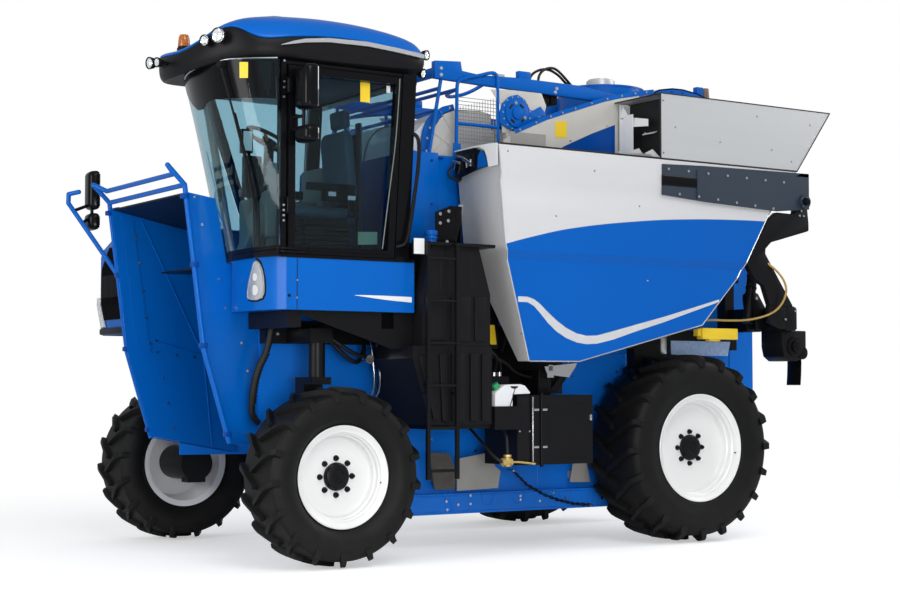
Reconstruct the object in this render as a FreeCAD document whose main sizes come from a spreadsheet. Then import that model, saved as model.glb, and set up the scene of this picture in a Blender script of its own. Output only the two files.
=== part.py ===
import FreeCAD, Part
import math
import os
import re
import Sketcher
from FreeCAD import Placement, Rotation, Vector

# Grape harvester: a tall straddle machine that drives over a row of vines.
# Frame: +X forwards, +Y to the left, +Z up, origin on the ground under the
# middle of the machine's bounding box. Millimetres.

SIZES = {
    # whole machine
    "half_len": 2850, "half_wide": "=hop_out + 65", "front_axle": 1800, "rear_axle": -1500,
    # front wheel
    "fw_rad": 617, "fw_width": 480, "fw_y": "=wall_out + 610", "fw_lip": 352, "fw_rim_half": 180, "fw_disc": 62,
    # rear wheel
    "rw_rad": 745.5, "rw_width": 600, "rw_y": "=wall_out + 430", "rw_lip": 425, "rw_rim_half": 266, "rw_disc": 120,
    "bead_gap": 0.3, "spindle_rad": 62, "spin_gap": 0.3, "rim_wall": 9, "disc_wall": 14,
    # steering
    "king_y": "=fw_y - 214", "king_rad": 58, "king_foot": 1300, "king_top": 1640, "knuckle_wall": 120,
    # tunnel
    "tunnel_half": "=wall_out - 190", "wall_out": 690, "wall_skin": 10, "flare_wall": 14, "tunnel_roof": 2110,
    "skirt_low": 265, "skirt_top": 420, "wall_rear": -2500, "wall_front": 2050, "tower_top": 2920,
    # chassis beams
    "deck_half": "=wall_out + 160", "rail_low": 1540, "rail_high": 1700, "rail_wide": 100, "arch_low": 2110, "arch_high": 2260,
    # cab
    "cab_left": 1350, "cab_right": -100, "cab_rear": 1160, "cab_floor": 2130, "cab_under": 1757,
    "cab_ceil": 3460, "post": 60, "hinge_x": 2175, "door_skin": 46, "glass": 6, "door_gap": 8,
    "roof_edge": 3640, "roof_top": 3872,
    # hopper
    "hop_in": "=deck_half + 80", "hop_out": 1500, "hop_top": 3000, "hop_kink": 2298, "hop_low": 1420, "hop_skin": 5,
    "hop_front": 528, "hop_front_mid": 459, "hop_front_low": 228, "hop_toe": 1310,
    "hood_front": -1005, "hood_top": 3516, "hood_roof_end": -2150,
    "pivot_x": -2530, "pivot_z": 2754, "pivot_rad": 32, "arm_skin": 10,
    # engine bay on the right
    "hinge_long": 90, "hood_y": "=bay_in + 6", "hood_z": "=bay_top + 8", "hood_skin": 8,
    "bay_front": 2470, "bay_rear": 1180, "bay_in": "=wall_out + 10", "bay_out": 1400, "bay_low": 1640, "bay_top": 2480,
    # fans over the tunnel
    "fan_x": -1280, "fan_y": 400, "fan_rad": 360, "fan_low": 3480, "fan_high": 3780, "fan_skin": 6,
    # service side
    "ladder_x": 880, "ladder_wide": 270, "ladder_y": "=hop_out", "ladder_low": 580, "ladder_high": 2250, "stile": 26,
    "box_rear": -380, "box_front": 315, "box_in": "=wall_out + 310", "box_out": 1420, "box_low": 656, "box_high": 1170,
    # lashing eyes at the rear ends of the lower beams
    "eye_x": -2455, "eye_z": 342, "eye_rad": 18, "eye_thick": 16,
    # lift cylinders
    "lift_y": 1180, "lift_foot_x": -2230, "lift_foot_z": 1960, "lift_eye_x": -2300, "lift_eye_z": 2440,
    "lift_rad": 42, "lift_rod": 24,
    "tank_rear": 552,
    # small clearances
    "seat_gap": 0.3, "run_gap": 6, "tube": 18,
}

doc = FreeCAD.newDocument("GrapeHarvester")
sheet = doc.addObject("Spreadsheet::Sheet", "Sizes")
for row, alias in enumerate(SIZES, start=1):
    sheet.set(f"A{row}", alias)
    sheet.setAlias(f"B{row}", alias)
for row, value in enumerate(SIZES.values(), start=1):
    sheet.set(f"B{row}", str(value))
doc.recompute()

NODES = []
SIDES = {"left": 1, "right": -1}


def cell(text):
    """Turn names of sizes in an expression into references to the sheet."""
    def swap(match):
        word = match.group(0)
        return f"Sizes.{word}" if word in SIZES else word
    return re.sub(r"[a-z_]+", swap, str(text))


def size(alias):
    """The present value of one size in the sheet."""
    return float(sheet.get(alias))


def bind(item, prop, text):
    item.setExpression(prop, cell(text))


def place(item, x, y, z):
    for axis, text in zip("xyz", (x, y, z)):
        bind(item, f"Placement.Base.{axis}", text)


def keep(item, name):
    """Give a finished sub-part its name and put it on the list of nodes."""
    item.Label = name
    NODES.append(item)
    return item


def block(name, low, sides):
    """A rectangular block from its lowest corner."""
    item = doc.addObject("Part::Box", name)
    for prop, text in zip(("Length", "Width", "Height"), sides):
        bind(item, prop, text)
    place(item, *low)
    return item


TURNS = {
    "z": Rotation(),
    "x": Rotation(Vector(0, 1, 0), 90),
    "y": Rotation(Vector(1, 0, 0), -90),
}


def rod(name, start, radius, length, axis="z"):
    """A round bar from its start point, along +X, +Y or +Z."""
    item = doc.addObject("Part::Cylinder", name)
    bind(item, "Radius", radius)
    bind(item, "Height", length)
    item.Placement = Placement(Vector(), TURNS[axis])
    place(item, *start)
    return item


ROLES = {"xy": "XY_Plane", "xz": "XZ_Plane", "yz": "YZ_Plane"}


def origin_plane(body, plane):
    for feature in body.Origin.OriginFeatures:
        if feature.Role == ROLES[plane]:
            return feature
    raise ValueError(plane)


def inset(points, numbers, wall):
    """Corners moved inwards by a wall's thickness, still tied to the sheet."""
    count = len(points)
    turn = sum(numbers[i - 1][0] * numbers[i][1] - numbers[i][0] * numbers[i - 1][1] for i in range(count))
    inward = 1 if turn > 0 else -1
    moved = []
    for i in range(count):
        before = Vector(*numbers[i], 0) - Vector(*numbers[i - 1], 0)
        after = Vector(*numbers[(i + 1) % count], 0) - Vector(*numbers[i], 0)
        first = Vector(-before.y, before.x, 0).normalize() * inward
        second = Vector(-after.y, after.x, 0).normalize() * inward
        shift = (first + second) * (1 / (1 + first.dot(second)))
        across, up = points[i]
        moved.append((f"{across} + {wall} * ({shift.x:.5f})", f"{up} + {wall} * ({shift.y:.5f})"))
    return moved


def outline(body, name, plane, points, offset):
    """A closed straight-sided sketch whose corners are all tied to the sheet."""
    sketch = body.newObject("Sketcher::SketchObject", name)
    sketch.AttachmentSupport = (origin_plane(body, plane), [""])
    sketch.MapMode = "FlatFace"
    bind(sketch, "AttachmentOffset.Base.z", offset)
    count = len(points)
    for number in range(count):
        start = Vector(number * 10.0, (number % 3) * 7.0, 0)
        end = Vector((number + 1) * 10.0, ((number + 1) % 3) * 7.0, 0)
        sketch.addGeometry(Part.LineSegment(start, end), False)
    for number in range(count):
        following = (number + 1) % count
        sketch.addConstraint(Sketcher.Constraint("Coincident", number, 2, following, 1))
    for number, (across, up) in enumerate(points):
        for kind, text in (("DistanceX", across), ("DistanceY", up)):
            index = sketch.addConstraint(Sketcher.Constraint(kind, -1, 1, number, 1, 1.0))
            sketch.setExpression(f"Constraints[{index}]", cell(text))
    return sketch


def prism(name, plane, points, low, high):
    """A straight-sided plate or block between two planes square to Y, Z or X."""
    body = doc.addObject("PartDesign::Body", name)
    offset = f"-({high})" if plane == "xz" else low
    sketch = outline(body, name + "_outline", plane, points, offset)
    pad = body.newObject("PartDesign::Pad", name + "_pad")
    pad.Profile = sketch
    bind(pad, "Length", f"({high}) - ({low})")
    body.Tip = pad
    return body


def turned(name, points, centre):
    """A ring or disc turned about a line along Y; points are (along Y, radius)."""
    body = doc.addObject("PartDesign::Body", name)
    sketch = outline(body, name + "_profile", "yz", points, "0")
    ring = body.newObject("PartDesign::Revolution", name + "_turn")
    ring.Profile = sketch
    ring.ReferenceAxis = (sketch, ["H_Axis"])
    ring.Angle = 360
    body.Tip = ring
    place(body, *centre)
    return body


def fuse(name, items):
    item = doc.addObject("Part::MultiFuse", name)
    item.Shapes = items
    return item


def cut(name, base, tool):
    item = doc.addObject("Part::Cut", name)
    item.Base = base
    item.Tool = tool
    return item


def shared(name, items):
    """What several solids have in common."""
    item = doc.addObject("Part::MultiCommon", name)
    item.Shapes = items
    return item


def group(name, items):
    """Like pieces that don't touch, kept together in one node."""
    item = doc.addObject("Part::Compound", name)
    item.Links = items
    return item


def made(name, shape):
    """A piece whose curved shape is worked out directly from the sheet's sizes."""
    item = doc.addObject("Part::Feature", name)
    item.Shape = shape
    return item


def signed(side, text):
    """A Y position given for the left side, mirrored for the right one."""
    return f"({text})" if SIDES[side] > 0 else f"-({text})"


def span(side, low, high):
    """The low and high Y of a piece given by its inner and outer distance."""
    if SIDES[side] > 0:
        return f"({low})", f"({high})"
    return f"-({high})", f"-({low})"


def bar(start, end, radius):
    """A round tube's solid between two points."""
    start, end = Vector(*start), Vector(*end)
    return Part.makeCylinder(radius, (end - start).Length, start, end - start)


def tube_run(points, radius):
    """A bent round tube: straight runs with a ball at each bend."""
    pieces = []
    for start, end in zip(points, points[1:]):
        pieces.append(bar(start, end, radius))
    for corner in points[1:-1]:
        pieces.append(Part.makeSphere(radius, Vector(*corner)))
    return pieces[0].fuse(pieces[1:]).removeSplitter()


# ---------------------------------------------------------------- wheels
def rim(name, side, wheel):
    """A dished steel rim: barrel with two flanges, and a disc bored for the hub's spindle."""
    half, lip, disc = f"{wheel}_rim_half", f"{wheel}_lip", f"{wheel}_disc"
    seat = f"{lip} - 34"
    inside = f"{seat} - rim_wall"
    bore = "spindle_rad + spin_gap"
    back = f"{disc} - disc_wall"
    points = [
        (f"-{half}", lip), (f"10 - {half}", lip), (f"16 - {half}", seat), (f"{half} - 16", seat),
        (f"{half} - 10", lip), (half, lip), (half, f"{lip} - 12"), (f"{half} - 9", inside),
        (disc, inside), (disc, bore), (back, bore), (back, inside),
        (f"9 - {half}", inside), (f"-{half}", f"{lip} - 12"),
    ]
    return turned(name, [(signed(side, across), up) for across, up in points], hub_point(side, wheel))


def tyre(name, side, wheel):
    """A tyre as a hollow ring, open at the beads, which sit inside the rim's flanges."""
    half, lip, rad, wide = f"{wheel}_rim_half", f"{wheel}_lip", f"{wheel}_rad", f"{wheel}_width"
    seat = f"{lip} - 34 + bead_gap"
    outer = [
        (f"{half} - 18", seat), (f"{half} - 18", f"{lip} + 8"), (f"{wide} / 2 - 26", f"{lip} + 34"),
        (f"{wide} / 2", f"{lip} + 100"), (f"{wide} / 2", f"{rad} - 78"), (f"{wide} * 0.42", f"{rad} - 14"),
        (f"{wide} * 0.37", rad),
    ]
    inner = [
        (f"{wide} * 0.34", f"{rad} - 62"), (f"{wide} / 2 - 28", f"{rad} - 110"),
        (f"{wide} / 2 - 28", f"{lip} + 96"), (f"{half} - 44", f"{lip} + 26"), (f"{half} - 44", seat),
    ]
    right_way = outer + [(f"-({across})", up) for across, up in reversed(outer)]
    back_way = [(f"-({across})", up) for across, up in reversed(inner)] + inner
    loop = right_way + back_way
    return turned(name, loop, hub_point(side, wheel))


def hub_point(side, wheel):
    axle = {"fw": "front_axle", "rw": "rear_axle"}[wheel]
    return axle, signed(side, f"{wheel}_y"), f"{wheel}_rad"


def wheels():
    for wheel, word in (("fw", "front"), ("rw", "rear")):
        for side in SIDES:
            keep(rim(f"{side}_{word}_rim", side, wheel), f"{side}_{word}_rim")
            keep(tyre(f"{side}_{word}_tyre", side, wheel), f"{side}_{word}_tyre")


# ---------------------------------------------------------------- running gear
def spindle(name, side, wheel, start, fat):
    """Hub motor and spindle along Y, from the leg out through the rim's disc."""
    axle = {"fw": "front_axle", "rw": "rear_axle"}[wheel]
    face = f"{wheel}_y + {wheel}_disc - disc_wall - run_gap"
    low, high = span(side, start, face)
    motor = rod(name + "_motor", (axle, low, f"{wheel}_rad"), fat, f"{high} - {low}", "y")
    low, high = span(side, f"{face} - 5", f"{wheel}_y + {wheel}_disc + 24")
    shaft = rod(name + "_shaft", (axle, low, f"{wheel}_rad"), "spindle_rad", f"{high} - {low}", "y")
    return [motor, shaft]


def front_knuckle(side):
    """Steered arm that hangs from the kingpin over the tyre and carries the hub inside it."""
    name = f"{side}_front_knuckle"
    leg_in, leg_out = "fw_y - fw_width / 2 - 155", "fw_y - fw_width / 2 - 25"
    low, high = span(side, leg_in, leg_out)
    leg = block(name + "_leg", ("front_axle - 75", low, "fw_rad - 150"),
                ("150", f"{high} - {low}", "king_foot - seat_gap - fw_rad + 150"))
    low, high = span(side, leg_in, "king_y + king_rad + 14")
    arm = block(name + "_arm", ("front_axle - 75", low, "king_foot - 52"),
                ("150", f"{high} - {low}", "52 - seat_gap"))
    pin = rod(name + "_pin", ("front_axle", signed(side, "king_y"), "king_foot - 10"), "king_rad - 18", "260")
    return fuse(name, [leg, arm, pin] + spindle(name, side, "fw", leg_in, "135"))


def front_column(side):
    """Fixed column that the kingpin turns in, with its bracket to the frame rail."""
    name = f"{side}_front_column"
    middle = signed(side, "king_y")
    tube = rod(name + "_tube", ("front_axle", middle, "king_foot"), "king_rad", "king_top - king_foot - seat_gap")
    bore = rod(name + "_bore", ("front_axle", middle, "king_foot - 1"), "king_rad - 18 + seat_gap", "252")
    low, high = span(side, "wall_out + rail_wide", "king_y + king_rad + 10")
    bracket = block(name + "_bracket", ("front_axle - 90", low, "rail_low"),
                    ("180", f"{high} - {low}", "king_top - rail_low - seat_gap"))
    return cut(name, fuse(name + "_body", [tube, bracket]), bore)


def rear_leg(side):
    """Fixed rear leg between the tunnel wall and the tyre, with the rear hub motor."""
    name = f"{side}_rear_leg"
    low, high = span(side, "wall_out + seat_gap", "wall_out + rail_wide")
    leg = prism(name + "_plate", "xz",
                [("rear_axle - 190", "rail_low"), ("rear_axle + 190", "rail_low"), ("rear_axle + 150", "rw_rad - 60"),
                 ("rear_axle + 60", "rw_rad - 160"), ("rear_axle - 60", "rw_rad - 160"),
                 ("rear_axle - 150", "rw_rad - 60")], low, high)
    return fuse(name, [leg] + spindle(name, side, "rw", "wall_out + 10", "165"))


# ---------------------------------------------------------------- chassis
def chassis_frame():
    """Two side rails over the wheels, joined by arches over the tunnel."""
    items = []
    for side in SIDES:
        low, high = span(side, "wall_out", "wall_out + rail_wide")
        items.append(block(f"rail_{side}", ("wall_rear + 62", low, "rail_low"),
                           ("wall_front - wall_rear - 62", f"{high} - {low}", "rail_high - rail_low")))
        for number, station in enumerate(ARCHES):
            items.append(block(f"post_{side}_{number}", (station, low, "rail_high - 1"),
                               ("rail_wide", f"{high} - {low}", "arch_low - rail_high + 2")))
    for number, station in enumerate(ARCHES):
        items.append(block(f"arch_{number}", (station, "-deck_half", "arch_low"),
                           ("rail_wide", "2 * deck_half", "arch_high - arch_low")))
    items.append(block("engine_tray", ("1200", "70 - bay_out", "rail_high - 60"), ("980", "bay_out - 70 - wall_out - rail_wide + 5", "60")))
    items += engine_bulkhead()
    for number, station in enumerate(("1300", "2040")):
        items.append(block(f"cab_outrigger_{number}", (station, "wall_out + 10", "rail_high - 60"),
                           ("100", "cab_left - 60 - wall_out", "cab_under - rail_high + 60 - seat_gap")))
    items += [tank_shelf(side) for side in SIDES]
    return keep(fuse("chassis_frame", items), "chassis_frame")


def engine_bulkhead():
    """Wall between the tunnel and the engine bay, with lugs and pins for the hood's hinge."""
    wall = block("bay_wall", ("1200", "-bay_in + seat_gap", "rail_high - 1"),
                 ("1080", "bay_in - wall_out - seat_gap", "bay_top - rail_high - 8"))
    items = [wall]
    for number, station in enumerate(HOOD_HINGES):
        for end, shift in enumerate(("-12.3", "hinge_long + 0.3")):
            items.append(block(f"bay_lug_{number}_{end}", (f"{station} + {shift}", "-hood_y - 8", "bay_top - 20"),
                               ("12", "hood_y + 8 - wall_out", "38")))
        items.append(rod(f"bay_pin_{number}", (f"{station} - 12", "-hood_y", "hood_z"), "5", "hinge_long + 24", "x"))
    return items


HOOD_HINGES = ("1300", "2050")
ARCHES = ("1010", "-640", "-2410")


def side_wall(side):
    """Blue outer wall of the tunnel, from the skirt up to the roof."""
    name = f"{side}_side_wall"
    low, high = span(side, "wall_out - wall_skin", "wall_out")
    points = [("wall_rear", "skirt_low"), ("830", "skirt_low"), ("1120", "690"), ("wall_front", "700"),
              ("wall_front", "tunnel_roof"), ("wall_rear", "tunnel_roof")]
    return prism(name, "xz", points, low, high)


FLARE_FRONT = [("1566", "717"), ("2288", "846"), ("2490", "1496"), ("2634", "2596")]
FLARE_REAR = {
    "left": [("2395", "2560"), ("2306", "2100"), ("1910", "2100")],
    "right": [("2580", "2609"), ("2317", "2578"), ("2150", "2532"), ("1997", "2478"), ("1970", "2430"),
              ("1910", "2100")],
}


def flare(side):
    """Entry plate that leads the vines into the tunnel; the right one reaches back behind the cab's side."""
    low, high = span(side, "wall_out - wall_skin - flare_wall", "wall_out - wall_skin")
    return prism(f"{side}_entry_flare", "xz", FLARE_FRONT + FLARE_REAR[side], low, high)


def tunnel_roof():
    """Plate over the tunnel, and the sloping plate that closes its mouth in front of the windscreen."""
    half = "(wall_out - wall_skin - flare_wall - seat_gap)"
    plan = [("2620", f"-{half}"), ("2620", half), ("2400", half), ("2312", "333"), ("2125", "50"),
            ("1997", "-90"), ("1997", f"-{half}")]
    slope = [("2620", "2580"), ("2620", "2592"), ("1990", "2465"), ("1990", "2453")]
    mouth = shared("mouth_plate", [prism("mouth_plan", "xy", plan, "2400", "2650"),
                                   prism("mouth_slope", "xz", slope, f"-{half}", half)])
    plate = block("roof_plate", ("wall_rear + 50", "-tunnel_half - 5", "tunnel_roof - 12"),
                  ("2290 - wall_rear - 50", "2 * tunnel_half + 10", "12"))
    return keep(group("tunnel_roof", [plate, mouth]), "tunnel_roof")


def lower_beam(side):
    """Long skirt beam along the foot of the side wall."""
    name = f"{side}_lower_beam"
    low, high = span(side, "wall_out", "wall_out + 70")
    beam = block(name + "_bar", ("wall_rear + 100", low, "skirt_low"),
                 ("830 - wall_rear - 100", f"{high} - {low}", "skirt_top - skirt_low"))
    low, high = span(side, "wall_out + 27", "wall_out + 27 + eye_thick")
    eye = block(name + "_eye", ("eye_x - 45", low, "eye_z - 45"), ("90 + 40", f"{high} - {low}", "90"))
    bore_low, bore_high = span(side, "wall_out + 20", "wall_out + 60")
    bore = rod(name + "_bore", ("eye_x", bore_low, "eye_z"), "eye_rad", f"{bore_high} - {bore_low}", "y")
    return fuse(name, [beam, cut(name + "_drilled", eye, bore)])


def guard_line():
    """Distance of the guard's tubes from the middle plane, beside the flares."""
    return size("wall_out") - size("wall_skin") + size("tube")


def mirror_loop():
    """Points of the loop that sticks out to the right and carries the right-hand mirror."""
    y, front = guard_line(), size("half_len") - size("tube")
    return [(2690, -y * 0.9, 2720), (front - 60, -1000, 2745), (front, -1060, 2730), (front, -1065, 2660),
            (2565, -y, 2085)]


def front_guard():
    """Tube frame around the tunnel's mouth."""
    y, rad = guard_line(), size("tube")
    pieces = [tube_run(mirror_loop(), rad)]
    for side in (y, -y):
        run = [(2282, side, 836), (2486, side, 1494), (2640, side, 2640), (2770, side, 2770), (2690, side * 0.9, 2720)]
        pieces.append(tube_run(run, rad))
    pieces.append(bar((2690, y * 0.9, 2720), (2690, -y * 0.9, 2720), rad))
    pieces.append(bar((2640, y, 2640), (2640, -y, 2640), rad))
    return keep(made("front_guard", pieces[0].fuse(pieces[1:]).removeSplitter()), "front_guard")


# ---------------------------------------------------------------- picking head
def noria(side):
    """Endless ring of catching baskets, seen from the side as a rounded ring."""
    name = f"{side}_basket_ring"
    inner, outer = span(side, "tunnel_half + 5 + seat_gap", "wall_out - wall_skin - 10")
    def ring(tag, grow):
        x0, x1, z0, z1, cut_off = "-2640", "800", "300", "3250", "150"
        pts = [(f"{x0} + {grow} + {cut_off}", f"{z0} + {grow}"), (f"{x1} - {grow} - {cut_off}", f"{z0} + {grow}"),
               (f"{x1} - {grow}", f"{z0} + {grow} + {cut_off}"), (f"{x1} - {grow}", f"{z1} - {grow} - {cut_off}"),
               (f"{x1} - {grow} - {cut_off}", f"{z1} - {grow}"), (f"{x0} + {grow} + {cut_off}", f"{z1} - {grow}"),
               (f"{x0} + {grow}", f"{z1} - {grow} - {cut_off}"), (f"{x0} + {grow}", f"{z0} + {grow} + {cut_off}")]
        return prism(name + tag, "xz", pts, inner, outer)
    return cut(name, ring("_outer", "0"), ring("_hole", "120"))


def shaker(side):
    """Bowed picking rods fixed to the tunnel's inner side at both ends."""
    name = f"{side}_shaker"
    sign = SIDES[side]
    near, bow = sign * (size("tunnel_half") - 30), sign * 150
    pieces = []
    for number in range(8):
        z = 560 + number * 130
        run = [(620, near, z), (560, sign * 330, z), (100, bow, z), (-500, bow, z), (-960, sign * 330, z),
               (-1020, near, z)]
        pieces.append(tube_run(run, 14))
    for x in (620, -1020):
        pieces.append(Part.makeBox(60, 34, 1060, Vector(x - 30, near - 17, 500)))
    for x in (620, -1020):
        y = sorted((near, sign * (size("tunnel_half") - 5)))
        pieces.append(Part.makeBox(60, y[1] - y[0], 60, Vector(x - 30, y[0], 1500)))
    return made(name, pieces[0].fuse(pieces[1:]))


def picking_wall(side):
    """Inner wall of the picking head, which carries the rods and faces the vines."""
    name = f"{side}_picking_wall"
    low, high = span(side, "tunnel_half - 5", "tunnel_half + 5")
    points = [("-1300", "470"), ("705", "470"), ("705", "tunnel_roof - 12"), ("-1300", "tunnel_roof - 12")]
    return prism(name, "xz", points, low, high)


def rear_tower(side):
    """Blue cover around the rear climb of the basket ring."""
    name = f"{side}_rear_tower"
    low, high = span(side, "wall_out", "wall_out + 8")
    plate = prism(name + "_side", "xz", [("-2700", "1050"), ("-2560", "900"), ("-2440", "900"), ("-2440", "2100"),
                                         ("-2440", "tower_top"), ("-2700", "tower_top")], low, high)
    low, high = span(side, "tunnel_half", "wall_out + 8")
    back = block(name + "_back", ("-2708", low, "1050"), ("8", f"{high} - {low}", "tower_top - 1050"))
    return fuse(name, [plate, back])


# ---------------------------------------------------------------- top of the machine
def upper_deck():
    """Deck over the tunnel between the hoppers, on its side walls."""
    items = [block("deck_plate", ("-2440", "-deck_half", "2960"), ("3090", "2 * deck_half", "20"))]
    for side in SIDES:
        low, high = span(side, "deck_half - 12", "deck_half")
        items.append(prism(f"deck_wall_{side}", "xz",
                           [("-2400", "arch_high"), ("640", "arch_high"), ("640", "2961"), ("-2400", "2961")],
                           low, high))
    return keep(fuse("upper_deck", items), "upper_deck")


def duct(side):
    """Sloping air duct beside the hopper's inner edge."""
    name = f"{side}_air_duct"
    low, high = span(side, "deck_half - 80", "deck_half + 65")
    points = [("-330", "2980"), ("-330", "3050"), ("-1240", "3570"), ("-1240", "2980")]
    return prism(name, "xz", points, low, high)


def discharge(side):
    """Grey chute that drops the grapes into the hopper."""
    name = f"{side}_discharge"
    low, high = span(side, "deck_half - 80", "deck_half + 62")
    points = [("-1250", "2980"), ("-1250", "3440"), ("-1330", "3440"), ("-1600", "3120"), ("-1600", "2980")]
    return prism(name, "xz", points, low, high)


def upper_beam(side):
    name = f"{side}_upper_beam"
    low, high = span(side, "deck_half - 75", "deck_half - 15")
    beam = block(name + "_bar", ("-1800", low, "3640"), ("2450", f"{high} - {low}", "125"))
    post = block(name + "_front", ("588", low, "2980"), ("60", f"{high} - {low}", "661"))
    back = block(name + "_rear", ("-1800", low, "2980"), ("60", f"{high} - {low}", "661"))
    return fuse(name, [beam, post, back])


def fan_housing(side):
    """Round suction fan housing, open at the top, with a stem for its rotor."""
    name = f"{side}_fan_housing"
    middle = signed(side, "fan_y")
    shell = rod(name + "_shell", ("fan_x", middle, "fan_low"), "fan_rad", "fan_high - fan_low")
    hollow = rod(name + "_hollow", ("fan_x", middle, "fan_low + fan_skin"), "fan_rad - fan_skin",
                 "fan_high - fan_low")
    stem = rod(name + "_stem", ("fan_x", middle, "fan_low"), "40", "90")
    low, high = span(side, "fan_y + fan_rad - 12", "deck_half - 75")
    bracket = block(name + "_bracket", ("fan_x - 60", low, "3650"), ("120", f"{high} - {low}", "60"))
    foot = block(name + "_foot", ("fan_x - 120", signed(side, "fan_y") + (" - 60"), "2980"),
                 ("240", "120", "fan_low - 2979"))
    body = cut(name + "_pot", fuse(name + "_solid", [shell, bracket, foot]), hollow)
    return fuse(name, [body, stem])


def fan_rotor(side):
    """Six flat blades on a hub that turns on the housing's stem."""
    name = f"{side}_fan_rotor"
    middle = signed(side, "fan_y")
    hub = rod(name + "_hub", ("fan_x", middle, "fan_low + 90 + seat_gap"), "70", "110")
    blades = [hub]
    for number in range(6):
        blade = doc.addObject("Part::Box", f"{name}_blade_{number}")
        bind(blade, "Length", "fan_rad - fan_skin - 25")
        bind(blade, "Width", "8")
        bind(blade, "Height", "90")
        blade.Placement = Placement(Vector(), Rotation(Vector(0, 0, 1), 60 * number))
        place(blade, "fan_x", middle, "fan_low + 105")
        blades.append(blade)
    return fuse(name, blades)


def handrail_cage():
    """Blue tube cage at the head of the ladder on the left side."""
    rad = size("tube") - 4
    y, foot, top = 830, 2980, 3560
    pieces = []
    for x in (330, 560):
        pieces.append(tube_run([(x, y, foot), (x, y, top), (x, 600, top + 80)], rad))
    for start, end in (((330, y, top), (560, y, top)), ((330, y, 3260), (560, y, 3260)),
                       ((330, 600, top + 80), (560, 600, top + 80))):
        pieces.append(bar(start, end, rad))
    return keep(made("handrail_cage", pieces[0].fuse(pieces[1:])), "handrail_cage")


# ---------------------------------------------------------------- hoppers
HOPPER_SIDE = [
    ("hop_front", "hop_top"), ("hop_front_mid", "hop_kink"), ("hop_front_low", "hop_low"), ("-234", "hop_low"),
    ("-1456", "1717"), ("-1832", "2100"), ("-2156", "2626"), ("-2464", "hop_top"),
]
HOPPER_END = [
    ("hop_in", "hop_top"), ("hop_out", "hop_top"), ("hop_out", "hop_low"), ("hop_toe", "hop_low"),
    ("hop_in", "hop_kink"),
]


def corners(sketch):
    doc.recompute()
    return [(line.StartPoint.x, line.StartPoint.y) for line in sketch.Geometry]


def first_sketch(body):
    return [item for item in body.Group if item.TypeId == "Sketcher::SketchObject"][0]


def hopper(side):
    """Open bin for the grapes: flat outer side, sloped toe, front and rear walls."""
    name = f"{side}_hopper"
    end = [(signed(side, across), up) for across, up in HOPPER_END]
    low, high = span(side, "hop_in", "hop_out")
    long_way = prism(name + "_long", "xz", HOPPER_SIDE, low, high)
    cross_way = prism(name + "_cross", "yz", end, "-3000", "1000")
    long_in = inset(HOPPER_SIDE, corners(first_sketch(long_way)), "hop_skin")
    long_in[0] = (long_in[0][0], "hop_top + 10")
    long_in[-1] = (long_in[-1][0], "hop_top + 10")
    cross_in = inset(end, corners(first_sketch(cross_way)), "hop_skin")
    cross_in[0] = (cross_in[0][0], "hop_top + 10")
    cross_in[1] = (cross_in[1][0], "hop_top + 10")
    outer = shared(name + "_outer", [long_way, cross_way])
    inner = shared(name + "_inner", [prism(name + "_long_in", "xz", long_in, low, high),
                                     prism(name + "_cross_in", "yz", cross_in, "-3000", "1000")])
    return cut(name, outer, inner)


def hopper_hood(side):
    """Cover over the hopper's rear half: outer side, roof and the rear chute wall."""
    name = f"{side}_hopper_hood"
    low, high = span(side, "hop_in", "hop_out")
    rear_top = "-half_len"
    points = [("hood_front", "hop_top"), ("hood_front", "hood_top"), (rear_top, "hood_top"), ("-2464", "hop_top")]
    solid = prism(name + "_solid", "xz", points, low, high)
    inner_low, inner_high = span(side, "hop_in - 1", "hop_out - hop_skin")
    hole = [("hood_front + 1", "hop_top - 1"), ("hood_front + 1", "hood_top - hop_skin"),
            (f"{rear_top} + 9", "hood_top - hop_skin"), ("hop_skin * 1.2 - 2464", "hop_top - 1")]
    hollow = prism(name + "_hollow", "xz", hole, inner_low, inner_high)
    mouth = block(name + "_mouth", (f"{rear_top} + 20", inner_low, "hood_top - 20"),
                  (f"hood_roof_end - ({rear_top}) - 20", f"{inner_high} - {inner_low}", "40"))
    return cut(name, cut(name + "_shell", solid, hollow), mouth)


def hopper_arm(side):
    """Riveted plate on the hopper's outer side that carries the tipping pivot."""
    name = f"{side}_hopper_arm"
    low, high = span(side, "hop_out", "hop_out + arm_skin")
    points = [("-1010", "2960"), ("-1010", "2720"), ("-1450", "2690"), ("-2230", "pivot_z - 95"),
              ("pivot_x - 60", "pivot_z - 60"), ("pivot_x - 60", "2990"), ("-1450", "2975")]
    plate = prism(name + "_plate", "xz", points, low, high)
    low, high = span(side, "hop_out", "hop_out + arm_skin + 20")
    boss = rod(name + "_boss", ("pivot_x", low, "pivot_z"), "pivot_rad + 26", f"{high} - {low}", "y")
    bore_low, bore_high = span(side, "hop_out - 5", "hop_out + arm_skin + 30")
    bore = rod(name + "_bore", ("pivot_x", bore_low, "pivot_z"), "pivot_rad + spin_gap",
               f"{bore_high} - {bore_low}", "y")
    return cut(name, fuse(name + "_body", [plate, boss]), bore)


def lift_lug(side):
    """Bracket on the hopper's rear wall for the eye of the lift cylinder."""
    name = f"{side}_lift_lug"
    low, high = span(side, "lift_y - 55", "lift_y + 55")
    points = [("-1945", "2282"), ("-2098", "2530"), ("lift_eye_x - 48", "lift_eye_z + 40"),
              ("lift_eye_x - 48", "lift_eye_z - 30"), ("lift_eye_x + 20", "lift_eye_z - 50")]
    block_all = prism(name + "_solid", "xz", points, low, high)
    slot_low, slot_high = span(side, "lift_y - 36", "lift_y + 36")
    slot = rod(name + "_slot", ("lift_eye_x", slot_low, "lift_eye_z"), "140", f"{slot_high} - {slot_low}", "y")
    return cut(name, block_all, slot)


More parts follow.
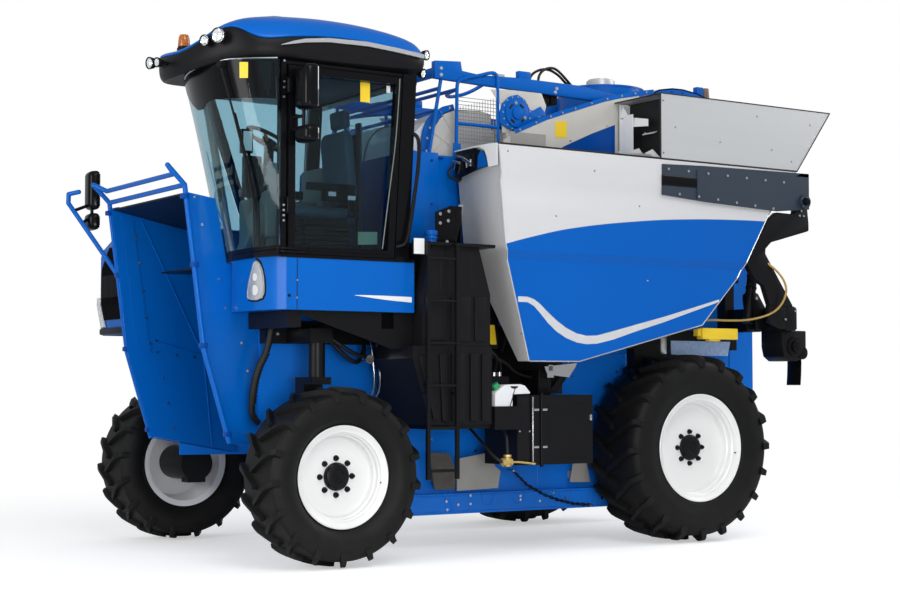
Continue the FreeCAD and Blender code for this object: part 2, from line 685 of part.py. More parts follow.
def lift_line():
    """Length of the closed lift cylinder between its two pins, and its direction."""
    foot = Vector(size("lift_foot_x"), 0, size("lift_foot_z"))
    line = Vector(size("lift_eye_x"), 0, size("lift_eye_z")) - foot
    return line.Length, line.normalize()


def along_lift(side, start, length, radius):
    """A round bar on the lift cylinder's line, from `start` past its foot."""
    foot = Vector(size("lift_foot_x"), SIDES[side] * size("lift_y"), size("lift_foot_z"))
    line = lift_line()[1]
    return Part.makeCylinder(radius, length, foot + line * start, line)


def cross_pin(side, x, z, radius, half):
    y = SIDES[side] * size("lift_y")
    return Part.makeCylinder(radius, 2 * half, Vector(x, y - half, z), Vector(0, 1, 0))


LIFT_TAIL = 208


def lift_barrel(side):
    """Barrel that swings on its trunnion on the rear frame."""
    length = lift_line()[0]
    rad = size("lift_rad")
    body = along_lift(side, -LIFT_TAIL, length - 75 + LIFT_TAIL, rad)
    bore = along_lift(side, 15 - LIFT_TAIL, length + LIFT_TAIL, size("lift_rod") + size("seat_gap"))
    trunnion = cross_pin(side, size("lift_foot_x"), size("lift_foot_z"), 16, rad + 15)
    return made(f"{side}_lift_barrel", body.fuse(trunnion).cut(bore))


def lift_rod(side):
    """Rod that pushes the hopper over, with its eye on the hopper's pin."""
    length = lift_line()[0]
    shaft = along_lift(side, 20 - LIFT_TAIL, length + LIFT_TAIL - 42, size("lift_rod"))
    eye = cross_pin(side, size("lift_eye_x"), size("lift_eye_z"), 34, 35.7)
    hole = cross_pin(side, size("lift_eye_x"), size("lift_eye_z"), 15.5, 40)
    return made(f"{side}_lift_rod", shaft.fuse(eye).cut(hole))


def rear_frame(side):
    """Black beam and leg behind the rear wheel that carry the hopper's pivot."""
    name = f"{side}_rear_frame"
    low, high = span(side, "wall_out + rail_wide", "hop_out - 20")
    beam = block(name + "_beam", ("-2460", low, "1690"), ("120", f"{high} - {low}", "195"))
    low, high = span(side, "hop_out - 75", "hop_out - 8")
    leg = prism(name + "_leg", "xz",
                [("-2460", "1700"), ("-2340", "1700"), ("-2340", "1960"), ("-2430", "2250"), ("pivot_x + 60", "pivot_z"),
                 ("pivot_x - 60", "pivot_z"), ("-2560", "2350"), ("-2460", "2000")], low, high)
    boss = rod(name + "_boss", ("pivot_x", low, "pivot_z"), "60", f"{high} - {low}", "y")
    pin_low, pin_high = span(side, "hop_out - 60", "half_wide")
    pin = rod(name + "_pin", ("pivot_x", pin_low, "pivot_z"), "pivot_rad", f"{pin_high} - {pin_low}", "y")
    ears = []
    for number, start in enumerate(("lift_y - lift_rad - 22", "lift_y + lift_rad + 6")):
        low, high = span(side, start, f"{start} + 16")
        ears.append(prism(f"{name}_ear_{number}", "xz",
                          [("-2345", "1700"), ("lift_foot_x + 32", "lift_foot_z - 40"),
                           ("lift_foot_x + 32", "lift_foot_z + 34"), ("lift_foot_x - 32", "lift_foot_z + 34"),
                           ("-2345", "1860")], low, high))
    low, high = span(side, "lift_y - lift_rad - 30", "lift_y + lift_rad + 30")
    bore = rod(name + "_bore", ("lift_foot_x", low, "lift_foot_z"), "16 + seat_gap", f"{high} - {low}", "y")
    body = fuse(name + "_body", [beam, leg, boss, pin] + ears)
    return cut(name, body, bore)


def rear_housing(side):
    """Rounded lamp housing and mud flap under the rear beam's outer end."""
    name = f"{side}_rear_housing"
    low, high = span(side, "1180", "1430")
    shell = prism(name + "_shell", "xz",
                  [("-2450", "1690"), ("-2350", "1690"), ("-2400", "1480"), ("-2440", "1440"), ("-2560", "1440"),
                   ("-2620", "1500"), ("-2620", "1620"), ("-2560", "1690")], low, high)
    low, high = span(side, "1230", "1400")
    flap = block(name + "_flap", ("-2600", low, "1240"), ("14", f"{high} - {low}", "260"))
    return fuse(name, [shell, flap])


# ---------------------------------------------------------------- cab
def curve(points, z):
    line = Part.BSplineCurve()
    line.interpolate([Vector(x, y, z) for x, y in points])
    return line


def front_line(reach):
    """Plan of the windscreen, from the right-hand corner round to the door post."""
    right, left = size("cab_right"), size("cab_left")
    low = [(1700, right), (1950, right + 150), (2180, 350), (2275, 700), (2285, 1000), (2262, 1200), (2232, left - 8)]
    high = [(2170, right), (2340, right + 150), (2470, 300), (2570, 600), (2590, 900), (2540, 1120), (2242, left - 8)]
    return [(a[0] + (b[0] - a[0]) * reach, a[1] + (b[1] - a[1]) * reach) for a, b in zip(low, high)]


def sheet_section(points, z, wall):
    """Closed wire of a curved sheet's cut at one height."""
    inner = [(x - wall, y) for x, y in points]
    front, back = curve(points, z), curve(inner[::-1], z)
    ends = [Part.LineSegment(Vector(*points[-1], z), Vector(*inner[-1], z)),
            Part.LineSegment(Vector(*inner[0], z), Vector(*points[0], z))]
    return Part.Wire([front.toShape(), ends[0].toShape(), back.toShape(), ends[1].toShape()])


def windscreen():
    low, high = size("cab_floor") + size("seat_gap"), size("cab_ceil") - size("seat_gap")
    edges = [curve(front_line(0), low).toShape(), curve(front_line(1), high).toShape()]
    return made("windscreen", Part.makeRuledSurface(*edges).extrude(Vector(-size("glass"), 0, 0)))


def cab_base():
    """Blue lower body of the cab outside the tunnel, and the floor that reaches over it."""
    left, floor, under, right = size("cab_left"), size("cab_floor"), size("cab_under"), size("cab_right")
    plan = front_line(0)
    plan[-1] = (2180, left)
    rear = [Vector(2180, left, under), Vector(size("cab_rear"), left, under), Vector(size("cab_rear"), right, under),
            Vector(1700, right, under)]
    wire = Part.Wire([curve(plan, under).toShape()] + [Part.makeLine(a, b) for a, b in zip(rear, rear[1:])])
    body = Part.Face(wire).extrude(Vector(0, 0, floor - under))
    inner = size("wall_out") + 2
    over_tunnel = Part.makeBox(3000, inner + 500, size("tunnel_roof") - under + 10, Vector(500, -500, under - 10))
    return keep(made("cab_base", body.cut(over_tunnel)), "cab_base")


DOOR_HINGES = (2420, 3240)
HINGE_TALL = 90


def cab_frame():
    """Cab posts, rear wall frame and the ring under the roof."""
    left, right, floor, ceil = size("cab_left"), size("cab_right"), size("cab_floor"), size("cab_ceil")
    post = size("post")
    rear = size("cab_rear")
    pieces = []
    for y in (left - post, right):
        slope = [Vector(rear + 50, y, floor), Vector(rear + 160, y, floor), Vector(rear + 90, y, ceil),
                 Vector(rear - 20, y, ceil)]
        pieces.append(Part.Face(Part.makePolygon(slope + slope[:1])).extrude(Vector(0, post, 0)))
    hinge = size("hinge_x") + 6
    pieces.append(Part.makeBox(post - 20, post, ceil - floor, Vector(hinge, left - post - 10, floor)))
    for z in DOOR_HINGES:
        for low in (z - 12 - size("seat_gap"), z + HINGE_TALL + size("seat_gap")):
            pieces.append(Part.makeBox(32, 32, 12, Vector(size("hinge_x") - 6.5, left - 12, low)))
        pieces.append(Part.makeCylinder(5, HINGE_TALL + 24, Vector(size("hinge_x"), left + 10, z - 12)))
    corner = [Vector(1640, right, floor), Vector(1690, right, floor), Vector(2160, right, ceil),
              Vector(2090, right, ceil)]
    pieces.append(Part.Face(Part.makePolygon(corner + corner[:1])).extrude(Vector(0, post, 0)))
    for z, tall in ((floor, 60), (ceil - 70, 70)):
        start = rear + 44 if z == floor else rear - 20
        pieces.append(Part.makeBox(rear + 90 - start, left - right, tall, Vector(start, right, z)))
    top = ceil - 50
    pieces.append(Part.makeBox(2140 - rear, post, 50, Vector(rear, right, top)))
    pieces.append(Part.makeBox(hinge + 20 - rear, post - 12, 22, Vector(rear, left - post, ceil - 22)))
    pieces.append(Part.makeBox(1660 - rear - 60, post, 50, Vector(rear + 60, right, floor)))
    return keep(made("cab_frame", pieces[0].fuse(pieces[1:]).removeSplitter()), "cab_frame")


def side_sheet(name, corners_xz, y, wall):
    face = Part.Face(Part.makePolygon([Vector(x, y, z) for x, z in corners_xz + corners_xz[:1]]))
    return made(name, face.extrude(Vector(0, wall, 0)))


def cab_glass():
    floor, ceil, rear, right = size("cab_floor"), size("cab_ceil"), size("cab_rear"), size("cab_right")
    low, high = floor + 50.3, ceil - 50.3
    outline_xz = [(rear + 158, low), (1656.5, low), (2072.5, high), (rear + 93.5, high)]
    side_pane = side_sheet("right_glass", outline_xz, right + 20, size("glass"))
    width = size("cab_left") - right - 2 * size("post") - 0.6
    slope = [Vector(rear + 70, right + size("post") + 0.3, floor + 60.3),
             Vector(rear + 4, right + size("post") + 0.3, ceil - 70.3)]
    slope += [slope[1] + Vector(size("glass"), 0, 0), slope[0] + Vector(size("glass"), 0, 0)]
    face = Part.Face(Part.makePolygon(slope + slope[:1]))
    rear_pane = made("rear_glass", face.extrude(Vector(0, width, 0)))
    return keep(group("cab_glass", [windscreen(), side_pane, rear_pane]), "cab_glass")


def cab_door():
    """Front-hinged glazed door: frame, glass and the mirror's two heads."""
    left, floor, ceil, rear = size("cab_left"), size("cab_floor"), size("cab_ceil"), size("cab_rear")
    gap, skin = size("door_gap"), size("door_skin")
    low, high = floor + gap, ceil - 22 - gap
    front = size("hinge_x") - gap
    slope = -70 / (ceil - floor)
    edge_low = rear + 160 + (low - floor) * slope + gap
    edge_high = rear + 160 + (high - floor) * slope + gap
    outer = [(front, low), (front, high), (edge_high, high), (edge_low, low)]
    frame = 52
    inner = [(front - frame, low + frame), (front - frame, high - frame), (edge_high + frame, high - frame),
             (edge_low + frame, low + frame)]
    y = left - skin
    solid = side_sheet("door_solid", outer, y, skin)
    window = side_sheet("door_window", inner, y - 1, skin + 2)
    shape = solid.Shape.cut(window.Shape)
    doc.removeObject(solid.Name)
    doc.removeObject(window.Name)
    for z in DOOR_HINGES:
        shape = shape.fuse(Part.makeBox(30, 16, HINGE_TALL, Vector(size("hinge_x") - 30, left - 2, z)))
        shape = shape.fuse(Part.makeCylinder(9, HINGE_TALL, Vector(size("hinge_x"), left + 10, z)))
        shape = shape.cut(Part.makeCylinder(5 + size("seat_gap"), HINGE_TALL, Vector(size("hinge_x"), left + 10, z)))
    keep(made("cab_door", shape), "cab_door")
    glass = [(front - frame + 8, low + frame - 8), (front - frame + 8, high - frame + 8),
             (edge_high + frame - 8, high - frame + 8), (edge_low + frame - 8, low + frame - 8)]
    pane = side_sheet("door_pane", glass, y - size("glass") - 0.0, size("glass"))
    keep(pane, "door_glass")


def mirror(x, y, split, top, foot, arm_ends):
    """Two black mirror heads, one over the other, on two arms."""
    pieces = [Part.makeBox(52, 176, top - split - 14, Vector(x - 26, y - 88, split + 14)),
              Part.makeBox(52, 156, split - foot, Vector(x - 26, y - 78, foot)),
              Part.makeBox(20, 30, 60, Vector(x - 10, y - 15, split - 20))]
    for rise, end in zip((7, -70), arm_ends):
        pieces.append(bar((x, y, split + rise), end, 9))
    return pieces[0].fuse(pieces[1:])


def mirrors():
    """The left mirror is carried by the door's front stile, the right one by the front guard's loop."""
    face = size("cab_left") + size("seat_gap")
    pad = Part.makeBox(34, 8, 150, Vector(2123, face, 2950))
    left = mirror(2085, 1470, 3060, 3400, 2880, [(2140, face + 5, 3070), (2140, face + 5, 2980)]).fuse(pad)
    keep(made("left_mirror", left.removeSplitter()), "left_mirror")
    loop = mirror_loop()
    reach = loop[-2][0] - loop[-1][0]
    right = mirror(loop[-2][0] - reach * 192 / 267, -1050, 2500, 2880, 2290,
                   [(loop[-2][0] - reach * 75 / 267, -968, 2500), (loop[-2][0] - reach * 113 / 267, -918, 2420)])
    right = right.cut(bar(*mirror_loop()[-2:], size("tube") + size("seat_gap")))
    keep(made("right_mirror", max(right.Solids, key=lambda solid: solid.Volume)), "right_mirror")


ROOF_LAMPS = ((2600, 1180, 3610), (2650, 1070, 3590), (2745, 440, 3520), (2785, 640, 3490))
LAMP_STUB, LAMP_RADIUS, LAMP_LONG = 18, 44, 55


def ring(points, z):
    line = Part.BSplineCurve()
    line.interpolate([Vector(x, y, z) for x, y in points], PeriodicFlag=True)
    return Part.Wire([line.toShape()])


def roof_plan(along, across, shift):
    """Rounded plan of the roof, scaled about its middle and moved along X."""
    left, right = size("cab_left") + 20, size("cab_right") - 20
    rear, nose = 1010, 2760
    middle = (left + right) / 2
    full = [(rear + 30, left - 40), (1400, left), (2200, left), (2520, left - 190), (nose, middle + 130),
            (nose - 90, middle - 330), (2420, right + 60), (2000, right), (1400, right), (rear + 30, right + 40),
            (rear, middle)]
    centre = 1860
    return [(centre + shift + (x - centre) * along, middle + (y - middle) * across) for x, y in full]


def cab_roof():
    """Black fascia ring and the crowned blue roof over it."""
    ceil, edge, top = size("cab_ceil"), size("roof_edge"), size("roof_top")
    fascia = Part.makeLoft([ring(roof_plan(0.97, 0.96, 0), ceil), ring(roof_plan(1, 1, 0), ceil + 70),
                            ring(roof_plan(0.98, 1, -10), edge)], True, False)
    for point in ROOF_LAMPS:
        bore = Part.makeCylinder(LAMP_STUB + size("seat_gap"), 230, Vector(*point) - Vector(200, 0, 0),
                                 Vector(1, 0, 0))
        fascia = fascia.cut(bore)
    keep(made("roof_fascia", fascia), "roof_fascia")
    rings = [ring(roof_plan(0.98, 1, -10), edge), ring(roof_plan(0.90, 0.95, -60), edge + 130),
             ring(roof_plan(0.72, 0.78, -90), top - 30), ring(roof_plan(0.4, 0.45, -100), top)]
    cap = Part.makeLoft(rings, True, False)
    keep(made("cab_roof", cap), "cab_roof")


def roof_lamps():
    """Work lamps at the roof's front corners, each on a stub that enters the fascia."""
    lamps = []
    for number, point in enumerate(ROOF_LAMPS):
        lamp = Part.makeCylinder(LAMP_RADIUS, LAMP_LONG, Vector(*point), Vector(1, 0, 0))
        stub = Part.makeCylinder(LAMP_STUB, 200, Vector(*point) - Vector(190, 0, 0), Vector(1, 0, 0))
        lamps.append(made(f"lamp_{number}", lamp.fuse(stub)))
    return keep(group("roof_lamps", lamps), "roof_lamps")


# ---------------------------------------------------------------- inside the cab
def operator_seat():
    base = Part.makeBox(420, 420, 300, Vector(1370, 440, size("cab_floor")))
    cushion = Part.makeBox(480, 500, 110, Vector(1360, 400, size("cab_floor") + 300))
    back = Part.makeBox(110, 480, 600, Vector(1330, 410, size("cab_floor") + 410))
    head = Part.makeBox(80, 260, 150, Vector(1340, 520, size("cab_floor") + 1009))
    return keep(made("operator_seat", base.fuse([cushion, back, head]).removeSplitter()), "operator_seat")


def steering_column():
    floor = size("cab_floor")
    stem = bar((2049, 650, floor + 10), (1960, 650, floor + 640), 45)
    foot = Part.makeBox(130, 130, 16, Vector(1985, 585, floor))
    wheel = Part.makeTorus(180, 16, Vector(1950, 650, floor + 720), Vector(-0.35, 0, 0.94))
    hub = Part.makeCylinder(60, 70, Vector(1972, 650, floor + 645), Vector(-0.35, 0, 0.94))
    spokes = bar((1950, 480, floor + 715), (1950, 820, floor + 715), 14)
    return made("steering_column", stem.fuse([foot, hub, spokes, wheel]))


def console():
    """Control box beside the seat, with its armrest."""
    floor = size("cab_floor")
    box = Part.makeBox(560, 200, 520, Vector(1400, 150, floor))
    arm = Part.makeBox(420, 120, 60, Vector(1560, 190, floor + 520))
    return made("console", box.fuse(arm).removeSplitter())


# ---------------------------------------------------------------- engine bay
HOOD_PLAN = [
    ("bay_rear", "-bay_in"), ("bay_front - 80", "-bay_in"), ("bay_front", "-bay_in - 170"),
    ("bay_front", "-bay_out + 110"), ("bay_front - 40", "-bay_out"), ("bay_rear", "-bay_out"),
]
HOOD_SIDE = [
    ("bay_rear", "bay_low"), ("bay_front - 60", "bay_low"), ("bay_front", "bay_low + 240"),
    ("bay_front", "bay_top - 330"), ("bay_front - 60", "bay_top - 150"), ("bay_front - 190", "bay_top"),
    ("bay_rear", "bay_top"),
]


def hood_inside(plan, side):
    """Room under the hood's skin, open below and at the rear."""
    flat = inset(HOOD_PLAN, corners(first_sketch(plan)), "hood_skin")
    flat[0], flat[1] = ("bay_rear - 20", "30 - bay_in"), (flat[1][0], "30 - bay_in")
    flat[-1] = ("bay_rear - 20", flat[-1][1])
    tall = inset(HOOD_SIDE, corners(first_sketch(side)), "hood_skin")
    tall[0], tall[1] = ("bay_rear - 20", "bay_low - 10"), (tall[1][0], "bay_low - 10")
    tall[-1] = ("bay_rear - 20", tall[-1][1])
    return shared("hood_inside", [prism("hood_inside_plan", "xy", flat, "bay_low - 10", "bay_top"),
                                  prism("hood_inside_side", "xz", tall, "-bay_out", "20 - bay_in")])


def engine_bay():
    """Side-opening hood over the engine, in front of the cab on the right."""
    name = "engine_hood"
    plan = prism("hood_plan", "xy", HOOD_PLAN, "bay_low", "bay_top")
    side = prism("hood_side", "xz", HOOD_SIDE, "-bay_out", "-bay_in")
    shell = cut(name + "_shell", shared("hood_solid", [plan, side]), hood_inside(plan, side))
    barrels = []
    for number, station in enumerate(HOOD_HINGES):
        barrel = rod(f"hood_barrel_{number}", (station, "-hood_y", "hood_z"), "11", "hinge_long", "x")
        bore = rod(f"hood_bore_{number}", (f"{station} - 1", "-hood_y", "hood_z"), "5 + seat_gap",
                   "hinge_long + 2", "x")
        barrels.append(cut(f"hood_knuckle_{number}", barrel, bore))
        slot = block(f"hood_slot_{number}", (f"{station} - 30", "-bay_in - 22", "bay_top - 30"),
                     ("30", "30", "60"))
        far = block(f"hood_gap_{number}", (f"{station} + hinge_long", "-bay_in - 22", "bay_top - 30"),
                    ("30", "30", "60"))
        shell = cut(f"hood_notch_{number}_b", cut(f"hood_notch_{number}_a", shell, slot), far)
    keep(fuse(name, [shell] + barrels), name)
    keep(block("engine_block", ("1330", "150 - bay_out", "rail_high + seat_gap"), ("850", "bay_out - bay_in - 230", "560")), "engine_block")


# ---------------------------------------------------------------- service side
def tank(side):
    """Ribbed plastic tank between the wheels, its front face raked for the steered tyre."""
    name = "fuel_tank" if side == "left" else "hydraulic_tank"
    low, high = span(side, "wall_out + rail_wide + 110", "1440")
    points = [("1080", "960"), ("1225", "1430"), ("1225", "1520"), ("tank_rear", "1520"), ("tank_rear", "960")]
    return prism(name, "xz", points, low, high)


def upper_tank(side):
    name = f"{side}_upper_tank"
    low, high = span(side, "wall_out + rail_wide + 110", "1430")
    points = [("1140", "1521"), ("1140", "1900"), ("1060", "2238"), ("660", "2238"), ("560", "1900"), ("560", "1521")]
    return prism(name, "xz", points, low, high)


def tank_shelf(side):
    """Bracket from the rail that carries the tanks and the walkway."""
    name = f"{side}_tank_shelf"
    low, high = span(side, "wall_out + rail_wide", "wall_out + rail_wide + 109")
    wall = block(name + "_wall", ("450", low, "930"), ("680", f"{high} - {low}", "1308"))
    low, high = span(side, "wall_out + rail_wide", "1420")
    floor = block(name + "_floor", ("tank_rear", low, "930"), ("1070 - tank_rear", f"{high} - {low}", "29.7"))
    low, high = span(side, "deck_half", "1470")
    walk = block(name + "_walk", ("540", low, "2238"), ("600", f"{high} - {low}", "22"))
    return fuse(name, [wall, floor, walk])


def ladder():
    """Access ladder on the left side."""
    x, wide, y, low, high = (size(k) for k in ("ladder_x", "ladder_wide", "ladder_y", "ladder_low", "ladder_high"))
    stile = size("stile")
    pieces = [Part.makeBox(stile, stile, high - low, Vector(x + k * (wide - stile), y - stile / 2, low))
              for k in (0, 1)]
    for number in range(6):
        pieces.append(bar((x + 5, y, low + 60 + number * 300), (x + wide - 5, y, low + 60 + number * 300), 11))
    for k in (0, 1):
        for start, z in ((1440, 1180), (1470, 2244)):
            pieces.append(Part.makeBox(stile, y - start, 14, Vector(x + k * (wide - stile), start, z)))
    return keep(made("ladder", pieces[0].fuse(pieces[1:]).removeSplitter()), "ladder")


def tool_box():
    """Steel box ahead of the rear wheel with a side door on a vertical hinge."""
    name = "tool_box"
    outer = block(name + "_outer", ("box_rear", "box_in", "box_low"),
                  ("box_front - box_rear", "box_out - box_in", "box_high - box_low"))
    inner = block(name + "_inner", ("box_rear + 4", "box_in + 4", "box_low + 4"),
                  ("96 - box_rear", "box_out - box_in", "box_high - box_low - 8"))
    filler = block(name + "_filler", ("100", "box_in + 4", "box_low + 4"),
                   ("box_front - 104", "box_out - box_in - 8", "box_high - box_low - 8"))
    hanger = block(name + "_hanger", ("box_rear + 60", "wall_out + rail_wide", "box_high - 60"),
                   ("box_front - box_rear - 120", "box_in - wall_out - rail_wide + 1", "60"))
    rise = block(name + "_rise", ("box_rear + 60", "wall_out + 0.3", "box_high - 60"), ("80", "rail_wide", "430"))
    rise_two = block(name + "_rise_two", ("box_front - 140", "wall_out + 0.3", "box_high - 60"),
                     ("80", "rail_wide", "430"))
    body = cut(name + "_shell", cut(name + "_half", outer, inner), filler)
    cup = block("can_cup", ("box_front - 1", "1320", "920"), ("225", "140", "170"))
    hollow = block("can_hollow", ("349.7", "1329.7", "930"), ("180.6", "120.6", "200"))
    holder = cut("can_holder", cup, hollow)
    lugs = []
    for number, low in enumerate(("box_low - 14", "box_high")):
        lug = block(f"hinge_lug_{number}", ("88", "box_out - 1", low), ("24", "20", "14"))
        bore = rod(f"hinge_bore_{number}", ("100", "box_out + 9", "box_low - 30"), "6 + seat_gap", "700")
        lugs.append(cut(f"hinge_ear_{number}", lug, bore))
    keep(fuse(name, [body, hanger, rise, rise_two, holder] + lugs), name)
    door = block("tool_door_leaf", ("box_rear", "box_out + 3", "box_low + 4"),
                 ("96 - box_rear", "4", "box_high - box_low - 8"))
    pin = rod("tool_door_pin", ("100", "box_out + 9", "box_low - 12"), "6", "box_high - box_low + 24")
    tab = block("tool_door_tab", ("80", "box_out + 3", "box_low + 60"), ("18", "8", "60"))
    keep(fuse("tool_door", [door, pin, tab]), "tool_door")


def canister():
    """Plastic can standing in the cup beside the tool box."""
    can = block("can_body", ("350", "1330", "930.3"), ("180", "120", "310"))
    neck = rod("can_neck", ("480", "1390", "1239"), "24", "30")
    return keep(fuse("canister", [can, neck]), "canister")


def front_shield():
    """Curved blue panel in front of the basket rings, over the tunnel."""
    wide, near = size("deck_half") + 30, size("wall_out") + 10
    outer = [(1000, -wide), (905, -near), (890, 0), (905, near), (1000, wide)]
    low = size("arch_high") + size("seat_gap")
    return keep(made("front_shield", Part.makeLoft([sheet_section(outer, low, 6), sheet_section(
        [(x - 60, y) for x, y in outer], 3080, 6)], True, True)), "front_shield")


# ---------------------------------------------------------------- assembly
def joined(name, side, makers):
    """Pieces of one side that are fastened to each other, as one solid."""
    return fuse(f"{side}_{name}", [make(side) for make in makers])


PAIRS = {
    "front_columns": [front_column], "rear_legs": [rear_leg], "side_walls": [side_wall, lower_beam],
    "entry_flares": [flare], "basket_rings": [noria], "picking_heads": [picking_wall, shaker],
    "rear_towers": [rear_tower], "air_ducts": [duct, discharge], "upper_beams": [upper_beam],
    "fan_housings": [fan_housing], "rear_frames": [rear_frame, rear_housing], "side_tanks": [tank, upper_tank],
}
SIDED = {
    "front_knuckle": front_knuckle, "fan_rotor": fan_rotor, "hopper": hopper, "hopper_hood": hopper_hood,
    "lift_barrel": lift_barrel, "lift_rod": lift_rod,
}


def build():
    wheels()
    for word, make in SIDED.items():
        for side in SIDES:
            keep(make(side), f"{side}_{word}")
    for side in SIDES:
        keep(group(f"{side}_hopper_fittings", [hopper_arm(side), lift_lug(side)]), f"{side}_hopper_fittings")
    for word, makers in PAIRS.items():
        if len(makers) == 1:
            items = [makers[0](side) for side in SIDES]
        else:
            items = [joined(word, side, makers) for side in SIDES]
        keep(group(word, items), word)
    for make in (chassis_frame, tunnel_roof, front_guard, upper_deck, handrail_cage, front_shield, cab_base,
                 cab_frame, cab_glass, cab_door, cab_roof, roof_lamps, operator_seat, mirrors, engine_bay, ladder,
                 tool_box, canister):
        make()
    keep(group("cab_controls", [steering_column(), console()]), "cab_controls")


def write():
    """Check every object, then write one STEP file for each node."""
    doc.recompute()
    failed = [item.Label for item in doc.Objects if "Invalid" in item.State or "Error" in item.State]
    failed += [item.Label for item in NODES if item.Shape.isNull() or not item.Shape.isValid()]
    if failed:
        raise RuntimeError("failed: " + ", ".join(failed))
    os.makedirs("parts", exist_ok=True)
    for item in NODES:
        item.Shape.exportStep(f"parts/{item.Label}.step")
    whole = Part.makeCompound([item.Shape for item in NODES]).BoundBox
    print(len(NODES), "nodes", [round(v) for v in (whole.XMin, whole.XMax, whole.YMin, whole.YMax, whole.ZMin,
                                                   whole.ZMax)])


build()
write()
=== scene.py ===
# %% [markdown]
# # A grape harvester in Blender
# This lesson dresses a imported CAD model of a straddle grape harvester. The CAD
# gives the true sizes and the moving bodies; this file adds tyres with lugs,
# pressed sheet metal, glass, hoses, bolts and paint. Every new piece rides on
# a CAD body, so it moves when that body moves. Lengths are in metres, +X is
# forwards, +Y is the machine's left and +Z is up.

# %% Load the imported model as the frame
import math
import bmesh
import bpy
from mathutils import Matrix, Vector
from mathutils.bvhtree import BVHTree


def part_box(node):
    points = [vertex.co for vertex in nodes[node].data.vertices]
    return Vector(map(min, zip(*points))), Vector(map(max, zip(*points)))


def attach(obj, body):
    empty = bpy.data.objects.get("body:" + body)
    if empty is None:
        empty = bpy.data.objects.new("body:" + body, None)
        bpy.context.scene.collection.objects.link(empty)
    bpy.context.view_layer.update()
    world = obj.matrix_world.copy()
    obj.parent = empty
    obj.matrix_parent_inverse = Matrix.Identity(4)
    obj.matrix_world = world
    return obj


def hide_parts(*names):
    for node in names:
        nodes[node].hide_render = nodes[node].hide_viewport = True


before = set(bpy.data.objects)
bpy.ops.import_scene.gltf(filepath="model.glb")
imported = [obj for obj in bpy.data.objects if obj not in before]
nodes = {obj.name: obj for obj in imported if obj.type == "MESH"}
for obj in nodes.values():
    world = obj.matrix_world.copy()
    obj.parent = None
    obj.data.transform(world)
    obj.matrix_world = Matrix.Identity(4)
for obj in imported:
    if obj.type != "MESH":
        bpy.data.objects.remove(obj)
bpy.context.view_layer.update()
SIDES = {"left": 1, "right": -1}
DECK = 2.975  # top of the upper deck
CAB_FLOOR = 2.131
WALL = 0.69  # outer face of the side walls, from the middle
BEAM_SIDE = 0.76  # outer face of the lower beams
print(len(nodes), "CAD nodes in the frame")

# %% [markdown]
# ## Small modelling helpers
# Almost every piece of a farm machine is a folded plate, a block or a round
# bar. The helpers wrap bmesh operators, so that a piece can be put together
# from a few readable lines and then finished once: faces turned outwards, edges
# shaded by their angle. Most pieces exist twice, so places are given for the
# left side and moved to the wanted one.


# %% Helpers that pick one kind of part from what an operator made
def verts_in(parts):
    """The vertices."""
    return [part for part in parts if isinstance(part, bmesh.types.BMVert)]


def edges_in(parts):
    """The edges."""
    return [part for part in parts if isinstance(part, bmesh.types.BMEdge)]


def faces_in(parts):
    """The faces."""
    return [part for part in parts if isinstance(part, bmesh.types.BMFace)]


def added(bm, before):
    """The vertices that were not there before."""
    return [vert for vert in bm.verts if vert not in before]


def touching(verts):
    """The edges and faces that hang on some vertices."""
    edges = {edge for vert in verts for edge in vert.link_edges}
    faces = {face for vert in verts for face in vert.link_faces}
    return list(edges), list(faces)


# %% Helpers that add a shape to a bmesh
def block(bm, low, high):
    """A rectangular block between two corners."""
    low, high = Vector(low), Vector(high)
    place = Matrix.Translation((low + high) / 2) @ Matrix.Diagonal((*(high - low), 1))
    return bmesh.ops.create_cube(bm, size=1, matrix=place)["verts"]


def rod(bm, start, end, radius, sides=16, tip=None):
    """A round bar, or a cone if `tip` gives another radius at its end."""
    start, end = Vector(start), Vector(end)
    along = end - start
    turn = along.to_track_quat("Z", "Y").to_matrix().to_4x4()
    return bmesh.ops.create_cone(bm, cap_ends=True, segments=sides, radius1=radius, radius2=radius if tip is
        None else tip, depth=along.length, matrix=Matrix.Translation((start + end) / 2) @ turn)["verts"]


def plate(bm, corners, push):
    """A flat sheet with these corners, pushed along a vector to its thickness."""
    face = bm.faces.new([bm.verts.new(corner) for corner in corners])
    made = bmesh.ops.extrude_face_region(bm, geom=[face])["geom"]
    pushed = verts_in(made)
    bmesh.ops.translate(bm, verts=pushed, vec=push)
    return list(face.verts) + pushed


def bolt_heads(bm, points, axis, radius=0.012, height=0.008, sides=6):
    """Hexagon heads (or low discs) on a face, standing along an axis."""
    for point in points:
        rod(bm, point, Vector(point) + Vector(axis) * height, radius, sides, radius * 0.86)


def rounded(bm, edges, width, segments):
    """Round these edges."""
    bmesh.ops.bevel(bm, geom=edges, offset=width, offset_type="OFFSET", segments=segments, profile=0.5,
        affect="EDGES", material=-1, clamp_overlap=True)


def soften(bm, width, segments=2):
    """Round every edge that turns by more than about 30 degrees."""
    sharp = [edge for edge in bm.edges if len(edge.link_faces) == 2 and edge.calc_face_angle(0) > 0.5]
    rounded(bm, sharp, width, segments)


def whirl(bm, geom, steps, axis=(0, 1, 0), centre=(0, 0, 0), angle=math.tau, copies=False):
    """Spin a section about an axis into a closed skin, or repeat a part round it as copies."""
    bmesh.ops.spin(bm, geom=geom, cent=centre, axis=axis, dvec=(0, 0, 0), angle=angle, steps=steps,
        use_merge=not copies, use_normal_flip=False, use_duplicate=copies)


def turn_about(bm, verts, centre, degrees, axis):
    """Turn some vertices about an axis through a point."""
    bmesh.ops.rotate(bm, verts=verts, cent=centre, matrix=Matrix.Rotation(math.radians(degrees), 3, axis))


